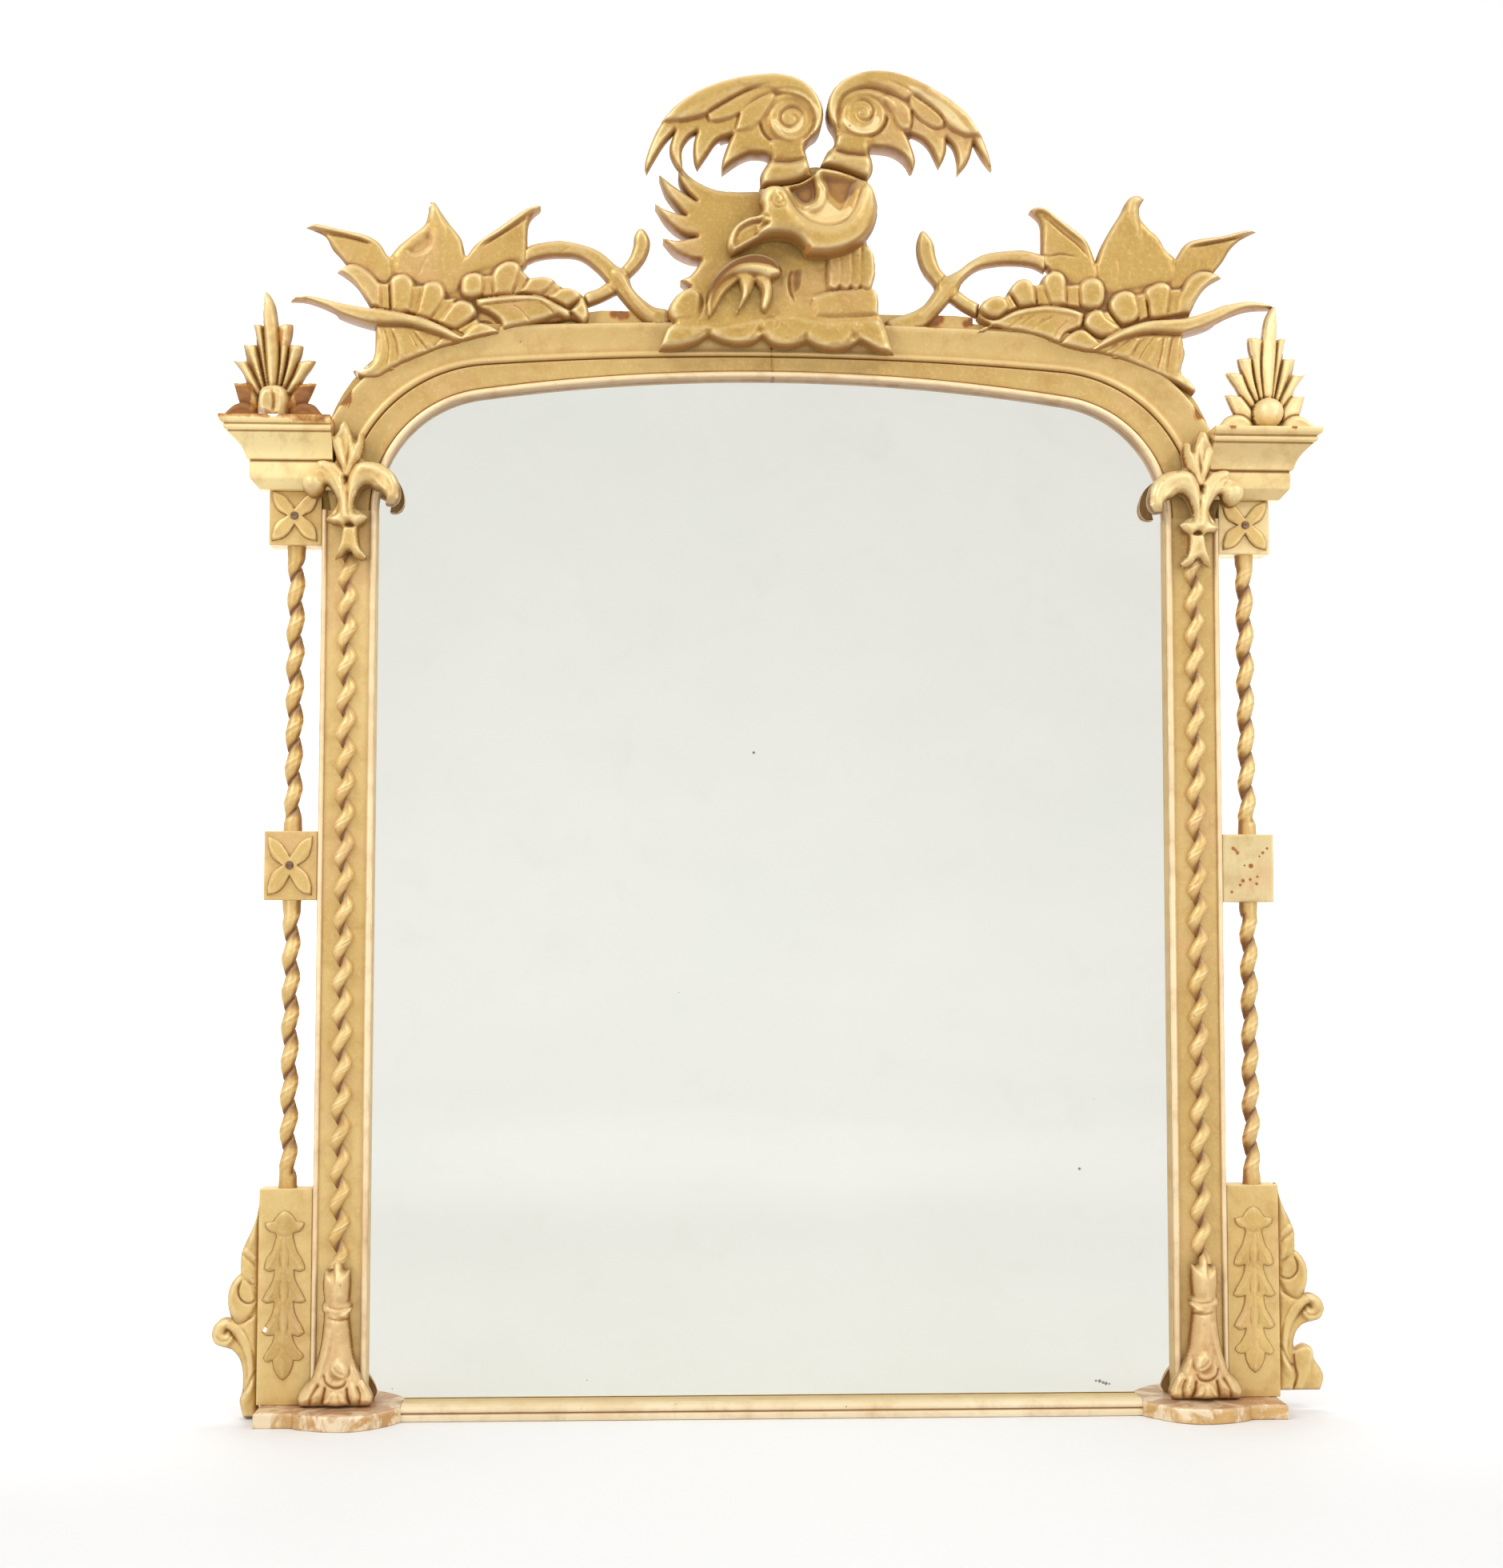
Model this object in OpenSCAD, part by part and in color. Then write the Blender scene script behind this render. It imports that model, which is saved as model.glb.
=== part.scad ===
// Carved and gilded overmantel mirror with an arched plate.
// X runs to the viewer's right and Z up. The wall is the plane Y = 0, the front
// faces -Y, and the mantelshelf is the plane Z = 0. All sizes are in millimetres.

/* [Opening] */
// Width between the sight edges of the frame
sight_w = 1072; // [1000:4:1140]
// Height of the crown of the arched sight edge above the mantelshelf
crown_h = 1393; // [1340:1:1450]

/* [Frame] */
// Width of the upright stiles
stile_w = 73; // [66:1:84]
// Thickness of the frame timber, wall to face
frame_t = 45; // [38:1:52]
// Thickness of the looking glass
glass_t = 5; // [4:0.5:6]
// Thickness of the backboards
board_t = 9; // [7:0.5:11]

/* [Pilasters] */
// Width of the pilaster blocks
block_w = 69; // [64:1:76]
// Thickness of the pilaster blocks
block_t = 42; // [36:1:46]
// Diameter of the free-standing twisted rods
rod_d = 26; // [20:1:30]
// Diameter of the half-round twist on the stiles
twist_d = 26; // [20:1:30]

/* [Base] */
// Thickness of the base shelf
shelf_t = 20; // [17:1:21]
// Depth of the shelf ends from the wall
shelf_d = 92; // [86:1:98]
// Depth of the bowed part of the shelf from the wall
bow_d = 120; // [112:1:130]

/* [Fixings] */
// Diameter of the wall-screw hole in each hanger plate
hang_hole_d = 6; // [5:0.5:7]
// Diameter of the screw-head hole in each hanger plate
hang_head_d = 11; // [9:0.5:12]

/* [Hidden] */
$fn = 48;
gold = [0.80, 0.66, 0.38];
gold_deep = [0.70, 0.53, 0.28];
pine = [0.62, 0.47, 0.30];
brass = [0.72, 0.58, 0.30];
steel = [0.45, 0.43, 0.40];
silver = [0.86, 0.87, 0.84];

hw = sight_w / 2;               // half the sight width
sx = hw + stile_w;              // outer edge of a stile
bx = sx + 1.5;                  // inner edge of a pilaster block
px = bx + block_w;              // outer edge of a pilaster block
rx = bx + block_w / 2;          // centre of the pilaster rods
tx = hw + 38;                   // centre of the twist on a stile
spring = crown_h - 188;         // springing line of the arch
dz = crown_h - 1393;            // rise of the head over the standard height
dx = hw - 536;                  // spread of each side over the standard width
glass_y = -27;                  // front face of the glass
e = 0.01;

// ---------- drawing helpers ----------

// The carvings are drawn as they are seen from a fixed eye point in front of the
// chimney breast, on a grid with u to the right and v down. at() lays a grid
// point on the upright plane at depth y.
eye = [-184, -3154, 632];
turn = -2.82;
tip = 3.79;
draw_f = 2900;
function ray(u, v) = let (a = (u - 939.5) / draw_f, c = (980 - v) / draw_f,
    b1 = cos(tip) - c * sin(tip), c1 = sin(tip) + c * cos(tip))
  [a * cos(turn) - b1 * sin(turn), a * sin(turn) + b1 * cos(turn), c1];
function at(u, v, y) = let (d = ray(u, v), t = (y - eye.y) / d.y) [eye.x + t * d.x, eye.z + t * d.z];

// A closed outline through points. A third value of 1 marks a sharp point.
function sharp(p) = len(p) > 2 && p[2] == 1;
function xy(p) = [p[0], p[1]];
function unit(v) = v / max(norm(v), 1e-6);
function herm(a, b, ta, tb, t) = (2*t*t*t - 3*t*t + 1) * a + (t*t*t - 2*t*t + t) * ta
  + (3*t*t - 2*t*t*t) * b + (t*t*t - t*t) * tb;
function outline(P, n = 3) = let (N = len(P)) [for (i = [0:N-1])
  let (a = xy(P[i]), b = xy(P[(i+1) % N]), p = xy(P[(i-1+N) % N]), q = xy(P[(i+2) % N]),
    sa = sharp(P[i]), sb = sharp(P[(i+1) % N]), L = norm(b - a),
    ta = sa ? (b - a) : unit(b - p) * L, tb = sb ? (b - a) : unit(q - a) * L,
    m = (sa && sb) || L < 4 ? 1 : n)
  for (k = [0:m-1]) herm(a, b, ta, tb, k / m)];
function laid(P, y, n = 3) = [for (p = outline(P, n)) at(p[0], p[1], y)];

// An upright slab with the front at y0 and the back at y1 (both negative or 0)
module slab(y0, y1) { translate([0, y1, 0]) rotate([90, 0, 0]) linear_extrude(y1 - y0) children(); }
module carving(P, y0, y1, n = 3, d = 1) { slab(y0, y1) polygon(laid(P, d > 0 ? (y0 + y1) / 2 : d, n)); }
module block(x0, x1, y0, y1, z0, z1) { translate([x0, y0, z0]) cube([x1 - x0, y1 - y0, z1 - z0]); }
module flip() { mirror([1, 0, 0]) children(); }
module side(s) { if (s < 0) children(); else flip() children(); }

// Three-centred arch: half span a, shoulder radius r, springing zs, crown zc
function arch_pts(a, r, zs, zc, m = 14, n = 22) = let (c = a - r, k = zc - r,
    z1 = (k*k - c*c - zs*zs) / (2 * (k - zs)), R = zc - z1, w = atan2(c, zs - z1))
  concat([for (i = [0:m-1]) let (t = (90 - w) * i / m) [-c - r * cos(t), zs + r * sin(t)]],
         [for (i = [0:n]) let (t = -w + 2 * w * i / n) [R * sin(t), z1 + R * cos(t)]],
         [for (i = [m-1:-1:0]) let (t = (90 - w) * i / m) [c + r * cos(t), zs + r * sin(t)]]);
module arch(a, r, zs, zc, base) { polygon(concat([[-a, base]], arch_pts(a, r, zs, zc), [[a, base]])); }
// The edges of the head, from the glass outwards
module edge_sight(b = 0)  { arch(hw, 160, spring, crown_h, b); }
module edge_bead(b = 0)   { arch(hw + 9, 169, spring, crown_h + 9, b); }
module edge_rebate(b = 0) { arch(hw + 10, 170, spring, crown_h + 10, b); }
module edge_fascia(b = 0) { arch(hw + 42, 200, spring + 2, crown_h + 29, b); }
module edge_cove(b = 0)   { arch(sx + 22, 255, spring, crown_h + 76, b); }
module edge_board(b = 0)  { arch(sx + 4, 203, spring + 57, crown_h + 88, b); crest_seat(); }
// The top edge of the head is left straight in the middle, where the crest stands
module crest_seat() { translate([0, crown_h]) polygon([[-268, 60], [-268, 87.5], [-237, 92.4], [245, 92.4], [273.5, 90.2], [273.5, 60]]); }
module above(z) { translate([-1000, z]) square([2000, 900]); }

// ---------- frame ----------

module stile() {
  color(gold) difference() {
    block(-sx, -hw, -frame_t + 4, 0, shelf_t, spring);
    block(-hw - 10, -hw + 1, glass_y, 1, shelf_t - 1, spring + 1);
    hanger_recess();
  }
}
module hanger_recess() { block(-tx - 10.2, -tx + 10.2, -3, 1, 1069.8, 1120.2);
  for (z = [1088, 1104]) translate([-tx, 1, z]) rotate([90, 0, 0]) cylinder(d = 14, h = 17);
  block(-tx - 7, -tx + 7, -16, 1, 1088, 1104);
  for (z = [1074.5, 1116]) translate([-tx, 1, z]) rotate([90, 0, 0]) cylinder(d = 3, h = 16, $fn = 24); }
module left_stile() { side(-1) stile(); }
module right_stile() { side(1) stile(); }

module bottom_rail() {
  color(gold) difference() {
    block(-hw - 2, hw + 2, -frame_t, 0, 0, shelf_t + 1);
    block(-hw - 12, hw + 12, glass_y, 1, 11.5, 40);
    side(-1) shelf_plan(-1, 30, 0); side(1) shelf_plan(-1, 30, 0);
  }
}

module arch_half(s) {
  color(gold) difference() {
    slab(-32, 0) intersection() {
      difference() { edge_board(spring); edge_rebate(spring - 1); }
      translate([s < 0 ? -1000 : 0, spring]) square([1000, 500]);
    }
    side(s) side_room();
  }
}
// room at the springing for the pilaster block and the cornice
module side_room() { block(-900, -sx, -200, 1, 0, corn_top); }
module left_arch_head() { arch_half(-1); }
module right_arch_head() { arch_half(1); }

module arch_cove_moulding() {
  color(gold) difference() {
    slab(-frame_t - 3, -32) difference() { intersection() { edge_cove(spring); above(spring); }
      edge_fascia(spring - 1); }
    side(-1) side_room(); side(1) side_room();
  }
}
module arch_fascia() {
  color(gold) slab(-frame_t + 4, -32) difference() {
    intersection() { edge_fascia(spring); above(spring); }
    edge_bead(spring - 1);
  }
}
module arch_sight_bead() {
  color(gold) slab(-frame_t - 1, glass_y) difference() {
    intersection() { edge_bead(spring); above(spring); }
    edge_sight(spring - 1);
  }
}
// Half-round gilt beads along the stiles
module bead_strip(x0, x1, y0, y1, z0, z1) {
  r = (x1 - x0) / 2;
  block(x0, x1, y0 + r, y1, z0, z1);
  translate([x0 + r, y0 + r, z0]) intersection() { cylinder(r = r, h = z1 - z0, $fn = 40);
    translate([-r - 1, -r - 1, -1]) cube([2 * r + 2, r + 1 + e, z1 - z0 + 2]); }
}
module stile_inner_bead() { color(gold) bead_strip(-hw - 9, -hw, -frame_t - 2, -frame_t + 4, shelf_t, spring); }
module stile_outer_bead() { color(gold) bead_strip(-sx, -sx + 7, -frame_t - 1, -frame_t + 4, shelf_t, spring); }
module left_sight_bead() { side(-1) stile_inner_bead(); }
module right_sight_bead() { side(1) stile_inner_bead(); }
module left_outer_bead() { side(-1) stile_outer_bead(); }
module right_outer_bead() { side(1) stile_outer_bead(); }

// ---------- glass and back ----------

module plate_shape(o = 8) { difference() { arch(hw + o, 160 + o, spring, crown_h + o, 12);
    translate([-1000, -e]) square([2000, 12]); } }
module mirror_glass() { color(silver) slab(glass_y, glass_y + glass_t) plate_shape(); }
back_y0 = glass_y + glass_t;
back_y1 = back_y0 + board_t;
batten_z = [120, 660, 1190];
module glazing_blocks() {
  color(pine) for (s = [-1, 1]) for (z = [250, 430, 850, 1010])
    translate([s > 0 ? hw - 12 : -hw - 10, back_y1, z]) cube([22, 6, 40]);
}
module backboard(x0, x1) {
  color(pine) difference() {
    intersection() { slab(back_y0, back_y1) plate_shape(7); block(x0, x1, -50, 50, 0, 1600); }
    for (z = batten_z) for (x = [x0 + 40, x1 - 40])
      translate([x, 1, z]) rotate([90, 0, 0]) cylinder(d = 3.2, h = 7 - back_y1, $fn = 24);
  }
}
third = (hw + 7) / 3;
boards = [[-hw - 7, -third - 0.5], [-third + 0.5, third - 0.5], [third + 0.5, hw + 7]];
module left_backboard() { backboard(boards[0][0], boards[0][1]); }
module centre_backboard() { backboard(boards[1][0], boards[1][1]); }
module right_backboard() { backboard(boards[2][0], boards[2][1]); }
// Battens across the back, let in between the rebates, hold the three boards
module back_battens() {
  color(pine) for (z = batten_z) difference() {
    block(-hw - 10, hw + 10, back_y1, back_y1 + 8, z - 30, z + 30);
    for (b = boards) for (x = [b[0] + 40, b[1] - 40])
      translate([x, 1, z]) rotate([90, 0, 0]) cylinder(d = 3.6, h = 40, $fn = 24);
  }
}
module backboard_screws() {
  color(steel) for (z = batten_z) for (b = boards) for (x = [b[0] + 40, b[1] - 40])
    translate([x, back_y1 + 8, z]) rotate([90, 0, 0]) {
      translate([0, 0, -1.6]) cylinder(d = 7.5, h = 1.6, $fn = 28);
      translate([0, 0, -e]) cylinder(d = 3.1, h = 13, $fn = 24);
    }
}

// ---------- twists on the stiles ----------

twist_z0 = 205; twist_z1 = 1150 + dz;
module half_twist() {
  color(gold) translate([-tx, -frame_t + 4, 0]) intersection() {
    union() {
      translate([0, 0, twist_z0]) cylinder(d = twist_d - 4, h = twist_z1 - twist_z0);
      for (i = [0:21]) let (s = (twist_z1 - twist_z0 - 20) / 22)
        translate([0, 0, twist_z0 + 10 + s * (i + 0.5)]) rotate_extrude($fn = 40)
          polygon([[0, -s * 0.42], [twist_d / 2 - 2, -s * 0.42], [twist_d / 2, -s * 0.12], [twist_d / 2, s * 0.12],
                   [twist_d / 2 - 2, s * 0.42], [0, s * 0.42]]);
    }
    translate([-50, -50, 0]) cube([100, 50, 2000]);
  }
}
module left_twist() { side(-1) half_twist(); }
module right_twist() { side(1) half_twist(); }

// Leaf capital over each twist
cap_pts = [[432, 528, 1], [437, 545], [445, 560], [455, 547, 1], [453, 572], [462, 577], [475, 580], [488, 588],
  [497, 602], [499, 618], [492, 630], [480, 634, 1], [484, 625], [480, 617], [470, 611], [461, 607], [452, 613],
  [446, 625], [444, 636], [452, 640], [461, 638, 1], [457, 650], [447, 658], [448, 675], [452, 690], [458, 697],
  [450, 702, 1], [443, 698], [435, 690], [427, 697], [419, 700, 1], [423, 685], [426, 670], [427, 658],
  [416, 656], [406, 648, 1], [417, 645], [423, 636], [420, 625], [413, 615], [405, 611], [398, 619], [386, 620],
  [378, 610], [378, 598], [388, 590], [398, 588], [403, 580], [415, 577], [417, 560], [415, 545, 1], [424, 548]];
module capital(o) {
  color(gold) translate([0, 0, dz]) difference() {
    union() {
      translate([-dx + o, 0, 0]) carving(cap_pts, -88, -frame_t - 3.2, 3, -58);
      block(-tx - 20, -tx + 20, -frame_t - 3.3, -frame_t + 4, 1150, spring - dz);
    }
    translate([-tx, -frame_t + 4, 1000]) cylinder(d = twist_d + 0.4, h = 150);
    translate([0, 0, -dz]) cornice_solid();
  }
}
module left_capital() { side(-1) capital(-1); }
module right_capital() { side(1) capital(-6); }

// Leaf-wrapped foot under each twist
foot_pts = [[-22, 22, 1], [-47, 22, 1], [-50, 34], [-41, 50], [-30, 64], [-21, 88], [-17, 128], [-17, 146],
  [-20, 152], [-17, 160], [-17, 186], [-13, 200], [-8, 206, 1], [8, 206, 1], [13, 200], [17, 186], [17, 160],
  [20, 152], [17, 146], [17, 128], [21, 88], [28, 64], [38, 50], [46, 34], [44, 22, 1], [22, 22, 1]];
module foot() {
  color(gold) translate([-tx, 0, -2]) difference() {
    union() {
      slab(-64, -frame_t - 2.2) polygon(outline(foot_pts, 3));
      block(-22, 22, -frame_t - 2.3, -frame_t + 4, 22, 186);
      for (t = [[22, 62, 40, 26], [62, 128, 24, 16], [128, 200, 15, 13]]) translate([0, -64, t[0]])
        intersection() { cylinder(r1 = t[2], r2 = t[3], h = t[1] - t[0], $fn = 40);
          translate([-60, -14, 0]) cube([120, 14 + e, 200]); }
    }
    translate([0, -frame_t + 4, twist_z0 - 10]) cylinder(d = twist_d + 0.4, h = 60);
  }
}
module left_twist_foot() { side(-1) foot0(); }
module right_twist_foot() { side(1) foot0(); }
module foot0() { foot(); }

// ---------- pilasters ----------

up_z0 = 1157 + dz; up_z1 = 1230 + dz; mid_z0 = 681; mid_z1 = 773; pl_z1 = 301;
// The right-hand rods stand a little further out than the left-hand ones
rod_out = [0, 4];
module rod_hole(z, h, o) { translate([-rx - o, -block_t / 2, z]) cylinder(d = 14, h = h, $fn = 32); }
module eased(x0, x1, y0, y1, z0, z1, c = 1.5) {
  // block with its two front edges eased
  translate([0, 0, z0]) linear_extrude(z1 - z0)
    polygon([[x0, y1], [x0, y0 + c], [x0 + c, y0], [x1 - c, y0], [x1, y0 + c], [x1, y1]]);
}
module upper_block(o) { color(gold) difference() { eased(-px, -sx, -block_t, 0, up_z0, up_z1);
    rod_hole(up_z0 - 1, 19, o); rosette_pilot(up_z0 + 39); } }
module middle_block(o) { color(gold) difference() { eased(-px, -sx, -block_t, 0, mid_z0, mid_z1);
    rod_hole(mid_z0 - 1, 19, o); rod_hole(mid_z1 - 18, 19, o); rosette_pilot(mid_z0 + 46); } }
module plinth(o) { color(gold) difference() { eased(-px, -sx, -block_t, 0, shelf_t, pl_z1); rod_hole(pl_z1 - 18, 19, o); } }
module rosette_pilot(z) { translate([-rx, -block_t - 1, z]) rotate([-90, 0, 0]) cylinder(d = 4, h = 13, $fn = 24); }
module left_upper_block() { side(-1) upper_block(rod_out[0]); }
module right_upper_block() { side(1) upper_block(rod_out[1]); }
module left_middle_block() { side(-1) middle_block(rod_out[0]); }
module right_middle_block() { side(1) middle_block(rod_out[1]); }
module left_plinth() { side(-1) plinth(rod_out[0]); }
module right_plinth() { side(1) plinth(rod_out[1]); }

// A rod with a turned dowel at each end and a swelling for every turn of its twist
module rod(z0, z1, turns, o) {
  s = (z1 - z0 - 36) / turns;
  color(gold) translate([-rx - o, -block_t / 2, 0]) {
    translate([0, 0, z0 - 16]) cylinder(d = 13.9, h = 17, $fn = 32);
    translate([0, 0, z1 - 1]) cylinder(d = 13.9, h = 17, $fn = 32);
    translate([0, 0, z0]) cylinder(d = rod_d - 6, h = z1 - z0);
    translate([0, 0, z0]) cylinder(d1 = rod_d, d2 = rod_d - 6, h = 18);
    translate([0, 0, z1 - 18]) cylinder(d1 = rod_d - 6, d2 = rod_d, h = 18);
    for (i = [0:turns-1]) translate([0, 0, z0 + 18 + s * (i + 0.5)]) rotate_extrude($fn = 40)
      polygon([[0, -s * 0.42], [rod_d / 2 - 3, -s * 0.42], [rod_d / 2, -s * 0.14], [rod_d / 2, s * 0.14],
               [rod_d / 2 - 3, s * 0.42], [0, s * 0.42]]);
  }
}
module left_upper_rod() { side(-1) rod(mid_z1, up_z0, 8, rod_out[0]); }
module right_upper_rod() { side(1) rod(mid_z1, up_z0, 8, rod_out[1]); }
module left_lower_rod() { side(-1) rod(pl_z1, mid_z0, 8, rod_out[0]); }
module right_lower_rod() { side(1) rod(pl_z1, mid_z0, 8, rod_out[1]); }

// Four-petalled flower, applied to the face of a block
module petal_flower(w, h, t) {
  difference() {
    slab(-block_t - t, -block_t) translate([-rx, 0]) polygon(outline([[0, h * 0.16, 1], [w * 0.24, h * 0.34], [w * 0.47, h * 0.46, 1],
      [w * 0.4, h * 0.2], [w * 0.17, 0, 1], [w * 0.4, -h * 0.26], [w * 0.46, -h * 0.46, 1], [w * 0.2, -h * 0.36],
      [0, -h * 0.17, 1], [-w * 0.24, -h * 0.38], [-w * 0.48, -h * 0.47, 1], [-w * 0.42, -h * 0.2], [-w * 0.17, 0, 1],
      [-w * 0.4, h * 0.24], [-w * 0.46, h * 0.46, 1], [-w * 0.2, h * 0.32]], 4));
    translate([-rx, -block_t - t - 1, 0]) rotate([-90, 0, 0]) cylinder(d = 4, h = t + 2, $fn = 24);
  }
}
module rosettes() {
  color(gold) { side(-1) translate([0, 0, up_z0 + 39]) petal_flower(64, 72, 6);
    side(-1) translate([0, 0, mid_z0 + 46]) petal_flower(62, 84, 6);
    side(1) translate([0, 0, up_z0 + 39]) petal_flower(64, 72, 6); }
}
module rosette_screw(z) {
  translate([-rx, -block_t - 6, z]) rotate([90, 0, 0]) difference() {
    union() { cylinder(d = 9, h = 2.4, $fn = 32); translate([0, 0, -17]) cylinder(d = 3.96, h = 17 + e, $fn = 24); }
    translate([-6, -0.6, 1.4]) cube([12, 1.2, 2]);
  }
}
module rosette_screws() { color(steel) { side(-1) rosette_screw(up_z0 + 39); side(-1) rosette_screw(mid_z0 + 46);
    side(1) rosette_screw(up_z0 + 39); } }

// Drop of bellflower husks on the face of a plinth
husk_pts = [[0, 272, 1], [11, 266], [14, 258], [26, 254, 1], [22, 243], [12, 238], [16, 222], [24, 208], [26, 196, 1],
  [15, 194, 1], [18, 180], [26, 168], [28, 156, 1], [15, 152, 1], [18, 138], [26, 126], [27, 114, 1], [14, 108, 1],
  [17, 96], [26, 84, 1], [24, 76], [14, 74, 1], [10, 62], [0, 50, 1],
  [-10, 62], [-14, 74, 1], [-24, 76], [-26, 84, 1], [-17, 96], [-14, 108, 1], [-27, 114, 1], [-26, 126], [-18, 138],
  [-15, 152, 1], [-28, 156, 1], [-26, 168], [-18, 180], [-15, 194, 1], [-26, 196, 1], [-24, 208], [-16, 222],
  [-12, 238], [-22, 243], [-26, 254, 1], [-14, 258], [-11, 266]];
module husk_drop() { color(gold) slab(-block_t - 5, -block_t) translate([-rx, 2]) polygon(outline(husk_pts, 3)); }
module left_husk_drop() { side(-1) husk_drop(); }
module right_husk_drop() { side(1) husk_drop(); }

// ---------- cornices and finials ----------

// Moulded profile as [projection, height above the underside]
corn = [[11, 0], [22, 12], [23.5, 36], [28, 42], [31, 50], [39, 62], [50, 72], [52, 76], [59, 84], [60, 92]];
corn_z = up_z1;
corn_top = corn_z + corn[9][1];
// The moulding returns only as far as the face of the block behind it
module cornice_solid() {
  difference() {
    intersection() {
      translate([-900, 0, corn_z]) rotate([90, 0, 90]) linear_extrude(900 - bx + 18)
        polygon(concat([[0, 0]], [for (p = corn) [-block_t - p[0], p[1]]], [[0, corn[9][1]]]));
      translate([0, 1, corn_z]) rotate([90, 0, 0]) linear_extrude(300)
        polygon(concat([[-bx + 18, 0]], [for (p = corn) [-px - p[0], p[1]]], [[-bx + 18, corn[9][1]]]));
    }
    block(-900, -px, -block_t + 4, 1, corn_z - 1, corn_top - 12);
    block(-sx, 0, -frame_t - 3, 1, 0, 3000);
  }
}
module left_cornice() { color(gold) side(-1) cornice_solid(); }
module right_cornice() { color(gold) side(1) cornice_solid(); }

// Fan-shaped leaf finial, drawn about its own centre line
fin_pts = [[-64, 0, 1], [-66, 9], [-57, 20], [-44, 24, 1], [-53, 51, 1], [-36, 49, 1], [-44, 60], [-55, 82, 1],
  [-37, 80, 1], [-40, 102, 1], [-23, 102, 1], [-26, 130, 1], [-14, 128, 1], [-15, 146], [-15, 162], [-12, 176, 1],
  [-2, 166], [3, 150], [6, 128, 1], [24, 130, 1], [22, 102, 1], [37, 102, 1], [36, 80, 1], [54, 82, 1], [43, 60],
  [35, 49, 1], [54, 51, 1], [44, 24, 1], [58, 20], [67, 9], [66, 0, 1]];
fin_x = px - 6;
module finial() {
  color(gold) translate([-fin_x, 0, corn_top]) difference() {
    union() {
      slab(-76, -48) polygon(outline(fin_pts, 3));
      translate([0, -75, 26]) rotate([90, 0, 0]) rotate_extrude() polygon([[0, 0], [19, 0], [18, 5], [15, 11], [9, 15], [0, 16]]);
    }
    translate([-100, -200, -50]) cube([200, 300, 50]);
  }
}
module left_finial() { side(-1) finial(); }
module right_finial() { side(1) finial(); }

// ---------- side brackets ----------

brk_pts = [[-6, 26, 1], [-6, 302, 1], [0, 302, 1], [4, 290], [11, 276], [20, 260], [26, 243], [26, 228], [21, 213, 1], [33, 205],
  [41, 190], [42, 172], [36, 155, 1], [52, 153], [61, 144], [64, 131], [57, 120], [44, 117], [30, 109],
  [22, 96], [19, 76], [20, 60], [25, 50], [20, 26, 1]];
leaf_pts = [[18, 26, 1], [23, 62], [28, 78], [38, 86], [47, 81], [51, 64], [59, 53], [62, 42], [57, 26, 1]];
module bracket_scroll() { slab(-38, -12) translate([px, 0]) polygon(outline(brk_pts, 3)); }
module left_bracket() { color(gold) flip() difference() { translate([-3, 0, -24]) bracket_scroll();
    block(0, px, -50, 0, 0, 400); } }
module right_bracket() { color(gold) difference() {
    union() { bracket_scroll(); slab(-34, -14) translate([px, 0]) polygon(outline(leaf_pts, 3)); }
    block(0, px, -50, 0, 0, 400); } }

// ---------- base ----------

// Plan of one shelf end: square end, a step, then a bow
module shelf_plan(z0, h, g = 0) {
  w = 137; r = (w * w / 4 + 24 * 24) / 48;
  translate([0, 0, z0]) linear_extrude(h) polygon(concat(
    [[-px - g + 4, g], [-px - g + 4, -shelf_d - g], [-626 - dx, -shelf_d - g]],
    [for (i = [0:16]) let (t = i / 16, a = -1 + 2 * t) [-626 - dx + w * t, -bow_d + 24 * a * a * (t > 0.5 ? 2.4 : 1) - g]],
    [[-489 - dx, g]]));
}
module shelf() { color(gold) difference() { shelf_plan(0, shelf_t); block(-hw - 10, 0, glass_y, 1, 11.5, 30); } }
module left_shelf() { side(-1) shelf(); }
module right_shelf() { side(1) shelf(); }
module base_moulding() {
  color(gold) difference() {
    translate([-489 - dx, 0, 0]) rotate([90, 0, 90]) linear_extrude(2 * (489 + dx))
      polygon([[-frame_t, 0], [-58, 0], [-60, 2], [-60, 8], [-57, 10], [-59, 13], [-58, 17], [-54, shelf_t], [-48, shelf_t + 2], [-frame_t, shelf_t + 2]]);
  }
}

// ---------- crest ----------

body_pts = [[848, 199, 1], [860, 215], [880, 228], [905, 235], [948, 236, 1], [955, 214, 1], [1000, 206], [1050, 206], [1082, 216, 1], [1084, 300],
  [1092, 318], [1094, 340], [1090, 358, 1], [1097, 368], [1098, 390, 1], [1104, 396, 1], [1110, 415], [1118, 440, 1],
  [1100, 438], [1088, 432], [1075, 425, 1], [1062, 433], [1045, 437], [1025, 434], [1008, 426, 1], [995, 431],
  [980, 433], [965, 430], [953, 420, 1], [940, 428], [920, 430], [900, 426], [885, 419, 1], [870, 428], [850, 434],
  [823, 436, 1], [828, 422], [833, 410], [842, 402, 1], [834, 390], [838, 376], [850, 363], [862, 357, 1], [850, 347, 1],
  [864, 340], [876, 322, 1], [860, 319], [842, 310], [828, 294, 1], [845, 297], [871, 293, 1], [850, 287], [832, 272],
  [818, 250, 1], [830, 258], [857, 266, 1], [842, 250], [831, 235], [823, 214, 1], [838, 226], [870, 248, 1],
  [857, 234], [848, 218]];
module front_of_arch(y = 0.6) { slab(-frame_t - 3 - y, 1) edge_cove(0); slab(-32 - y, 1) edge_board(0); }
module eagle_body() { color(gold) translate([0, 0, dz]) difference() { carving(body_pts, -72, -20, 2, -68);
    translate([0, 0, -dz]) front_of_arch(); } }

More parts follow.
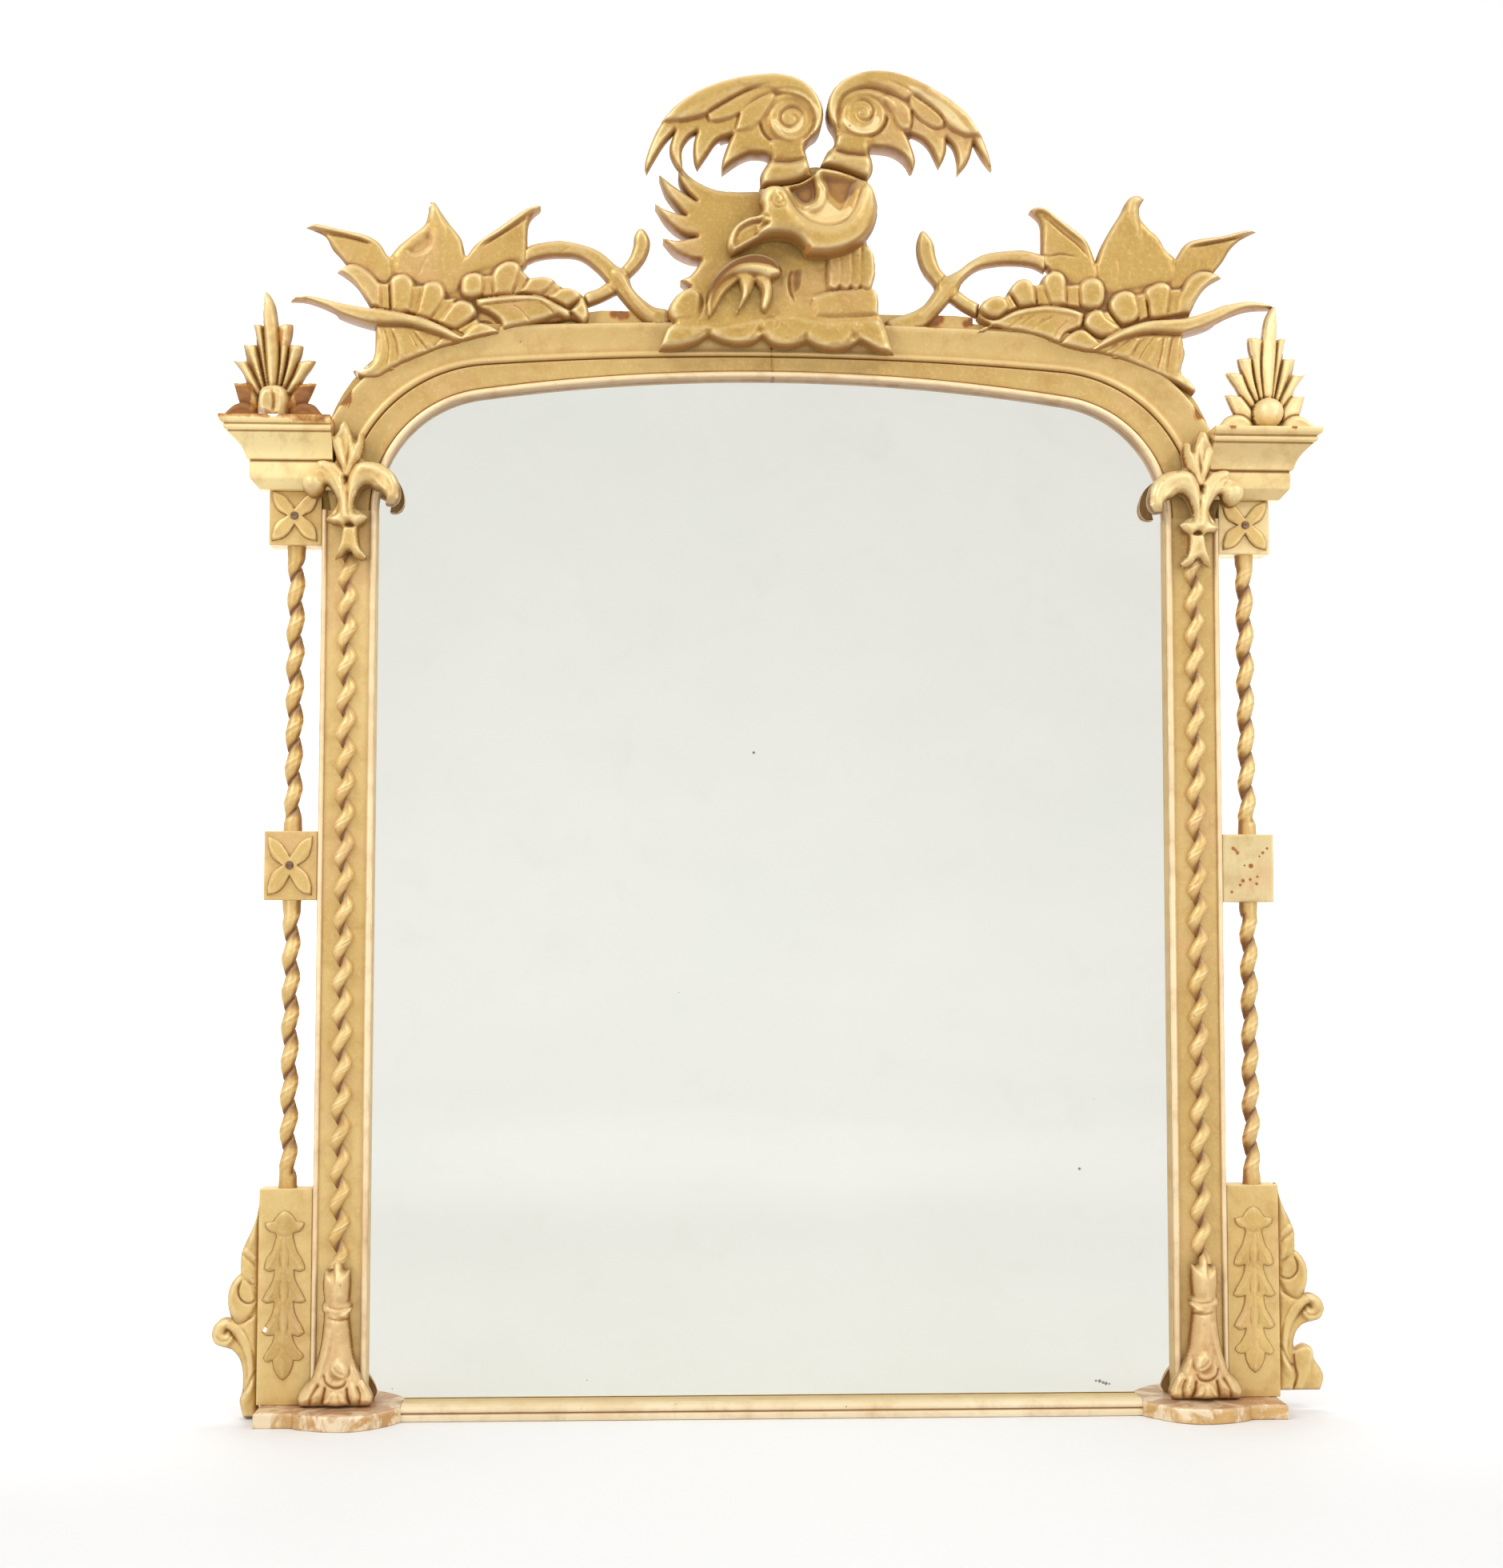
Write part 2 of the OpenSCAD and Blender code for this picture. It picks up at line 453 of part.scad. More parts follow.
head_pts = [[953, 235], [975, 231], [1000, 226], [1016, 217], [1024, 209], [1036, 209], [1060, 215], [1084, 224, 1], [1091, 237],
  [1096, 255], [1095, 275], [1087, 292], [1075, 305], [1055, 315], [1030, 320], [1008, 319, 1], [1002, 308], [990, 299],
  [972, 296], [955, 298], [940, 304], [926, 312], [913, 318, 1], [908, 308], [910, 295], [918, 282], [933, 272],
  [950, 266], [948, 250]];
module eagle_head() { color(gold_deep) translate([0, 0, dz]) difference() { carving(head_pts, -112, -72, 2, -92);
    carving(lwing_pts, -95, -44, 2, -84); carving(rwing_pts, -95, -44, 2, -84); } }

lwing_pts = [[807, 214, 1], [805, 205], [811, 183], [820, 162], [833, 142], [850, 126], [875, 111], [905, 100], [940, 93],
  [975, 92], [1000, 99], [1017, 113], [1027, 132], [1028, 148], [1022, 165], [1010, 175], [1006, 184], [1011, 205],
  [1015, 219, 1], [985, 229], [950, 233, 1], [950, 218], [957, 205], [962, 198], [958, 192], [945, 190], [935, 191],
  [922, 197], [902, 211, 1], [902, 200], [907, 184], [914, 167, 1], [896, 174], [884, 190], [871, 209, 1], [867, 198],
  [866, 180], [870, 163, 1], [860, 170], [852, 184], [853, 214, 1], [842, 202], [836, 184], [843, 162, 1], [830, 176], [818, 195]];
module eagle_left_wing() { color(gold) translate([0, 0, dz]) difference() { carving(lwing_pts, -94, -48, 2, -84);
    carving([[900, 80, 1], [900, 260, 1], [780, 260, 1], [780, 80, 1]], -62, -40, 1);
    carving([[930, 200, 1], [1040, 200, 1], [1040, 250, 1], [930, 250, 1]], -72, -40, 1); } }

rwing_pts = [[1025, 206, 1], [1034, 188], [1042, 180], [1044, 164], [1036, 150], [1033, 135], [1037, 118], [1048, 103], [1065, 93],
  [1085, 88], [1105, 88], [1130, 93], [1160, 105], [1185, 119], [1205, 137], [1220, 157], [1230, 175], [1237, 195],
  [1240, 210, 1], [1229, 196], [1217, 176, 1], [1211, 198], [1197, 216, 1], [1197, 200], [1192, 182], [1183, 172, 1],
  [1182, 190], [1174, 207, 1], [1169, 196], [1160, 180], [1148, 170], [1132, 164, 1], [1140, 184], [1144, 200],
  [1141, 212, 1], [1132, 197], [1118, 187], [1100, 183], [1087, 185], [1090, 200], [1090, 214], [1084, 224, 1],
  [1060, 215], [1040, 209]];
module eagle_right_wing() { color(gold) translate([0, 0, dz]) difference() { carving(rwing_pts, -94, -48, 2, -84);
    carving([[1140, 70, 1], [1260, 70, 1], [1260, 250, 1], [1140, 250, 1]], -62, -40, 1);
    carving([[1000, 196, 1], [1120, 196, 1], [1120, 250, 1], [1000, 250, 1]], -72, -40, 1); } }

claw_pts = [[885, 397, 1], [882, 372], [889, 350], [902, 334], [920, 321], [942, 316], [962, 320], [975, 331], [976, 342], [964, 347, 1],
  [966, 365], [957, 390, 1], [950, 382], [951, 362], [944, 350, 1], [938, 366], [918, 393, 1], [926, 366], [923, 348, 1],
  [906, 364], [893, 386]];
module eagle_claw() { color(gold) translate([0, 0, dz]) carving(claw_pts, -92, -72, 2, -86); }

lspray_pts = [[382, 282, 1], [396, 278], [412, 281], [432, 286], [452, 290], [468, 299], [484, 318, 1], [500, 303], [515, 287],
  [530, 277], [538, 252, 1], [549, 261], [562, 277], [574, 294], [581, 318, 1], [596, 298], [625, 281], [650, 262],
  [675, 256, 1], [662, 274], [658, 296], [655, 326], [652, 338, 1], [682, 344], [696, 357, 1], [716, 361], [732, 378],
  [736, 396], [728, 404, 1], [700, 400], [664, 406], [625, 419, 1], [590, 428], [545, 441], [500, 459], [462, 473],
  [445, 470], [439, 460, 1], [458, 452], [468, 434], [469, 407, 1], [440, 403], [400, 392], [361, 377, 1], [378, 371],
  [402, 373], [440, 383], [463, 386, 1], [452, 366], [438, 350], [420, 341, 1], [432, 331], [441, 334, 1], [424, 318], [408, 300]];
module left_spray() { color(gold) translate([0, 0, dz]) difference() { carving(lspray_pts, -64, -22, 2, -54);
    translate([0, 0, -dz]) front_of_arch();
    carving([[350, 240, 1], [484, 240, 1], [484, 330, 1], [470, 372, 1], [350, 420, 1]], -40, -20, 1); } }

rspray_pts = [[1290, 259, 1], [1304, 257], [1325, 273], [1350, 289], [1364, 304], [1371, 326, 1], [1380, 305], [1395, 277],
  [1410, 249], [1424, 242], [1433, 248, 1], [1427, 264], [1442, 283], [1457, 308], [1473, 322, 1], [1485, 302],
  [1512, 292], [1545, 286], [1576, 286, 1], [1552, 306], [1532, 330], [1518, 340, 1], [1531, 346, 1], [1510, 361], [1488, 392, 1],
  [1520, 384], [1550, 376], [1580, 376], [1601, 384, 1], [1560, 386], [1520, 400], [1480, 416, 1], [1482, 440], [1481, 463],
  [1497, 480], [1494, 492, 1], [1440, 464], [1380, 441], [1330, 431], [1280, 420], [1234, 410, 1], [1220, 400, 1], [1226, 384],
  [1236, 371], [1260, 369, 1], [1268, 352], [1292, 352], [1303, 356, 1], [1312, 338, 1], [1302, 318, 1], [1303, 285]];
module right_spray() { color(gold) translate([0, 0, dz]) difference() { carving(rspray_pts, -64, -22, 2, -54);
    translate([0, 0, -dz]) front_of_arch();
    carving([[1473, 240, 1], [1620, 240, 1], [1620, 420, 1], [1498, 400, 1], [1473, 330, 1]], -40, -20, 1); } }

ltend_pts = [[656, 303, 1], [690, 300], [724, 308], [752, 323], [776, 334], [788, 322], [792, 304], [791, 290], [800, 283],
  [811, 292], [812, 308], [804, 325], [787, 346, 1], [800, 369], [815, 380], [836, 386], [838, 402, 1], [822, 411], [800, 398],
  [780, 376], [770, 367, 1], [752, 374], [733, 381, 1], [729, 367], [758, 354, 1], [742, 336], [716, 323], [690, 319], [657, 325, 1]];
module left_tendrils() { color(gold) translate([0, 0, dz]) difference() { carving(ltend_pts, -52, -26, 2, -46);
    translate([0, 0, -dz]) front_of_arch();
    carving_room_l(); } }
module carving_room_l() { carving(lspray_pts, -66, -18, 2, -54); carving(body_pts, -74, -18, 2, -68); }

rtend_pts = [[1306, 316, 1], [1280, 311], [1245, 313], [1214, 326], [1190, 343], [1182, 344, 1], [1168, 322], [1163, 300], [1153, 287],
  [1146, 300], [1147, 320], [1156, 338], [1170, 358, 1], [1156, 380], [1132, 394], [1110, 398], [1112, 420, 1], [1150, 414],
  [1180, 392], [1196, 378, 1], [1222, 398, 1], [1228, 380, 1], [1202, 364, 1], [1216, 346], [1246, 333], [1280, 329], [1310, 336, 1]];
module right_tendrils() { color(gold) translate([0, 0, dz]) difference() { carving(rtend_pts, -52, -26, 2, -46);
    translate([0, 0, -dz]) front_of_arch();
    carving(rspray_pts, -66, -18, 2, -54); carving(body_pts, -74, -18, 2, -68); } }

// Cleats glued to the top edge of the arched head stand behind the carvings
// Each row is [centre, width, top, face]
cleats = [[-440, 60, 1560, -22], [455, 60, 1560, -22], [30, 90, 1640, -20]];
module crest_cleats() {
  color(pine) for (c = cleats) difference() {
    block(c[0] - c[1] / 2, c[0] + c[1] / 2, c[3], c[3] + 16, 1380 + dz, c[2] + dz);
    slab(-60, 10) edge_board(0);
  }
}

// ---------- wall fixings ----------

// Brass keyhole plate let into the back of each stile
module hanger_plate() {
  color(brass) difference() {
    block(-tx - 10, -tx + 10, -3, 0, 1070, 1120);
    translate([-tx, 1, 1088]) rotate([90, 0, 0]) cylinder(d = hang_head_d, h = 6);
    translate([-tx, 1, 1104]) rotate([90, 0, 0]) cylinder(d = hang_hole_d, h = 6);
    block(-tx - hang_hole_d / 2, -tx + hang_hole_d / 2, -5, 1, 1088, 1104);
    for (z = [1074.5, 1116]) translate([-tx, 1, z]) rotate([90, 0, 0]) {
      cylinder(d = 3.4, h = 6, $fn = 28);
      cylinder(d = 6.6, h = 2.2, $fn = 28);
    }
  }
}
module hanger_plates() { side(-1) hanger_plate(); side(1) hanger_plate(); }
module hanger_screw(z) {
  translate([-tx, 0, z]) rotate([90, 0, 0]) {
    translate([0, 0, 0.1]) cylinder(d = 6, h = 1, $fn = 28);
    translate([0, 0, 1.1 - e]) cylinder(d = 2.96, h = 12, $fn = 24);
  }
}
module hanger_screws() { color(steel) for (s = [-1, 1]) side(s) { hanger_screw(1074.5); hanger_screw(1116); } }

left_stile();
right_stile();
bottom_rail();
left_arch_head();
right_arch_head();
arch_cove_moulding();
arch_fascia();
arch_sight_bead();
left_sight_bead();
right_sight_bead();
left_outer_bead();
right_outer_bead();
mirror_glass();
glazing_blocks();
left_backboard();
centre_backboard();
right_backboard();
back_battens();
backboard_screws();
left_twist();
right_twist();
left_capital();
right_capital();
left_twist_foot();
right_twist_foot();
left_upper_block();
right_upper_block();
left_middle_block();
right_middle_block();
left_plinth();
right_plinth();
left_upper_rod();
right_upper_rod();
left_lower_rod();
right_lower_rod();
rosettes();
rosette_screws();
left_husk_drop();
right_husk_drop();
left_cornice();
right_cornice();
left_finial();
right_finial();
left_bracket();
right_bracket();
left_shelf();
right_shelf();
base_moulding();
eagle_body();
eagle_head();
eagle_left_wing();
eagle_right_wing();
eagle_claw();
left_spray();
right_spray();
left_tendrils();
right_tendrils();
crest_cleats();
hanger_plates();
hanger_screws();
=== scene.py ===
import math

import bpy
import bmesh
import numpy as np
from mathutils import Vector, Matrix, geometry


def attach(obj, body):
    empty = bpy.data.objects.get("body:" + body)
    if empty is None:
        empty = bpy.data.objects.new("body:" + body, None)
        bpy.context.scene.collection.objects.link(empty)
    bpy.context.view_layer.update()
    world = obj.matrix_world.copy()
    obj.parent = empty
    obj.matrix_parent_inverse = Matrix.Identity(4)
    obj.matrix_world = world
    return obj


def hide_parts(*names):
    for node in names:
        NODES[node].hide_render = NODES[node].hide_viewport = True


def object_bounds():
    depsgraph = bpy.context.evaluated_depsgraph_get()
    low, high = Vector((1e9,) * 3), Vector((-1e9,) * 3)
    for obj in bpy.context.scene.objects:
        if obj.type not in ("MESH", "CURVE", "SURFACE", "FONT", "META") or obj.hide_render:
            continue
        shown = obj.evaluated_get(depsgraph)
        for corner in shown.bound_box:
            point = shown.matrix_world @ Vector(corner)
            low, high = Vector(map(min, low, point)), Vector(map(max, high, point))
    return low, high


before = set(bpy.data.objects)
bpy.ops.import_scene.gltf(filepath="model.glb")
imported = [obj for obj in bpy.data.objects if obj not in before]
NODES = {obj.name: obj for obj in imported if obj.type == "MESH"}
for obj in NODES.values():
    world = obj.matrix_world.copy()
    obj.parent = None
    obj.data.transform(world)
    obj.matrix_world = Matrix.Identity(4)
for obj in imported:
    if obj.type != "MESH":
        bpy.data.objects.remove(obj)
CAD_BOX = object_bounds()
MM = 0.001
PIECES = []

# --------------------------------------------------------------------------
# main sizes, in millimetres: x to the right, z up, h = distance out from the wall
HW, STILE, TX, RX, BX, PX = 536.0, 609.0, 574.0, 645.0, 610.5, 679.5
SPRING, CROWN = 1205.0, 1393.0
FACE = 41.0            # stile face
GRID = 1.7             # spacing of the carved surfaces' points

# --------------------------------------------------------------------------
# the carver's drawing grid: u right, v down, seen from a fixed eye point
EYE = (-184.0, -3154.0, 632.0)
TURN, TIP, DRAW_F = math.radians(-2.82), math.radians(3.79), 2900.0


def at(u, v, h):
    a, c = (u - 939.5) / DRAW_F, (980.0 - v) / DRAW_F
    b1 = math.cos(TIP) - c * math.sin(TIP)
    c1 = math.sin(TIP) + c * math.cos(TIP)
    dx = a * math.cos(TURN) - b1 * math.sin(TURN)
    dy = a * math.sin(TURN) + b1 * math.cos(TURN)
    t = (-h - EYE[1]) / dy
    return (EYE[0] + t * dx, EYE[2] + t * c1)


def spline(P, closed=True, step=1.6):
    """Catmull-Rom style curve through points; a third value of 1 marks a sharp point."""
    N = len(P)
    out = []
    rng = range(N if closed else N - 1)
    for i in rng:
        a, b = np.array(P[i][:2], float), np.array(P[(i + 1) % N][:2], float)
        p = np.array(P[(i - 1) % N][:2], float) if closed or i > 0 else a
        q = np.array(P[(i + 2) % N][:2], float) if closed or i < N - 2 else b
        sa = len(P[i]) > 2
        sb = len(P[(i + 1) % N]) > 2
        L = float(np.linalg.norm(b - a))
        if L < 1e-6:
            continue
        ta = (b - a) if sa or (not closed and i == 0) else (b - p) / max(np.linalg.norm(b - p), 1e-6) * L
        tb = (b - a) if sb or (not closed and i == N - 2) else (q - a) / max(np.linalg.norm(q - a), 1e-6) * L
        m = max(1, int(round(L / step)))
        for k in range(m):
            t = k / m
            out.append((2*t**3 - 3*t**2 + 1) * a + (t**3 - 2*t**2 + t) * ta + (3*t**2 - 2*t**3) * b + (t**3 - t**2) * tb)
    if not closed:
        out.append(np.array(P[-1][:2], float))
    return np.array(out)


def laid(P, h, closed=True, step=1.6):
    return spline([tuple(at(p[0], p[1], h)) + tuple(p[2:]) for p in P], closed, step)


def resample(C, step):
    """Even spacing along an open polyline."""
    seg = np.linalg.norm(np.diff(C, axis=0), axis=1)
    s = np.concatenate([[0], np.cumsum(seg)])
    n = max(2, int(round(s[-1] / step)) + 1)
    t = np.linspace(0, s[-1], n)
    return np.stack([np.interp(t, s, C[:, 0]), np.interp(t, s, C[:, 1])], 1)


def blur(A, sigma):
    r = max(1, int(math.ceil(sigma * 2.6)))
    k = np.exp(-0.5 * (np.arange(-r, r + 1) / sigma) ** 2)
    k /= k.sum()
    B = np.pad(A, r, mode="edge")
    out = np.zeros_like(B)
    for i, w in enumerate(k):
        out += w * np.roll(B, i - r, axis=0)
    B = out
    out = np.zeros_like(B)
    for i, w in enumerate(k):
        out += w * np.roll(B, i - r, axis=1)
    return out[r:-r, r:-r]


def noise_map(shape, cell, seed, octaves=3):
    rng = np.random.default_rng(seed)
    out = np.zeros(shape)
    amp = 1.0
    for _ in range(octaves):
        n0, n1 = int(shape[0] / cell) + 3, int(shape[1] / cell) + 3
        g = rng.uniform(-1, 1, (n0, n1))
        y, x = np.arange(shape[0]) / cell, np.arange(shape[1]) / cell
        y0, x0 = y.astype(int), x.astype(int)
        fy, fx = (y - y0)[:, None], (x - x0)[None, :]
        fy, fx = fy * fy * (3 - 2 * fy), fx * fx * (3 - 2 * fx)
        a = g[np.ix_(y0, x0)] * (1 - fx) + g[np.ix_(y0, x0 + 1)] * fx
        b = g[np.ix_(y0 + 1, x0)] * (1 - fx) + g[np.ix_(y0 + 1, x0 + 1)] * fx
        out += amp * (a * (1 - fy) + b * fy)
        amp *= 0.5
        cell = max(1.5, cell * 0.5)
    return out


def dome(d, R):
    t = np.clip(d / R, 0, 1)
    return np.sqrt(np.clip(1 - (1 - t) ** 2, 0, 1))


def smooth(t):
    t = np.clip(t, 0, 1)
    return t * t * (3 - 2 * t)


# --------------------------------------------------------------------------
class Relief:
    """A carved relief: heights over an outline, on an upright plane."""

    def __init__(s, outline, edge=50.0, top=60.0, R=8.0, res=0.9, draw_h=None, seed=1):
        s.out = np.array(outline)
        s.res = res
        s.h = draw_h
        s.lo = s.out.min(0) - 6
        hi = s.out.max(0) + 6
        s.nx, s.nz = int((hi[0] - s.lo[0]) / res) + 2, int((hi[1] - s.lo[1]) / res) + 2
        s.seed = seed
        s.H = np.full((s.nz, s.nx), edge)
        s.mask, s.D = s.area(s.out, max(R, 14.0))
        s.H = np.where(s.mask, edge + (top - edge) * dome(s.D, R), edge)

    def win(s, C, pad):
        i0 = max(0, int((C[:, 0].min() - pad - s.lo[0]) / s.res))
        i1 = min(s.nx, int((C[:, 0].max() + pad - s.lo[0]) / s.res) + 2)
        j0 = max(0, int((C[:, 1].min() - pad - s.lo[1]) / s.res))
        j1 = min(s.nz, int((C[:, 1].max() + pad - s.lo[1]) / s.res) + 2)
        return i0, max(i1, i0 + 1), j0, max(j1, j0 + 1)

    def dist(s, C, R, closed=False, along=False):
        """Distance to a polyline up to R, and how far along it (0 to 1) the nearest point is."""
        D = np.full((s.nz, s.nx), R, float)
        A = np.zeros((s.nz, s.nx)) if along else None
        pts = np.vstack([C, C[:1]]) if closed else C
        seg = np.linalg.norm(np.diff(pts, axis=0), axis=1)
        cum = np.concatenate([[0], np.cumsum(seg)])
        for k in range(len(pts) - 1):
            a, b = pts[k], pts[k + 1]
            L2 = float(((b - a) ** 2).sum())
            i0, i1, j0, j1 = s.win(np.array([a, b]), R)
            X = s.lo[0] + np.arange(i0, i1)[None, :] * s.res
            Z = s.lo[1] + np.arange(j0, j1)[:, None] * s.res
            if L2 < 1e-9:
                continue
            t = np.clip(((X - a[0]) * (b[0] - a[0]) + (Z - a[1]) * (b[1] - a[1])) / L2, 0, 1)
            d = np.hypot(X - a[0] - t * (b[0] - a[0]), Z - a[1] - t * (b[1] - a[1]))
            sub = D[j0:j1, i0:i1]
            m = d < sub
            sub[m] = d[m]
            if along:
                A[j0:j1, i0:i1][m] = ((cum[k] + t * seg[k]) / cum[-1])[m]
        return (D, A) if along else D

    def inside(s, C):
        T = np.zeros((s.nz, s.nx + 1), np.uint8)
        pts = np.vstack([C, C[:1]])
        for k in range(len(pts) - 1):
            (x0, z0), (x1, z1) = pts[k], pts[k + 1]
            if z0 == z1:
                continue
            if z0 > z1:
                x0, z0, x1, z1 = x1, z1, x0, z0
            j0 = max(0, int(math.ceil((z0 - s.lo[1]) / s.res)))
            j1 = min(s.nz - 1, int(math.ceil((z1 - s.lo[1]) / s.res)) - 1)
            if j1 < j0:
                continue
            j = np.arange(j0, j1 + 1)
            z = s.lo[1] + j * s.res
            x = x0 + (x1 - x0) * (z - z0) / (z1 - z0)
            i = np.clip(np.ceil((x - s.lo[0]) / s.res).astype(int), 0, s.nx)
            np.bitwise_xor.at(T, (j, i), 1)
        return np.bitwise_xor.accumulate(T, axis=1)[:, :s.nx].astype(bool)

    def area(s, C, R):
        return s.inside(C), s.dist(C, R, closed=True)

    def curve(s, P, closed=False):
        return laid(P, s.h, closed, 1.6) if s.h is not None else spline(P, closed, 1.6)

    # raise a pad with rounded edges: absolute height
    def pad(s, P, top, edge=None, R=6.0, tilt=None, noise=0.0):
        C = s.curve(P, True)
        m, d = s.area(C, R)
        e = top - R if edge is None else edge
        h = e + (top - e) * dome(d, R)
        if tilt is not None:
            X = s.lo[0] + np.arange(s.nx)[None, :] * s.res
            Z = s.lo[1] + np.arange(s.nz)[:, None] * s.res
            c = C.mean(0)
            h = h + tilt[0] * (X - c[0]) + tilt[1] * (Z - c[1])
        if noise:
            s.seed += 1
            h = h + noise * noise_map(s.H.shape, 9 / s.res, s.seed)
        s.H = np.where(m, np.maximum(s.H, h), s.H)
        return m

    # lift the ground gently inside an outline
    def swell(s, P, dh, R=16.0):
        C = s.curve(P, True)
        m, d = s.area(C, R)
        s.H = np.where(m, s.H + dh * smooth(d / R), s.H)

    # darken (above 0) or brighten (below 0) the finished surface inside an outline
    def tint(s, P, dc, R=5.0):
        C = s.curve(P, True)
        m, d = s.area(C, R)
        s.cav = np.where(m, s.cav + dc * smooth(np.clip(d / R, 0, 1)), s.cav)

    # cut down to a level with a soft edge
    def hollow(s, P, level, R=4.0, soft=1.0):
        C = s.curve(P, True)
        m, d = s.area(C, R)
        w = smooth(d / R) ** soft
        h = s.H * (1 - w) + np.minimum(level, s.H) * w
        s.H = np.where(m, h, s.H)

    def groove(s, P, w=2.0, depth=2.0, ends=(0.15, 0.15), pw=1.3):
        C = s.curve(P)
        D, A = s.dist(C, w, along=True)
        t = np.clip(1 - D / w, 0, 1) ** pw
        f = smooth(A / max(ends[0], 1e-3)) * smooth((1 - A) / max(ends[1], 1e-3))
        s.H = s.H - depth * t * f

    def ridge(s, P, w=5.0, height=2.5, ends=(0.15, 0.15)):
        C = s.curve(P)
        D, A = s.dist(C, w, along=True)
        t = np.clip(1 - (D / w) ** 2, 0, 1)
        f = smooth(A / max(ends[0], 1e-3)) * smooth((1 - A) / max(ends[1], 1e-3))
        s.H = s.H + height * t * f * np.where(s.mask, 1, 0)

    # a leaf: a plate with a rib, ridged (up > 0) or guttered (up < 0), veins at intervals
    def leaf(s, P, rib, base, up=5.0, R=4.0, veins=0, vdepth=1.0, power=1.0, edge=None):
        C = s.curve(P, True)
        K = s.curve(rib)
        m = s.inside(C)
        d = s.dist(C, 60.0, closed=True)
        r, A = s.dist(K, 60.0, along=True)
        t = np.clip(r / np.maximum(r + d, 1e-3), 0, 1)
        e = base - R * 0.8 if edge is None else edge
        h = e + (base - e) * dome(d, R)
        h = h + (up * (1 - t) ** power if up >= 0 else -up * t ** power * dome(d, R))
        if veins:
            L = np.linalg.norm(np.diff(K, axis=0), axis=1).sum()
            ph = A * veins - t * 1.1
            v = np.abs((ph % 1.0) - 0.5) * 2
            h = h - vdepth * np.clip((v - 0.55) / 0.45, 0, 1) ** 1.5 * smooth(t * 3) * smooth(d / 3.0)
        s.H = np.where(m, np.maximum(s.H, h), s.H)

    def boss(s, c, r, top, edge, hole=0.0):
        x, z = at(c[0], c[1], s.h) if s.h is not None else c
        X = s.lo[0] + np.arange(s.nx)[None, :] * s.res
        Z = s.lo[1] + np.arange(s.nz)[:, None] * s.res
        d = np.hypot(X - x, Z - z)
        h = edge + (top - edge) * np.sqrt(np.clip(1 - (d / r) ** 2, 0, 1))
        if hole:
            h = h - hole * np.clip(1 - d / (r * 0.35), 0, 1) ** 0.6
        s.H = np.where(d < r, np.maximum(s.H, h), s.H)

    def finish(s, rough=0.25, soft=0.8):
        s.seed += 7
        s.H = s.H + rough * noise_map(s.H.shape, 7 / s.res, s.seed, 3)
        m = s.mask.astype(float)
        # carry the edge heights outwards, so the rim samples cleanly
        H, w = s.H * m, m.copy()
        for _ in range(4):
            Hs, ws = np.zeros_like(H), np.zeros_like(w)
            for dj in (-1, 0, 1):
                for di in (-1, 0, 1):
                    Hs += np.roll(np.roll(H, dj, 0), di, 1)
                    ws += np.roll(np.roll(w, dj, 0), di, 1)
            fill = (w == 0) & (ws > 0)
            H[fill] = Hs[fill] / ws[fill]
            w[fill] = 1
        H = np.where(w > 0, H, s.H.min())
        ww = np.maximum(blur(w, soft / s.res), 1e-3)
        s.H = blur(H * w, soft / s.res) / ww
        b = blur(s.H * w, 3.2 / s.res) / np.maximum(blur(w, 3.2 / s.res), 1e-3)
        b2 = blur(s.H * w, 8.0 / s.res) / np.maximum(blur(w, 8.0 / s.res), 1e-3)
        s.cav = np.clip((b - s.H) / 1.8, -1, 1) * 0.65 + np.clip((b2 - s.H) / 5.0, -1, 1) * 0.35

    def sample(s, F, P):
        x = np.clip((P[:, 0] - s.lo[0]) / s.res, 0, s.nx - 1.001)
        z = np.clip((P[:, 1] - s.lo[1]) / s.res, 0, s.nz - 1.001)
        i, j = x.astype(int), z.astype(int)
        fx, fz = x - i, z - j
        return (F[j, i] * (1 - fx) * (1 - fz) + F[j, i + 1] * fx * (1 - fz)
                + F[j + 1, i] * (1 - fx) * fz + F[j + 1, i + 1] * fx * fz)


def ring_points(out, step):
    C = np.vstack([out, out[:1]])
    seg = np.linalg.norm(np.diff(C, axis=0), axis=1)
    keep = [out[0]]
    acc = 0.0
    for k in range(1, len(out)):
        acc += seg[k - 1]
        a = out[k] - out[k - 1]
        b = out[(k + 1) % len(out)] - out[k]
        la, lb = np.linalg.norm(a), np.linalg.norm(b)
        turn = 1.0
        if la > 1e-6 and lb > 1e-6:
            turn = float(np.dot(a, b) / (la * lb))
        if acc >= step or (turn < 0.85 and acc > 0.35):
            keep.append(out[k])
            acc = 0.0
    if np.linalg.norm(keep[-1] - keep[0]) < 0.4 * step:
        keep.pop()
    return np.array(keep)


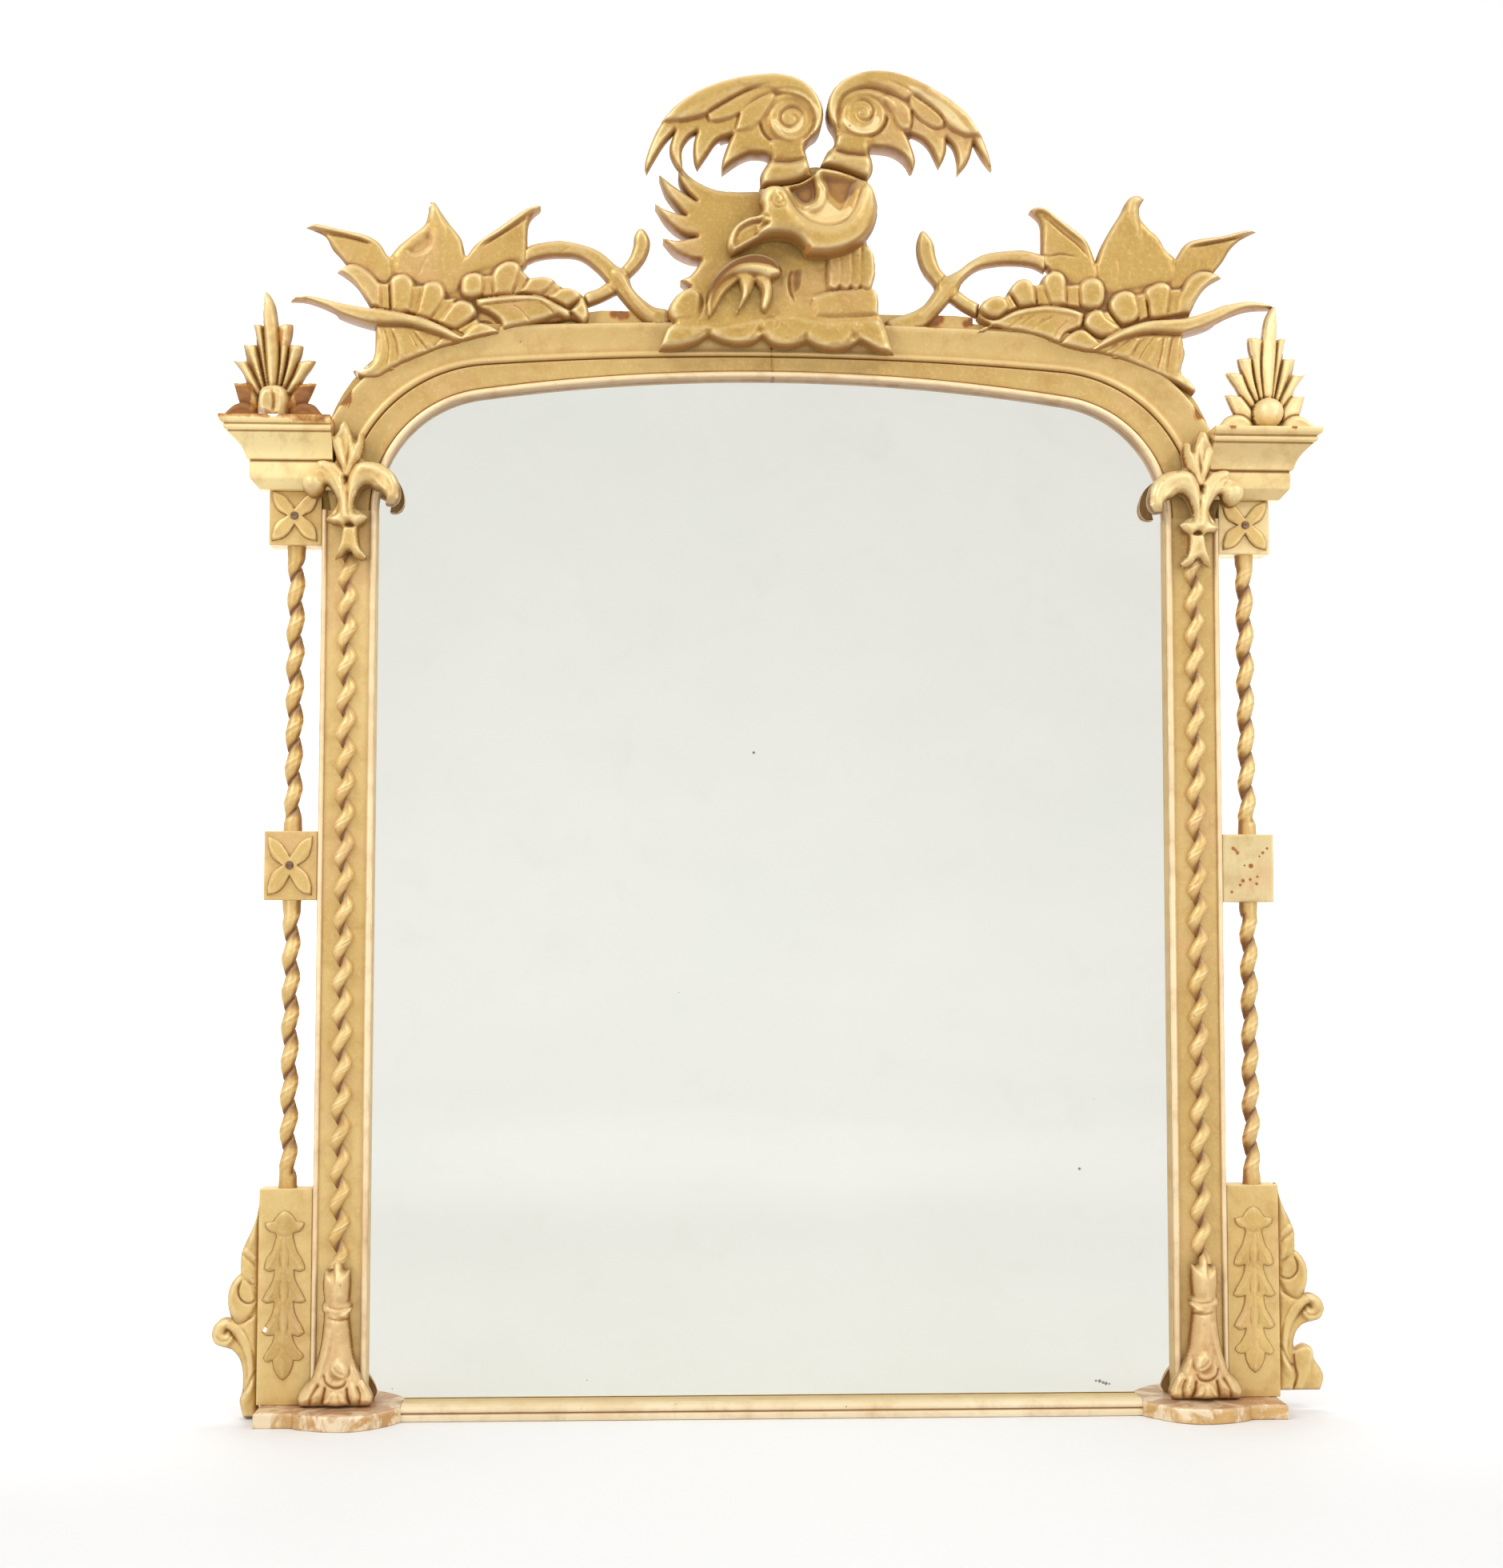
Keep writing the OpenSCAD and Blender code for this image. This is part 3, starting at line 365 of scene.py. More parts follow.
def relief_object(name, r, back, grid=GRID, back_of=None, mats=None, flip=False, shift=(0, 0), bare=None, white=None):
    """Turns a Relief into a closed mesh with a flat or stepped back."""
    ring = ring_points(r.out, grid * 0.95)
    n = len(ring)
    gx = np.arange(r.lo[0], r.lo[0] + r.nx * r.res, grid)
    gz = np.arange(r.lo[1], r.lo[1] + r.nz * r.res, grid * 0.866)
    X = gx[None, :] + ((np.arange(len(gz)) % 2) * grid / 2)[:, None]
    Z = np.repeat(gz[:, None], len(gx), 1)
    P = np.stack([X.ravel(), Z.ravel()], 1)
    m = r.sample(r.mask.astype(float), P) > 0.99
    d = r.sample(r.D, P)
    P = P[m & (d > grid * 0.55)]
    allp = np.vstack([ring, P])
    res = geometry.delaunay_2d_cdt([Vector(p) for p in allp], [], [list(range(n))], 1, 1e-5)
    V2 = np.array([tuple(v) for v in res[0]])
    F = [tuple(f) for f in res[2]]
    origin = res[3]
    ring_idx = [None] * n
    for k, src in enumerate(origin):
        for q in src:
            if q < n and ring_idx[q] is None:
                ring_idx[q] = k
    H = r.sample(r.H, V2)
    cav = r.sample(r.cav, V2)
    verts = [(x, -h, z) for (x, z), h in zip(V2, H)]
    nv = len(verts)
    # back: its own coarse triangulation over the same rim
    g2 = 11.0
    gx = np.arange(r.lo[0], r.lo[0] + r.nx * r.res, g2)
    gz = np.arange(r.lo[1], r.lo[1] + r.nz * r.res, g2)
    Q = np.stack([a.ravel() for a in np.meshgrid(gx, gz)], 1)
    mq = (r.sample(r.mask.astype(float), Q) > 0.99) & (r.sample(r.D, Q) > 3.0)
    extra = [Q[mq]]
    if back_of is not None:
        for line in back_of[1]:
            mm = (r.sample(r.mask.astype(float), line) > 0.99) & (r.sample(r.D, line) > 1.0)
            extra.append(line[mm])
    rim = np.array([V2[i] for i in ring_idx])
    allb = np.vstack([rim] + extra)
    rb = geometry.delaunay_2d_cdt([Vector(p) for p in allb], [], [list(range(n))], 1, 1e-5)
    VB = np.array([tuple(v) for v in rb[0]])
    yb = np.full(len(VB), -back) if back_of is None else -back_of[0](VB)
    rim_b = [None] * n
    for k, src in enumerate(rb[3]):
        for q in src:
            if q < n and rim_b[q] is None:
                rim_b[q] = k
    # the rim of the back never comes in front of the carved edge
    yb = np.array(yb, float)
    for q in range(n):
        if rim_b[q] is not None and ring_idx[q] is not None:
            front = verts[ring_idx[q]][1]
            yb[rim_b[q]] = max(yb[rim_b[q]], front + 1.0)
    verts += [(x, y, z) for (x, z), y in zip(VB, yb)]
    faces = list(F)
    faces += [tuple(nv + i for i in reversed(f)) for f in rb[2]]
    for q in range(n):
        a, b = ring_idx[q], ring_idx[(q + 1) % n]
        c, d2 = rim_b[(q + 1) % n], rim_b[q]
        if None in (a, b, c, d2) or a == b:
            continue
        faces.append((a, b, nv + c, nv + d2))
    cavs = np.concatenate([cav, np.full(len(VB), 0.25)])
    V = np.array(verts)
    V[:, 0] += shift[0]
    V[:, 2] += shift[1]
    if flip:
        V[:, 0] *= -1
    at_ = {"cav": cavs}
    if bare is not None:
        at_["bare"] = bare(V)
    if white is not None:
        at_["white"] = white(V)
    return mesh_object(name, V, faces, at_, mats, sharp=48, normals=True)


def mesh_object(name, V, faces, attrs=None, mats=None, sharp=40, normals=False, smooth_shade=True):
    me = bpy.data.meshes.new(name)
    me.from_pydata([tuple(float(c) * MM for c in v) for v in V], [], [tuple(int(i) for i in f) for f in faces])
    me.validate(verbose=False)
    for k, vals in (attrs or {}).items():
        a = me.attributes.new(k, "FLOAT", "POINT")
        arr = np.array(vals, np.float32)
        if len(arr) == len(me.vertices):
            a.data.foreach_set("value", arr)
    if normals:
        bm = bmesh.new()
        bm.from_mesh(me)
        bmesh.ops.recalc_face_normals(bm, faces=bm.faces)
        bm.to_mesh(me)
        bm.free()
    if smooth_shade:
        me.polygons.foreach_set("use_smooth", np.ones(len(me.polygons), bool))
        me.set_sharp_from_angle(angle=math.radians(sharp))
    me.update()
    o = bpy.data.objects.new(name, me)
    bpy.context.scene.collection.objects.link(o)
    if mats is not None:
        me.materials.append(mats)
    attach(o, "root")
    PIECES.append(o)
    return o


# --------------------------------------------------------------------------
# arched edges, from the glass outwards
def arch_curve(a, r, zs, zc, base=None, m=26, n=70):
    c, k = a - r, zc - r
    z1 = (k * k - c * c - zs * zs) / (2 * (k - zs))
    R = zc - z1
    w = math.atan2(c, zs - z1)
    pts = []
    for i in range(m):
        t = (math.pi / 2 - w) * i / m
        pts.append((-c - r * math.cos(t), zs + r * math.sin(t)))
    for i in range(n + 1):
        t = -w + 2 * w * i / n
        pts.append((R * math.sin(t), z1 + R * math.cos(t)))
    for i in range(m - 1, -1, -1):
        t = (math.pi / 2 - w) * i / m
        pts.append((c + r * math.cos(t), zs + r * math.sin(t)))
    if base is not None:
        pts = [(-a, base)] + pts + [(a, base)]
    return np.array(pts)


E_SIGHT, E_BEAD, E_FASCIA, E_COVE, E_BOARD = (536, 160, 1205, 1393), (545, 169, 1205, 1402), (578, 200, 1207, 1422), \
    (631, 255, 1205, 1469), (613, 203, 1262, 1481)


def arch_height(e, x):
    """Height of an arched edge over x."""
    C = arch_curve(*e)
    return np.interp(x, C[:, 0], C[:, 1], left=-1e3, right=-1e3)


SEAT = [(-268.0, 1480.5), (-237.0, 1485.4), (245.0, 1485.4), (273.5, 1483.2)]


def board_height(x):
    """Top of the head board, with the straight seat in the middle."""
    q = np.interp(x, [p[0] for p in SEAT], [p[1] for p in SEAT])
    h = arch_height(E_BOARD, x)
    return np.where((x >= -268.9) & (x <= 274.4), np.maximum(q, h), h)


def crest_back(P):
    h = np.full(len(P), 21.0)
    h = np.where(P[:, 1] < board_height(P[:, 0]) + 0.8, 33.0, h)
    h = np.where(P[:, 1] < arch_height(E_COVE, P[:, 0]) + 0.8, 48.5, h)
    return h


def crest_lines():
    out = []
    for e in (E_COVE, E_BOARD):
        C = resample(arch_curve(*e), 5.0)
        for dz in (0.3, 1.4):
            out.append(C + np.array([0, dz]))
    for q in (0.3, 1.4):
        out.append(resample(np.array([(-268.0 - q, 1468.0)] + [(x + (q if x > 270 else 0) - (q if x < -260 else 0), z + q) for x, z in SEAT] + [(273.5 + q, 1468.0)]), 4.0))
    return out


CREST_BACK = (crest_back, crest_lines())


# --------------------------------------------------------------------------
# materials
def lin(r, g, b):
    f = lambda c: (c / 255 / 12.92) if c / 255 <= 0.04045 else ((c / 255 + 0.055) / 1.055) ** 2.4
    return (f(r), f(g), f(b), 1.0)


class Mat:
    def __init__(s, name):
        s.m = bpy.data.materials.new(name)
        s.m.use_nodes = True
        s.t = s.m.node_tree
        s.t.nodes.clear()
        s.out = s.t.nodes.new("ShaderNodeOutputMaterial")
        s.b = s.t.nodes.new("ShaderNodeBsdfPrincipled")
        s.t.links.new(s.b.outputs[0], s.out.inputs[0])
        s.co = s.t.nodes.new("ShaderNodeTexCoord").outputs["Object"]

    def node(s, kind, **kw):
        n = s.t.nodes.new(kind)
        for k, v in kw.items():
            setattr(n, k, v)
        return n

    def put(s, sock, v):
        if hasattr(v, "is_output") or isinstance(v, bpy.types.NodeSocket):
            s.t.links.new(v, sock)
        else:
            sock.default_value = v

    def noise(s, scale, detail=4.0, rough=0.55, dist=0.0, vec=None, out=0):
        n = s.node("ShaderNodeTexNoise")
        s.put(n.inputs["Vector"], s.co if vec is None else vec)
        n.inputs["Scale"].default_value = scale
        n.inputs["Detail"].default_value = detail
        n.inputs["Roughness"].default_value = rough
        n.inputs["Distortion"].default_value = dist
        return n.outputs[out]

    def voronoi(s, scale, feature="F1", vec=None, out="Distance", rand=1.0):
        n = s.node("ShaderNodeTexVoronoi", feature=feature)
        s.put(n.inputs["Vector"], s.co if vec is None else vec)
        n.inputs["Scale"].default_value = scale
        n.inputs["Randomness"].default_value = rand
        return n.outputs[out]

    def mapping(s, scale=(1, 1, 1), loc=(0, 0, 0), rot=(0, 0, 0), vec=None):
        n = s.node("ShaderNodeMapping")
        s.put(n.inputs["Vector"], s.co if vec is None else vec)
        n.inputs["Scale"].default_value = scale
        n.inputs["Location"].default_value = loc
        n.inputs["Rotation"].default_value = rot
        return n.outputs[0]

    def ramp(s, v, stops, interp="LINEAR"):
        """stops: (position, value or colour)"""
        n = s.node("ShaderNodeValToRGB")
        cr = n.color_ramp
        cr.interpolation = interp
        while len(cr.elements) < len(stops):
            cr.elements.new(0.5)
        for e, (p, c) in zip(cr.elements, stops):
            e.position = p
            e.color = c if isinstance(c, tuple) else (c, c, c, 1)
        s.put(n.inputs[0], v)
        return n.outputs[0]

    def mix(s, f, a, b, blend="MIX"):
        n = s.node("ShaderNodeMix", data_type="RGBA", blend_type=blend)
        s.put(n.inputs[0], f)
        s.put(n.inputs[6], a)
        s.put(n.inputs[7], b)
        return n.outputs[2]

    def math(s, op, a, b=0.0, clamp=False):
        n = s.node("ShaderNodeMath", operation=op, use_clamp=clamp)
        s.put(n.inputs[0], a)
        s.put(n.inputs[1], b)
        return n.outputs[0]

    def attr(s, name):
        n = s.node("ShaderNodeAttribute", attribute_name=name, attribute_type="GEOMETRY")
        return n.outputs["Fac"]

    def bump(s, h, strength=0.4, dist=0.0006, normal=None):
        n = s.node("ShaderNodeBump")
        n.inputs["Strength"].default_value = strength
        n.inputs["Distance"].default_value = dist
        s.put(n.inputs["Height"], h)
        if normal is not None:
            s.put(n.inputs["Normal"], normal)
        return n.outputs[0]


G_PALE = lin(240, 216, 160)
G_DEEP, G_GRIME_AND_SHADE, G_BOLE, G_WOOD = lin(166, 116, 50), lin(110, 65, 19), lin(150, 90, 50), lin(166, 132, 90)
G_PINK, G_ORANGE = lin(210, 166, 118), lin(196, 134, 60)
G_UNDERSIDE_SHADE = lin(140, 92, 44)
GESSO = lin(238, 234, 226)


def gilt(name, mid_col, light_col, under=0.3, wear=0.0, grain=0.0, tone=0.0, seed=0.0, cav=1.0, places=(), top=None, mottle=None):
    """Old water gilding over gesso: wear 0..1 rubs through to the bole and chips the gesso, grain adds wood grain
    below.
    """
    m = Mat(name)
    P = m.mapping(loc=(seed, seed * 0.7, -seed * 1.3))
    big = m.noise(4.0, 5.0, 0.55, 0.4, P)
    mid = m.noise(34.0, 6.0, 0.6, 0.3, P)
    fine = m.noise(220.0, 4.0, 0.6, 0.0, P)
    speck = m.noise(900.0, 2.0, 0.5, 0.0, P)
    base = m.mix(m.ramp(big, [(0.32 - tone, 0.0), (0.70 - tone, 1.0)]), mid_col, light_col)
    # faint strokes of the brush, a warmer patch here and there
    pink = m.noise(7.0, 4.0, 0.6, 0.5, m.mapping(loc=(4 + seed, 7, 1)))
    base = m.mix(m.ramp(pink, [(0.56, 0.0), (0.72, 0.6)]), base, G_PINK)
    base = m.mix(m.ramp(mid, [(0.48, 0.0), (0.78, 0.45)]), base, G_DEEP)
    base = m.mix(m.ramp(fine, [(0.52, 0.0), (0.80, 0.30)]), base, G_PALE)
    c = m.attr("cav")
    cn = m.math("ADD", c, m.math("MULTIPLY", m.math("SUBTRACT", mid, 0.5), 0.22))
    # recesses keep the deeper gold and old dust, and take painted shade; places tinted darker take painted shade and
    # painted reflection
    base = m.mix(m.ramp(cn, [(0.10, 0.0), (0.50 / cav, 0.75)]), base, G_DEEP)
    base = m.mix(m.ramp(cn, [(0.36, 0.0), (0.92 / cav, 0.9)]), base, G_GRIME_AND_SHADE)
    # raised parts are rubbed paler and take a painted highlight; places tinted brighter become painted highlights
    up = m.math("MULTIPLY", cn, -1.0)
    base = m.mix(m.ramp(up, [(0.14, 0.0), (0.66, 0.42), (1.0, 0.85)]), base, G_PALE)
    # painted shade and light: faces turned down are painted darker as shade, faces turned up are painted paler as light
    # from above; where a top colour is given, they take that colour, the top's own tone
    geo = m.node("ShaderNodeNewGeometry")
    sep = m.node("ShaderNodeSeparateXYZ")
    m.put(sep.inputs[0], geo.outputs["Normal"])
    base = m.mix(m.ramp(m.math("MULTIPLY", sep.outputs["Z"], -1.0), [(0.08, 0.0), (0.85, under)]), base, G_UNDERSIDE_SHADE)
    base = m.mix(m.ramp(sep.outputs["Z"], [(0.10, 0.0), (0.75, 0.42 if top is None else 0.8)]), base, G_PALE if top is None else top)
    if mottle is not None:
        # patches where the gold is gone and the cream ground shows, in uneven runs
        patch = m.noise(24.0, 7.0, 0.68, 0.7, m.mapping(loc=(seed, 3, 8)))
        base = m.mix(m.ramp(patch, [(0.47, 0.0), (0.56, 0.85)]), base, mottle)
    # small rubs through to the bole, and a few chips in the gesso
    rub = m.ramp(m.math("ADD", m.math("MULTIPLY", up, 0.07), m.noise(70.0, 7.0, 0.7, 0.4, P)),
                 [(0.735 - 0.10 * wear, 0.0), (0.80 - 0.10 * wear, 0.7)])
    base = m.mix(rub, base, G_BOLE)
    chip = m.ramp(m.math("ADD", m.math("MULTIPLY", up, 0.05), m.noise(105.0, 5.0, 0.65, 0.0, m.mapping(loc=(3 + seed, 1, 2)))),
                  [(0.775 - 0.06 * wear, 0.0), (0.80 - 0.06 * wear, 0.9)])
    base = m.mix(chip, base, GESSO)
    # dark fly spots and pin holes
    spots = m.ramp(m.voronoi(46.0, vec=P), [(0.035, 1.0), (0.06, 0.0)])
    spots = m.math("MULTIPLY", spots, m.ramp(m.noise(17.0, 2.0, 0.5, 0.0, m.mapping(loc=(9, 4, seed))), [(0.55, 0.0), (0.63, 0.7)]))
    base = m.mix(spots, base, G_GRIME_AND_SHADE)
    # worn patches painted on the points: first the bole shows, then the wood
    bare = m.math("ADD", m.attr("bare"), m.math("MULTIPLY", m.math("SUBTRACT", m.noise(55.0, 7.0, 0.72, 0.6, P), 0.5), 1.1))
    for x, y, z, rad in places:
        dn = m.node("ShaderNodeVectorMath", operation="DISTANCE")
        m.put(dn.inputs[0], m.co)
        dn.inputs[1].default_value = (x * MM, y * MM, z * MM)
        near = m.math("SUBTRACT", 1.25, m.math("DIVIDE", dn.outputs["Value"], rad * MM))
        bare = m.math("MAXIMUM", bare, m.math("ADD", near, m.math("MULTIPLY", m.math("SUBTRACT", mid, 0.5), 0.8)))
    thin = m.ramp(bare, [(0.30, 0.0), (0.50, 0.85)])
    edge = m.ramp(bare, [(0.52, 0.0), (0.72, 1.0)])
    # the sides turned to the wall were never gilded
    behind = m.ramp(m.math("ADD", sep.outputs["Y"], m.math("MULTIPLY", m.math("SUBTRACT", mid, 0.5), 0.5)), [(0.60, 0.0), (0.78, 1.0)])
    wood = m.mix(m.ramp(m.noise(60.0, 6.0, 0.65, 0.4, m.mapping(scale=(1.0, 1.0, 0.25), loc=(seed, 2, 0))), [(0.35, 0.0), (0.65, 1.0)]), G_WOOD, lin(136, 102, 64))
    brown = m.mix(m.ramp(m.noise(70.0, 6.0, 0.65, 0.4, m.mapping(scale=(0.35, 1.0, 1.0), loc=(seed, 5, 0))), [(0.35, 0.0), (0.65, 1.0)]), lin(160, 108, 56), lin(132, 84, 42))
    base = m.mix(thin, base, G_ORANGE)
    base = m.mix(edge, base, brown)
    base = m.mix(behind, base, wood)
    # bare gesso
    white = m.attr("white")
    wedge = m.ramp(m.math("ADD", white, m.math("MULTIPLY", m.math("SUBTRACT", m.noise(130.0, 5.0, 0.7, 0.3, P), 0.5), 0.9)),
                   [(0.46, 0.0), (0.54, 1.0)])
    base = m.mix(wedge, base, GESSO)
    m.put(m.b.inputs["Base Color"], base)
    dull = m.math("MAXIMUM", m.math("MAXIMUM", edge, wedge), behind)
    metal = m.math("MULTIPLY", m.math("SUBTRACT", 1.0, dull), 0.38)
    metal = m.math("MULTIPLY", metal, m.ramp(cn, [(0.1, 1.0), (0.6, 0.2)]))
    m.put(m.b.inputs["Metallic"], metal)
    rg = m.ramp(m.math("ADD", m.math("MULTIPLY", mid, 0.6), m.math("MULTIPLY", fine, 0.4)), [(0.3, 0.33), (0.7, 0.52)])
    rg = m.mix(dull, rg, (0.8, 0.8, 0.8, 1))
    m.put(m.b.inputs["Roughness"], rg)
    m.b.inputs["Specular IOR Level"].default_value = 0.5
    h = m.math("ADD", m.math("MULTIPLY", mid, 0.9), m.math("MULTIPLY", fine, 0.25))
    h = m.math("ADD", h, m.math("MULTIPLY", speck, 0.05))
    h = m.math("SUBTRACT", h, m.math("MULTIPLY", m.math("MAXIMUM", rub, m.math("MAXIMUM", chip, edge)), 0.5))
    n1 = m.bump(h, 0.4, 0.0008)
    if grain:
        g = m.noise(160.0, 3.0, 0.6, 0.6, m.mapping(scale=(1.0, 1.0, 0.05), loc=(seed, 0, 0)))
        n1 = m.bump(g, grain, 0.0005, n1)
    m.put(m.b.inputs["Normal"], n1)
    return m.m


def mirror_material():
    m = Mat("silvered_plate")
    big = m.noise(2.2, 4.0, 0.6, 0.4)
    cloud = m.noise(14.0, 6.0, 0.65, 0.6)
    col = m.mix(m.ramp(big, [(0.3, 0.0), (0.7, 1.0)]), lin(237, 238, 229), lin(242, 241, 234))
    col = m.mix(m.ramp(cloud, [(0.55, 0.0), (0.8, 0.18)]), col, lin(222, 220, 205))
    # foxing along the rebate and scattered pin spots
    spot = m.ramp(m.voronoi(26.0), [(0.012, 1.0), (0.03, 0.0)])
    spot = m.math("MULTIPLY", spot, m.ramp(m.noise(7.0, 2.0, 0.5, 0.0, m.mapping(loc=(1.3, 0, 2.1))), [(0.56, 0.0), (0.66, 0.8)]))
    col = m.mix(spot, col, lin(120, 104, 80))
    e = m.attr("edge")
    fox = m.ramp(m.math("ADD", m.math("MULTIPLY", e, 0.45), m.math("MULTIPLY", m.noise(60.0, 7.0, 0.75, 0.8), 0.7)), [(0.66, 0.0), (0.82, 0.7)])
    col = m.mix(fox, col, lin(168, 152, 122))
    for x, z, r in ((-27.0, 882.0, 2.2), (413.0, 322.0, 2.2), (433.0, 40.5, 1.8), (438.0, 40.0, 2.6), (442.5, 38.0, 2.2), (446.5, 36.8, 2.6), (451.0, 36.2, 1.6), (-134.0, 15.0, 2.0)):
        n = m.node("ShaderNodeVectorMath", operation="DISTANCE")
        m.put(n.inputs[0], m.co)
        n.inputs[1].default_value = (x * MM, -0.027, z * MM)
        col = m.mix(m.ramp(m.math("DIVIDE", n.outputs["Value"], r * MM * 2), [(0.3, 0.75), (0.55, 0.0)]), col, lin(70, 55, 40))
    m.put(m.b.inputs["Base Color"], col)
    m.b.inputs["Metallic"].default_value = 1.0
    m.put(m.b.inputs["Roughness"], m.ramp(m.math("MAXIMUM", m.math("MULTIPLY", cloud, 0.4), fox), [(0.0, 0.015), (0.5, 0.05), (1.0, 0.35)]))
    wob = m.noise(3.0, 2.0, 0.5, 0.2)
    m.put(m.b.inputs["Normal"], m.bump(m.math("ADD", wob, m.math("MULTIPLY", fox, 0.02)), 0.10, 0.0006))
    return m.m


def pine(name, along="x", dark=0.0, seed=0.0):
    m = Mat(name)
    sc = {"x": (0.06, 1.0, 1.0), "z": (1.0, 1.0, 0.06), "y": (1.0, 0.06, 1.0)}[along]
    P = m.mapping(scale=sc, loc=(seed, seed * 2.1, seed * 0.6))
    rings = m.noise(34.0, 3.0, 0.55, 2.2, P)
    band = m.math("FRACT", m.math("MULTIPLY", rings, 9.0))
    late = m.ramp(band, [(0.0, 0.0), (0.55, 0.25), (0.9, 1.0), (1.0, 0.1)])
    fibre = m.noise(620.0, 3.0, 0.6, 0.1, P)
    stain = m.noise(6.0, 5.0, 0.65, 0.5)
    a, b = lin(176 - 40 * dark, 132 - 34 * dark, 84 - 26 * dark), lin(126 - 30 * dark, 84 - 24 * dark, 46 - 14 * dark)
    col = m.mix(late, a, b)
    col = m.mix(m.ramp(fibre, [(0.35, 0.0), (0.7, 0.5)]), col, lin(104, 74, 46))
    col = m.mix(m.ramp(stain, [(0.42, 0.0), (0.75, 0.6)]), col, lin(86, 64, 44))
    knots = m.ramp(m.voronoi(2.6, vec=m.mapping(scale=tuple(0.35 if v < 1 else 1.0 for v in sc), loc=(seed, 1, 4))), [(0.03, 0.85), (0.055, 0.0)])
    col = m.mix(knots, col, lin(62, 38, 20))
    m.put(m.b.inputs["Base Color"], col)
    m.put(m.b.inputs["Roughness"], m.ramp(fibre, [(0.3, 0.62), (0.7, 0.86)]))
    saw = m.noise(210.0, 2.0, 0.5, 0.0, m.mapping(scale=tuple(1.0 if v < 1 else 0.12 for v in sc)))
    h = m.math("ADD", m.math("MULTIPLY", late, 0.4), m.math("ADD", m.math("MULTIPLY", fibre, 0.8), m.math("MULTIPLY", saw, 0.35)))
    m.put(m.b.inputs["Normal"], m.bump(h, 0.5, 0.0006))
    return m.m


def metal(name, a, b, rust, rough=(0.32, 0.6), amount=0.5):
    m = Mat(name)
    n1 = m.noise(120.0, 6.0, 0.6, 0.3)
    n2 = m.noise(700.0, 4.0, 0.6)
    scr = m.noise(900.0, 2.0, 0.5, 0.0, m.mapping(scale=(1.0, 1.0, 0.05)))
    col = m.mix(m.ramp(n1, [(0.35, 0.0), (0.7, 1.0)]), a, b)
    spots = m.ramp(m.math("ADD", m.math("MULTIPLY", n1, 0.6), m.math("MULTIPLY", n2, 0.4)), [(0.52, 0.0), (0.62, amount)])
    col = m.mix(spots, col, rust)
    m.put(m.b.inputs["Base Color"], col)
    m.put(m.b.inputs["Metallic"], m.math("SUBTRACT", 1.0, m.math("MULTIPLY", spots, 0.8)))
    m.put(m.b.inputs["Roughness"], m.ramp(m.math("ADD", m.math("MULTIPLY", spots, 0.5), m.math("MULTIPLY", n2, 0.5)), [(0.1, rough[0]), (0.7, rough[1])]))
    m.put(m.b.inputs["Normal"], m.bump(m.math("ADD", m.math("MULTIPLY", scr, 0.5), spots), 0.35, 0.0003))
    return m.m


# places on the top edge of the head rubbed to the brown ground
ARCH_WORN = [(-218.4, -32.0, 1480.6, 9.0), (-209.7, -32.0, 1479.6, 10.0), (-203.0, -32.0, 1479.6, 7.5), (213.8, -32.0, 1471.1, 10.0), (220.4, -32.0, 1475.7, 12.0), (227.1, -32.0, 1481.0, 10.5),
             (264.6, -32.0, 1474.1, 8.5), (270.2, -32.0, 1476.4, 8.5)]
GILT = gilt("old_gilding", lin(205, 170, 100), lin(219, 187, 120), 0.30, wear=0.25, seed=0.0, cav=0.85)
GILT_CREST = gilt("old_gilding_crest", lin(181, 145, 71), lin(198, 162, 90), 0.70, wear=0.2, seed=3.1, tone=0.04, cav=0.92)
GILT_FLAT = gilt("old_gilding_flat", lin(208, 174, 106), lin(221, 191, 127), 0.2, wear=0.3, grain=0.25, seed=7.7)
GILT_ARCH = gilt("old_gilding_arch", lin(199, 165, 99), lin(213, 182, 119), 0.2, wear=0.3, grain=0.25, seed=7.7,
                 places=ARCH_WORN)
GILT_TWIST = gilt("old_gilding_twist", lin(212, 175, 104), lin(238, 208, 146), 0.25, wear=0.65, seed=9.3, cav=1.05)
GILT_ROD = gilt("old_gilding_turned", lin(202, 164, 94), lin(230, 199, 134), 0.25, wear=0.7, seed=9.3, cav=1.05)
# where a rosette is lost, its glue has left dark crumbs along the two diagonals round the screw hole
LOST = [(624.2, -42, 753.6, 3.2), (629.9, -42, 747.8, 3.4), (627.4, -42, 751.2, 2.6), (670.6, -42, 753.8, 2.4), (664.8, -42, 747.9, 2.8), (660.0, -42, 743.0, 1.8), (648.0, -42, 729.9, 4.6),
        (639.5, -42, 730.6, 2.0), (637.1, -42, 709.8, 3.2), (647.0, -42, 711.6, 2.8), (656.7, -42, 715.4, 2.2), (655.7, -42, 705.8, 2.6), (633.2, -42, 704.0, 2.4), (621.5, -42, 694.6, 2.6)]
GILT_LOST = gilt("old_gilding_lost", lin(208, 184, 132), lin(222, 202, 152), 0.3, wear=0.45, seed=41.3, places=LOST)
GILT_FOOT = gilt("old_gilding_foot", lin(202, 160, 104), lin(220, 184, 132), 0.35, wear=0.62, seed=15.1, cav=1.0)
GILT_BRIGHT = gilt("old_gilding_bright", lin(240, 214, 148), lin(250, 229, 172), 0.08, wear=0.25, seed=5.9, cav=0.9)
GILT_PALE = gilt("old_gilding_pale", lin(232, 205, 162), lin(245, 224, 188), 0.4, wear=0.3, seed=12.3)
GILT_SHELF = gilt("old_gilding_shelf", lin(192, 146, 92), lin(222, 184, 122), 0.25, wear=0.95, seed=21.7, top=lin(196, 155, 124), mottle=lin(240, 222, 190))
GILT_SOFT = gilt("old_gilding_soft", lin(229, 202, 143), lin(241, 219, 166), 0.2, wear=0.35, seed=14.9)
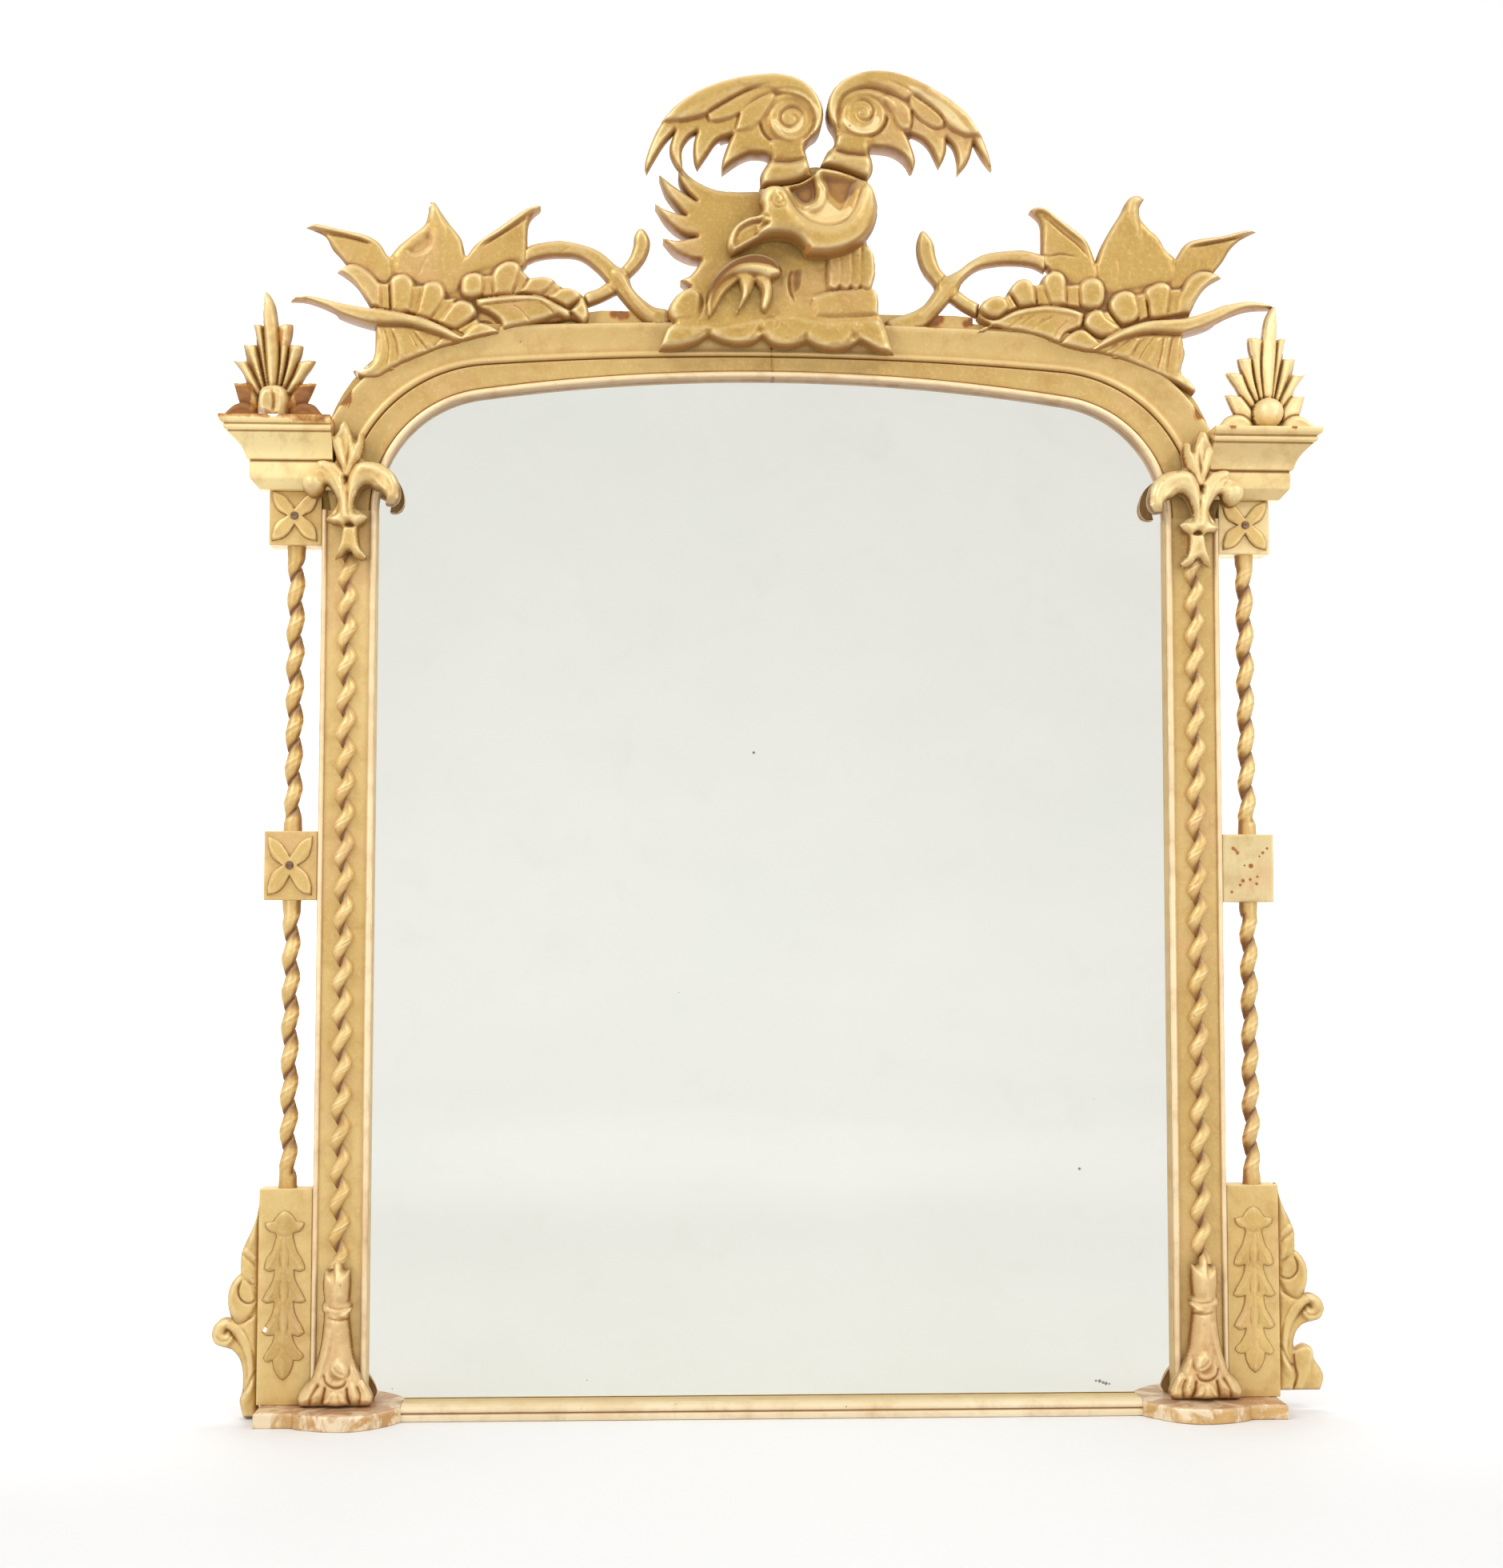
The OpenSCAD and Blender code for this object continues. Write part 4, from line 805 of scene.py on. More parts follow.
GILT_DUSK = gilt("old_gilding_dusk", lin(189, 154, 88), lin(202, 170, 106), 0.3, wear=0.35, seed=27.3)
GILT_BASE = gilt("old_gilding_base", lin(222, 200, 166), lin(240, 225, 198), 0.3, wear=0.6, seed=31.9)
MIRROR = mirror_material()
PINE_X, PINE_Z = pine("backboard_pine_across", "x", 0.3, 2.0), pine("backboard_pine", "z", 0.0, 5.0)
STEEL = metal("dark_screw_steel", lin(150, 124, 104), lin(112, 88, 70), lin(104, 64, 40), (0.34, 0.6), 0.8)
BRASS = metal("dull_brass", lin(196, 160, 92), lin(150, 116, 58), lin(92, 74, 44), (0.28, 0.55), 0.6)


def paint(node, mat):
    o = NODES[node]
    o.data.materials.clear()
    o.data.materials.append(mat)


# --------------------------------------------------------------------------
# plain joinery and mouldings
RNG = np.random.default_rng(5)
W_DIR = RNG.normal(size=(9, 3))
W_DIR /= np.linalg.norm(W_DIR, axis=1)[:, None]
W_PH = RNG.uniform(0, 6.28, 9)


def wob(P, scale=40.0, amp=0.2, k=0.0):
    """Slow hand-made unevenness, in mm, for points in mm."""
    s = 0.0
    for i in range(9):
        f = (0.6 + 0.35 * i) / scale
        s = s + np.sin(P @ W_DIR[i] * f * 6.28 + W_PH[i] + k) / (1 + 0.35 * i)
    return amp * s / 3.0


def grid_object(name, G, cav=None, closed=True, caps=True, mats=None, slot="gilt", sharp=40, bare=None, white=None, flip=False):
    """Rows of section points to a mesh. G is (stations, section points, 3) in mm."""
    n, m = G.shape[:2]
    V = G.reshape(-1, 3).copy()
    faces = []
    mm = m if closed else m - 1
    for i in range(n - 1):
        for j in range(mm):
            a, b = i * m + j, i * m + (j + 1) % m
            faces.append((a, b, b + m, a + m))
    if caps and closed:
        faces.append(tuple(range(m)))
        faces.append(tuple((n - 1) * m + j for j in reversed(range(m))))
    if flip:
        V[:, 0] *= -1
    at_ = {}
    if cav is not None:
        at_["cav"] = np.broadcast_to(cav, (n, m)).reshape(-1)
    if bare is not None:
        at_["bare"] = bare(V)
    if white is not None:
        at_["white"] = white(V)
    return mesh_object(name, V, faces, at_, mats or GILT, sharp, normals=True)


def eased_box(name, lo, hi, r=1.6, step=9.0, amp=0.18, mats=None, bare=None, white=None, k=0.0, wear=0.45):
    lo, hi = np.array(lo, float), np.array(hi, float)
    st = []
    for a in range(3):
        L = hi[a] - lo[a]
        rr = min(r, L * 0.4)
        q = max(1, int(round((L - 2 * rr) / step)))
        s = [0, 0.3 * rr, 0.62 * rr, rr] + [rr + (L - 2 * rr) * i / q for i in range(1, q)] + [L - rr, L - 0.62 * rr, L - 0.3 * rr, L]
        st.append(lo[a] + np.array(s))
    index, V, faces = {}, [], []

    def vid(p):
        key = tuple(round(float(c), 4) for c in p)
        if key not in index:
            index[key] = len(V)
            V.append(p)
        return index[key]

    for a in range(3):
        b, c = (a + 1) % 3, (a + 2) % 3
        for side, val in ((0, lo[a]), (1, hi[a])):
            for i in range(len(st[b]) - 1):
                for j in range(len(st[c]) - 1):
                    q = []
                    for (ii, jj) in ((i, j), (i + 1, j), (i + 1, j + 1), (i, j + 1)):
                        p = [0, 0, 0]
                        p[a], p[b], p[c] = val, st[b][ii], st[c][jj]
                        q.append(vid(p))
                    faces.append(tuple(q) if side else tuple(reversed(q)))
    V = np.array(V, float)
    rr = np.minimum(r, (hi - lo) * 0.4)
    inner = np.clip(V, lo + rr, hi - rr)
    d = V - inner
    L = np.linalg.norm(d / rr, axis=1)[:, None]
    N = d / np.maximum(np.linalg.norm(d, axis=1)[:, None], 1e-9)
    edge = ((np.abs(d) > 1e-6).sum(1) > 1).astype(float)
    near = np.sort(np.stack([np.minimum(V[:, a] - lo[a], hi[a] - V[:, a]) for a in range(3)], 1), axis=1)[:, 1]
    P = inner + d / np.maximum(L, 1e-9)
    # hollow edges a little here and there, as knocks
    knock = np.clip(wob(V, 30.0, 1.2, 2.0 + k) - 0.35, 0, 1) * edge
    P = P - N * (knock * 0.8)[:, None] - N * (np.abs(wob(V, 60.0, amp, k)))[:, None]
    # the edges are painted paler: worn edges with a painted highlight along them
    cav = -wear * np.exp(-near / 2.2) + 0.0 * edge
    at_ = {"cav": cav}
    if bare is not None:
        at_["bare"] = bare(P)
    if white is not None:
        at_["white"] = white(P)
    return mesh_object(name, P, faces, at_, mats or GILT_FLAT, 50, normals=True)


def blotches(*spots):
    """Point mask: each spot is (x, z, radius) or (x0, z0, x1, z1, feather) in mm."""
    def f(V):
        m = np.zeros(len(V))
        for s in spots:
            if len(s) == 3:
                d = np.hypot(V[:, 0] - s[0], V[:, 2] - s[1]) / s[2]
                m = np.maximum(m, np.clip(1.5 - d, 0, 1))
            else:
                x0, z0, x1, z1, w = s
                dx = np.maximum(np.maximum(x0 - V[:, 0], V[:, 0] - x1), 0)
                dz = np.maximum(np.maximum(z0 - V[:, 2], V[:, 2] - z1), 0)
                m = np.maximum(m, np.clip(1 - np.hypot(dx, dz) / w, 0, 1))
        return m
    return f


def stations(a, b, step):
    return np.linspace(a, b, max(2, int(round(abs(b - a) / step)) + 1))


# half-round beads along the stiles
def bead(name, x0, x1, h0, h1, side):
    r = (x1 - x0) / 2
    c = (x0 + x1) / 2
    t = np.linspace(0, math.pi, 13)
    sec = [(x0, h0)] + [(c - r * math.cos(a), max(h0 + 0.4, h1 - r + r * math.sin(a))) for a in t] + [(x1, h0)]
    zs = stations(20, SPRING, 5.0)
    G = np.zeros((len(zs), len(sec), 3))
    for i, z in enumerate(zs):
        for j, (x, h) in enumerate(sec):
            G[i, j] = (x, -h, z)
    w = wob(G.reshape(-1, 3), 50.0, 0.22, x0).reshape(G.shape[:2])
    G[:, 2:-2, 1] += np.abs(w[:, 2:-2])
    cav = np.array([0.6, 0.5] + [0.35 - 0.8 * math.sin(a) for a in t[1:-1]] + [0.5, 0.6])
    o = grid_object(name, G, cav, flip=side < 0)
    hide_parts(name)


for s, tag in ((-1, "left"), (1, "right")):
    bead(tag + "_sight_bead", 536, 545, 41, 47, s)
    bead(tag + "_outer_bead", 602, 609, 41, 46, s)


# arched mouldings: rows run round the head, from one edge to the next
def clipped(C, xlim, zmin, n):
    """The part of an arched curve inside |x| <= xlim and above zmin, evenly spaced."""
    C = np.vstack([[C[0, 0], zmin - 40], C, [C[-1, 0], zmin - 40]])
    C = resample(C, 1.0)
    ok = (np.abs(C[:, 0]) <= xlim + 1e-6) & (C[:, 1] >= zmin - 1e-6)
    i = np.where(ok)[0]
    C = C[i[0]:i[-1] + 1]
    if abs(C[0, 0]) < xlim - 1.01:
        C[0, 1], C[-1, 1] = zmin, zmin
    else:
        C[0, 0], C[-1, 0] = -xlim, xlim
    seg = np.linalg.norm(np.diff(C, axis=0), axis=1)
    s = np.concatenate([[0], np.cumsum(seg)])
    t = np.linspace(0, s[-1], n)
    return np.stack([np.interp(t, s, C[:, 0]), np.interp(t, s, C[:, 1])], 1)


def arch_strip(name, e0, e1, prof, back, xlim=2000.0, zmin=SPRING, n=520, joint=True, **kw):
    """prof: (fraction from e0 to e1, height, cav)"""
    a, b = np.array(e0, float), np.array(e1, float)
    rows = []
    for f, h, c in prof:
        e = a + (b - a) * f
        rows.append((clipped(arch_curve(*e), xlim, zmin, n), h, c))
    f0, f1 = prof[0][0], prof[-1][0]
    rows.append((rows[-1][0], back, 0.4))
    rows.append((rows[0][0], back, 0.4))
    G = np.zeros((n, len(rows), 3))
    cav = np.zeros((n, len(rows)))
    for j, (C, h, c) in enumerate(rows):
        G[:, j, 0], G[:, j, 2], G[:, j, 1] = C[:, 0], C[:, 1], -h
        cav[:, j] = c
    w = wob(G.reshape(-1, 3), 45.0, 0.25, e1[0]).reshape(G.shape[:2])
    G[:, :-2, 1] += np.abs(w[:, :-2])
    if joint:
        # the head is in two halves: a fine open joint at the crown
        d = np.abs(G[:, :, 0] + 4.0 + 0.05 * (G[:, :, 2] - 1430))
        cav = cav + 0.75 * np.clip(1 - d / 2.4, 0, 1)
        G[:, :-2, 1] += (0.7 * np.clip(1 - d / 2.2, 0, 1))[:, :-2]
    o = grid_object(name, G, cav, **kw)
    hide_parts(name)
    return o


# sight bead: small roll against the glass
prof = [(0.0, 28.5, 0.5), (0.01, 40.0, 0.25)] + [(0.5 - 0.49 * math.cos(t), 41.0 + 5.0 * math.sin(t) ** 0.8, 0.45 - 0.95 * math.sin(t))
        for t in np.linspace(0.12, math.pi - 0.12, 11)] + [(0.995, 39.0, 0.8)]
arch_strip("arch_sight_bead", E_SIGHT, E_BEAD, prof, 27.2)
# flat fascia with a shallow hollow and a quirk at either side
prof = [(0.0, 38.4, 0.9), (0.03, 39.6, 0.65), (0.07, 40.3, 0.2), (0.16, 40.4, 0.0), (0.34, 39.9, 0.05), (0.5, 39.7, 0.06), (0.66, 39.9, 0.03), (0.84, 40.5, -0.02),
        (0.93, 40.9, -0.2), (0.965, 40.4, 0.2), (1.0, 38.6, 0.9)]
arch_strip("arch_fascia", E_BEAD, E_FASCIA, prof, 32.2)
# the broad outer member: quirk, roll, long hollow and a rounded outer edge
prof = [(0.0, 38.5, 1.0), (0.02, 40.2, 0.75), (0.045, 42.4, 0.0), (0.075, 43.6, -0.45), (0.11, 43.9, -0.5), (0.145, 43.3, -0.2), (0.17, 42.4, 0.25),
        (0.2, 41.7, 0.4), (0.26, 41.3, 0.2), (0.36, 41.5, 0.08), (0.48, 42.3, 0.02), (0.6, 43.6, 0.0), (0.72, 45.2, -0.05), (0.8, 46.4, -0.15),
        (0.86, 47.2, -0.35), (0.905, 47.7, -0.5), (0.945, 47.5, -0.55), (0.975, 46.4, -0.45), (0.993, 44.4, -0.25), (1.0, 41.8, 0.0), (1.0, 37.0, 0.2)]
def patch(u0, v0, u1, v1, h, w):
    p, q = at(u0, v1, h), at(u1, v0, h)
    return (p[0], p[1], q[0], q[1], w)


COVE_BARE = blotches(patch(764, 389, 781, 394, 46, 7.0), patch(1161, 400, 1176, 406, 46, 8.0), patch(1207, 403, 1213, 407, 46, 6.0), patch(425, 478, 437, 505, 44, 7.0),
                     patch(1496, 487, 1509, 520, 44, 8.0), patch(1090, 392, 1100, 396, 46, 4.0), patch(820, 398, 828, 402, 46, 4.0))
arch_strip("arch_cove_moulding", E_FASCIA, E_COVE, prof, 32.2, xlim=609.0, bare=COVE_BARE)


# rods: one strand winding up, tapered plain ends
def twist_rod(name, x, h, z0, z1, node, pitch=46.0, R=2.3, r=10.5, hand=1.0, phase=0.0, half=False, end=24.0, out=12.8, flip=False, amp=0.3):
    nz = int((z1 - z0) / 1.7)
    na = 48
    zs = np.linspace(z0, z1, nz)
    ang = np.linspace(-math.pi, math.pi, na, endpoint=False)
    G = np.zeros((nz, na, 3))
    cav = np.zeros((nz, na))
    for i, z in enumerate(zs):
        ph = hand * 2 * math.pi * (z - z0) / pitch + phase
        # swelling plain ends
        e = min((z - z0) / end, (z1 - z) / end)
        k = 1.0 if half else float(smooth(np.array((e - 0.45) / 0.75)))
        rel = (ang - ph + math.pi) % (2 * math.pi) - math.pi
        Rk = R * (0.94 + 0.12 * math.sin(z * 0.031 + x))
        rr = Rk * np.cos(rel) + np.sqrt(np.maximum(r * r - (Rk * np.sin(rel)) ** 2, 1.0))
        g = np.exp(-((np.abs(rel) - math.pi) / 0.45) ** 2)
        # a shallow line parts the strand along its crest, and the crest is rubbed unevenly; the rubbed spots are also
        # painted highlights
        ply = np.exp(-(rel / 0.20) ** 2)
        rub = np.exp(-((np.abs(rel - 0.1) - 0.62) / 0.30) ** 2) * (0.55 + 0.45 * math.sin(z * 0.273 + 2.1 * x) + 0.3 * math.sin(z * 0.117 + x))
        rr = rr - 2.4 * g - 0.45 * ply
        plain = 12.0 + 0.6 * float(smooth(np.array(1 - e / 0.8)))
        rad = k * rr + (1 - k) * plain
        rad = np.minimum(rad, out)
        G[i, :, 0] = x + rad * np.sin(ang)
        G[i, :, 1] = -(h + rad * np.cos(ang))
        G[i, :, 2] = z
        if half:
            cross = np.exp(-((np.abs(rel) - math.pi) / 0.40) ** 2)
            ra = r * (1 - 0.30 * cross) + 0.4 * np.cos(rel) - 0.55 * ply
            G[i, :, 0] = x + R * math.sin(ph) + ra * np.sin(ang)
            G[i, :, 1] = -(h + 2.6 + 0.28 * R * math.cos(ph) + 0.95 * ra * np.cos(ang))
            g = cross
        # colour of the round: the crest painted paler, the crease and the far side painted darker as shade
        cav[i] = k * (0.10 - 0.42 * np.cos(rel) + (0.7 if half else 1.0) * g + 0.30 * ply - 0.85 * rub)
        if not half:
            # the side turned to the frame is painted darker brown: painted shade, and that side is less rubbed
            cav[i] += 0.75 * np.clip((1 if x < 0 else -1) * np.sin(ang) - 0.15, 0, 1)
    P = G.reshape(-1, 3)
    rad = np.stack([P[:, 0] - x, P[:, 1] + h], 1)
    L = np.maximum(np.linalg.norm(rad, axis=1), 1e-6)
    w = -np.abs(wob(P, 16.0, amp, x))
    P[:, 0] += rad[:, 0] / L * w
    P[:, 1] += rad[:, 1] / L * w
    G = P.reshape(G.shape)
    if half:
        G[:, :, 1] = np.minimum(G[:, :, 1], -(h - 0.2))
    o = grid_object(name, G, cav, sharp=70, flip=flip, mats=GILT_TWIST if half else GILT_ROD)
    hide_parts(node)
    return o


for s, tag, rx in ((-1, "left", 645.0), (1, "right", 649.0)):
    for part, z0, z1, ph in (("upper", 773, 1157, 0.6), ("lower", 301, 681, 2.1)):
        nm = tag + "_" + part + "_rod"
        twist_rod(nm, s * rx, 21.0, z0, z1, nm, phase=ph + s * 0.7, pitch=46.0)
    nm = tag + "_twist"
    twist_rod(nm, s * TX, FACE - 0.4, 198, 1153, nm, pitch=41.6 if s < 0 else 43.2, R=4.0, r=9.4, phase=1.2 * s, half=True, end=6.0, out=12.6, amp=0.3)


# pilaster blocks and plinths
for s, tag in ((-1, "left"), (1, "right")):
    x0, x1 = (STILE + 0.2, PX) if s > 0 else (-PX, -STILE - 0.2)
    o = eased_box(tag + "_upper_block", (x0, -42, 1157), (x1, 0, 1230), k=s)
    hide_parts(tag + "_upper_block")
    white = None
    if s > 0:
        white = blotches((671, 700, 1.3))
    o = eased_box(tag + "_middle_block", (x0, -42, 681), (x1, 0, 773), k=s + 0.5, white=white, step=4.0 if s > 0 else 9.0)
    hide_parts(tag + "_middle_block")
    o = eased_box(tag + "_plinth", (x0, -42, 20), (x1, 0, 301), k=s + 1.1)
    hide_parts(tag + "_plinth")


# moulded cornices: profile as projection and height above the underside
CORN = [(11, 0, 0.1), (12.2, 0.6, -0.3), (17, 6.2, -0.1), (21.4, 11.2, 0.0), (22.6, 12.8, -0.35), (23.3, 14.6, -0.2), (23.7, 24, 0.0), (23.5, 34, 0.15), (22.6, 36, 0.7),
        (22.3, 37.4, 0.9), (25.2, 38.2, 0.1), (27.4, 39.0, -0.5), (28.0, 41.0, -0.3), (28.6, 44, 0.0), (30.2, 48.5, 0.05), (33.4, 54.5, 0.1), (37.8, 60.2, 0.12),
        (42.8, 65.4, 0.1), (47.0, 69.2, 0.1), (48.4, 70.8, 0.55), (48.5, 72.1, 0.8), (50.6, 72.4, 0.1), (53.0, 73.7, -0.5), (54.1, 76, -0.6), (53.8, 78.5, -0.4),
        (52.3, 79.9, 0.4), (52.6, 80.9, 0.6), (55.4, 81.6, 0.1), (58.4, 83.9, -0.2), (59.5, 87, -0.1), (59.9, 90.6, -0.4), (59.3, 91.7, -0.5), (57.5, 92, -0.2)]


def cornice(tag, s, bare=None, white=None):
    z0 = 1230.0
    secs = []
    front = stations(-592.5, -609.0, 4.0)
    run = stations(-609.2, -679.5, 2.5)
    for x in front:
        secs.append([(x, -42 - p, z0 + h) for p, h, _ in CORN] + [(x, -48.3, z0 + 92), (x, -48.3, z0)])
    for x in run:
        t = (x + 609.2) / (-679.5 + 609.2)
        secs.append([(x - t * p, -42 - p, z0 + h) for p, h, _ in CORN] + [(x, -42, z0 + 92), (x, -42, z0)])
    for y in (-41.2, -40.4, -38.0):
        t = (y + 42) / 4.0
        secs.append([(-679.5 - p, -42 - p + t * (p + 4), z0 + h) for p, h, _ in CORN] + [(-679.5, y, z0 + 92), (-679.5, y, z0)])
    G = np.array(secs, float)
    m = G.shape[1]
    w = wob(G.reshape(-1, 3), 50.0, 0.3, s * 3.0).reshape(G.shape[:2])
    G[:, :-2, 1] += np.abs(w)[:, :-2]
    cav = np.array([c for _, _, c in CORN] + [0.0, 0.0])
    V = [G.reshape(-1, 3)]
    F = []
    n = len(secs)
    for i in range(n - 1):
        for j in range(m):
            a, b = i * m + j, i * m + (j + 1) % m
            F.append((a, b, b + m, a + m))
    F.append(tuple(range(m)))
    F.append(tuple((n - 1) * m + j for j in reversed(range(m))))
    cavs = [np.broadcast_to(cav, (n, m)).reshape(-1)]
    base = n * m
    # the core over the block, and the top slab's return to the wall
    up = [(k, c) for k, c in enumerate(CORN) if c[1] >= 80.5]
    slab = [(-679.5 - c[0], -38.2, z0 + c[1]) for _, c in up] + [(-679.5, -38.2, z0 + 92), (-679.5, -38.2, z0 + 80.6)]
    q = len(slab)
    two = np.array(slab + [(x, 0.0, z) for x, y, z in slab])
    V.append(two)
    for j in range(q):
        F.append((base + j, base + (j + 1) % q, base + q + (j + 1) % q, base + q + j))
    F.append(tuple(base + j for j in range(q)))
    F.append(tuple(base + q + j for j in reversed(range(q))))
    cavs.append(np.full(2 * q, -0.1))
    base += 2 * q
    x0, x1, y0, y1, za, zb = -679.5, -609.2, -42.0, 0.0, z0, z0 + 92.0
    V.append(np.array([(x, y, z) for z in (za, zb) for (x, y) in ((x0, y0), (x1, y0), (x1, y1), (x0, y1))]))
    for f in ((0, 1, 2, 3), (4, 7, 6, 5), (0, 4, 5, 1), (1, 5, 6, 2), (2, 6, 7, 3), (3, 7, 4, 0)):
        F.append(tuple(base + i for i in f))
    cavs.append(np.full(8, 0.0))
    V = np.vstack(V)
    if s > 0:
        V[:, 0] *= -1
    at_ = {"cav": np.concatenate(cavs)}
    if bare is not None:
        at_["bare"] = bare(V)
    if white is not None:
        at_["white"] = white(V)
    o = mesh_object(tag + "_cornice", V, F, at_, GILT, 38, normals=True)
    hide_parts(tag + "_cornice")


_cl = blotches((-745, 1318.5, -585, 1330, 4.0), (-640, 1313, -600, 1322, 4))
_px, _pz = at(341, 514, 92)
cornice("left", -1, lambda V: 0.62 * _cl(V), blotches((_px, _pz, 9.0), (_px + 3, _pz - 3, 7.5)))
cornice("right", 1, blotches((700, 1321, 4), (615, 1321, 5)))


# base shelf ends
def shelf_outline():
    w = 137.0
    pts = [(-675.5, 0.0), (-675.5, -92.0), (-626.0, -92.0)]
    for i in range(1, 29):
        t = i / 28
        a = -1 + 2 * t
        pts.append((-626.0 + w * t, -120 + 24 * a * a * (2.4 if t > 0.5 else 1.0)))
    pts += [(-489.0, 0.0)]
    return np.array(pts)


def offset_in(P, d):
    n = len(P)
    out = []
    area = 0.5 * sum(P[i][0] * P[(i + 1) % n][1] - P[(i + 1) % n][0] * P[i][1] for i in range(n))
    sg = 1 if area > 0 else -1
    for i in range(n):
        a, b, c = P[i - 1], P[i], P[(i + 1) % n]
        e1, e2 = b - a, c - b
        n1 = np.array([-e1[1], e1[0]]) / np.linalg.norm(e1)
        n2 = np.array([-e2[1], e2[0]]) / np.linalg.norm(e2)
        mn = n1 + n2
        mn /= max(np.linalg.norm(mn), 1e-6)
        k = 1 / max(np.dot(mn, n1), 0.5)
        out.append(b + sg * mn * d * k)
    return np.array(out)


def shelf(tag, s):
    P = shelf_outline()
    # even spacing, corners kept
    D = []
    for i in range(len(P)):
        a, b = P[i], P[(i + 1) % len(P)]
        L = np.linalg.norm(b - a)
        q = max(1, int(round(L / 5.0)))
        for k in range(q):
            D.append(a + (b - a) * k / q)
    D = np.array(D)
    prof = [(0.0, 1.6, 0.3), (0.5, 0.5, 0.0), (2.0, 0.0, -0.3), (5.0, 0.0, 0.0), (9.5, 0.35, 0.15), (13.0, 0.1, 0.0), (16.0, 0.0, -0.3), (18.2, 0.5, -0.5), (19.4, 1.5, -0.55), (20.0, 3.4, -0.3), (20.0, 7.0, 0.0)]
    V, cav = [], []
    for z, d, c in prof:
        Q = offset_in(D, d)
        flat = D[:, 1] > -1.0
        Q[flat, 1] = 0.0
        V.append(np.column_stack([Q, np.full(len(Q), z)]))
        cav.append(np.full(len(Q), c))
    n = len(D)
    F = []
    for i in range(len(prof) - 1):
        for j in range(n):
            F.append((i * n + j, i * n + (j + 1) % n, (i + 1) * n + (j + 1) % n, (i + 1) * n + j))
    top = V[-1][:, :2]
    gx = np.arange(-675, -489, 6.0)
    gy = np.arange(-120, 0, 6.0)
    Q = np.array([(x, y) for x in gx for y in gy])
    T = geometry.delaunay_2d_cdt([Vector(p) for p in top] + [Vector(p) for p in Q[inside_poly(Q, offset_in(top, 2.5))]], [], [list(range(n))], 1, 1e-5)
    base = len(prof) * n
    TV = np.array([tuple(v) for v in T[0]])
    V.append(np.column_stack([TV, np.full(len(TV), 20.0)]))
    cav.append(np.zeros(len(TV)))
    F += [tuple(base + i for i in f) for f in T[2]]
    F.append(tuple(range(n)))
    V = np.vstack(V)
    z = V[:, 2]
    edge = (z < 19.9) & (V[:, 1] < -3)
    V[edge, 1] += np.abs(wob(V[edge], 26.0, 0.7, s))
    V[:, 2] = np.where(z > 19.5, z - np.abs(wob(V, 40.0, 0.3, s + 2)), z)
    V[:, 2] = np.clip(V[:, 2], 0, 20)
    if s > 0:
        V[:, 0] *= -1
    me_cav = np.concatenate(cav)
    o = mesh_object(tag + "_shelf", V, F, {"cav": me_cav}, GILT, 50, normals=False)
    bm = bmesh.new()
    bm.from_mesh(o.data)
    bmesh.ops.remove_doubles(bm, verts=bm.verts, dist=0.00002)
    bmesh.ops.recalc_face_normals(bm, faces=bm.faces)
    bm.to_mesh(o.data)
    bm.free()
    o.data.set_sharp_from_angle(angle=math.radians(50))
    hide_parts(tag + "_shelf")


def inside_poly(Q, C):
    x, y = Q[:, 0], Q[:, 1]
    m = np.zeros(len(Q), bool)
    n = len(C)
    for i in range(n):
        (x0, y0), (x1, y1) = C[i], C[(i + 1) % n]
        if y0 == y1:
            continue
        c = (y0 > y) != (y1 > y)
        m ^= c & (x < (x1 - x0) * (y - y0) / (y1 - y0) + x0)
    return m


shelf("left", -1)
shelf("right", 1)

# base moulding between the shelf ends
BM = [(45.2, 0.0, 0.2), (58, 0.0, 0.2), (59.6, 0.8, -0.2), (60, 2.4, -0.4), (60, 7.4, -0.2), (59, 9.0, 0.3), (57.2, 10.0, 0.9), (57.6, 11.2, 0.6), (58.8, 12.4, -0.1), (59.1, 14.2, -0.45),
      (58.4, 16.6, -0.2), (56.4, 19.0, 0.0), (54.0, 20.6, 0.1), (51.0, 21.6, 0.0), (48.0, 22.0, -0.3), (45.2, 22.0, 0.1)]
xs = stations(-489.2, 489.2, 6.0)
G = np.zeros((len(xs), len(BM), 3))
for i, x in enumerate(xs):
    for j, (h, z, c) in enumerate(BM):
        G[i, j] = (x, -h, z)
w = wob(G.reshape(-1, 3), 60.0, 0.5, 4.0).reshape(G.shape[:2])
G[:, 1:-1, 1] += np.abs(w[:, 1:-1])
o = grid_object("base_moulding", G, np.array([b[2] for b in BM]))
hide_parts("base_moulding")


# --------------------------------------------------------------------------
# carvings
def on(x0, y0, s):
    """Turns measurements from an enlarged part of the drawing into drawing-grid points."""
    return lambda P: [(x0 + p[0] / s, y0 + p[1] / s) + tuple(p[2:]) for p in P]


def disc(c, r, n=20, squash=1.0):
    return [(c[0] + r * math.cos(2 * math.pi * k / n), c[1] + squash * r * math.sin(2 * math.pi * k / n)) for k in range(n)]


def rim(r, R=3.5, floor=None):
    f = r.H.min() if floor is None else floor
    r.H = np.where(r.mask, f + (r.H - f) * dome(r.D, R), r.H)


def slope(r, x0, x1, dz0, dz1, axis=0):
    """Adds a height that runs from dz0 at x0 to dz1 at x1."""
    if axis == 0:
        X = r.lo[0] + np.arange(r.nx)[None, :] * r.res
    else:
        X = r.lo[1] + np.arange(r.nz)[:, None] * r.res
    t = np.clip((X - x0) / (x1 - x0), 0, 1)
    r.H = r.H + (dz0 + (dz1 - dz0) * t)


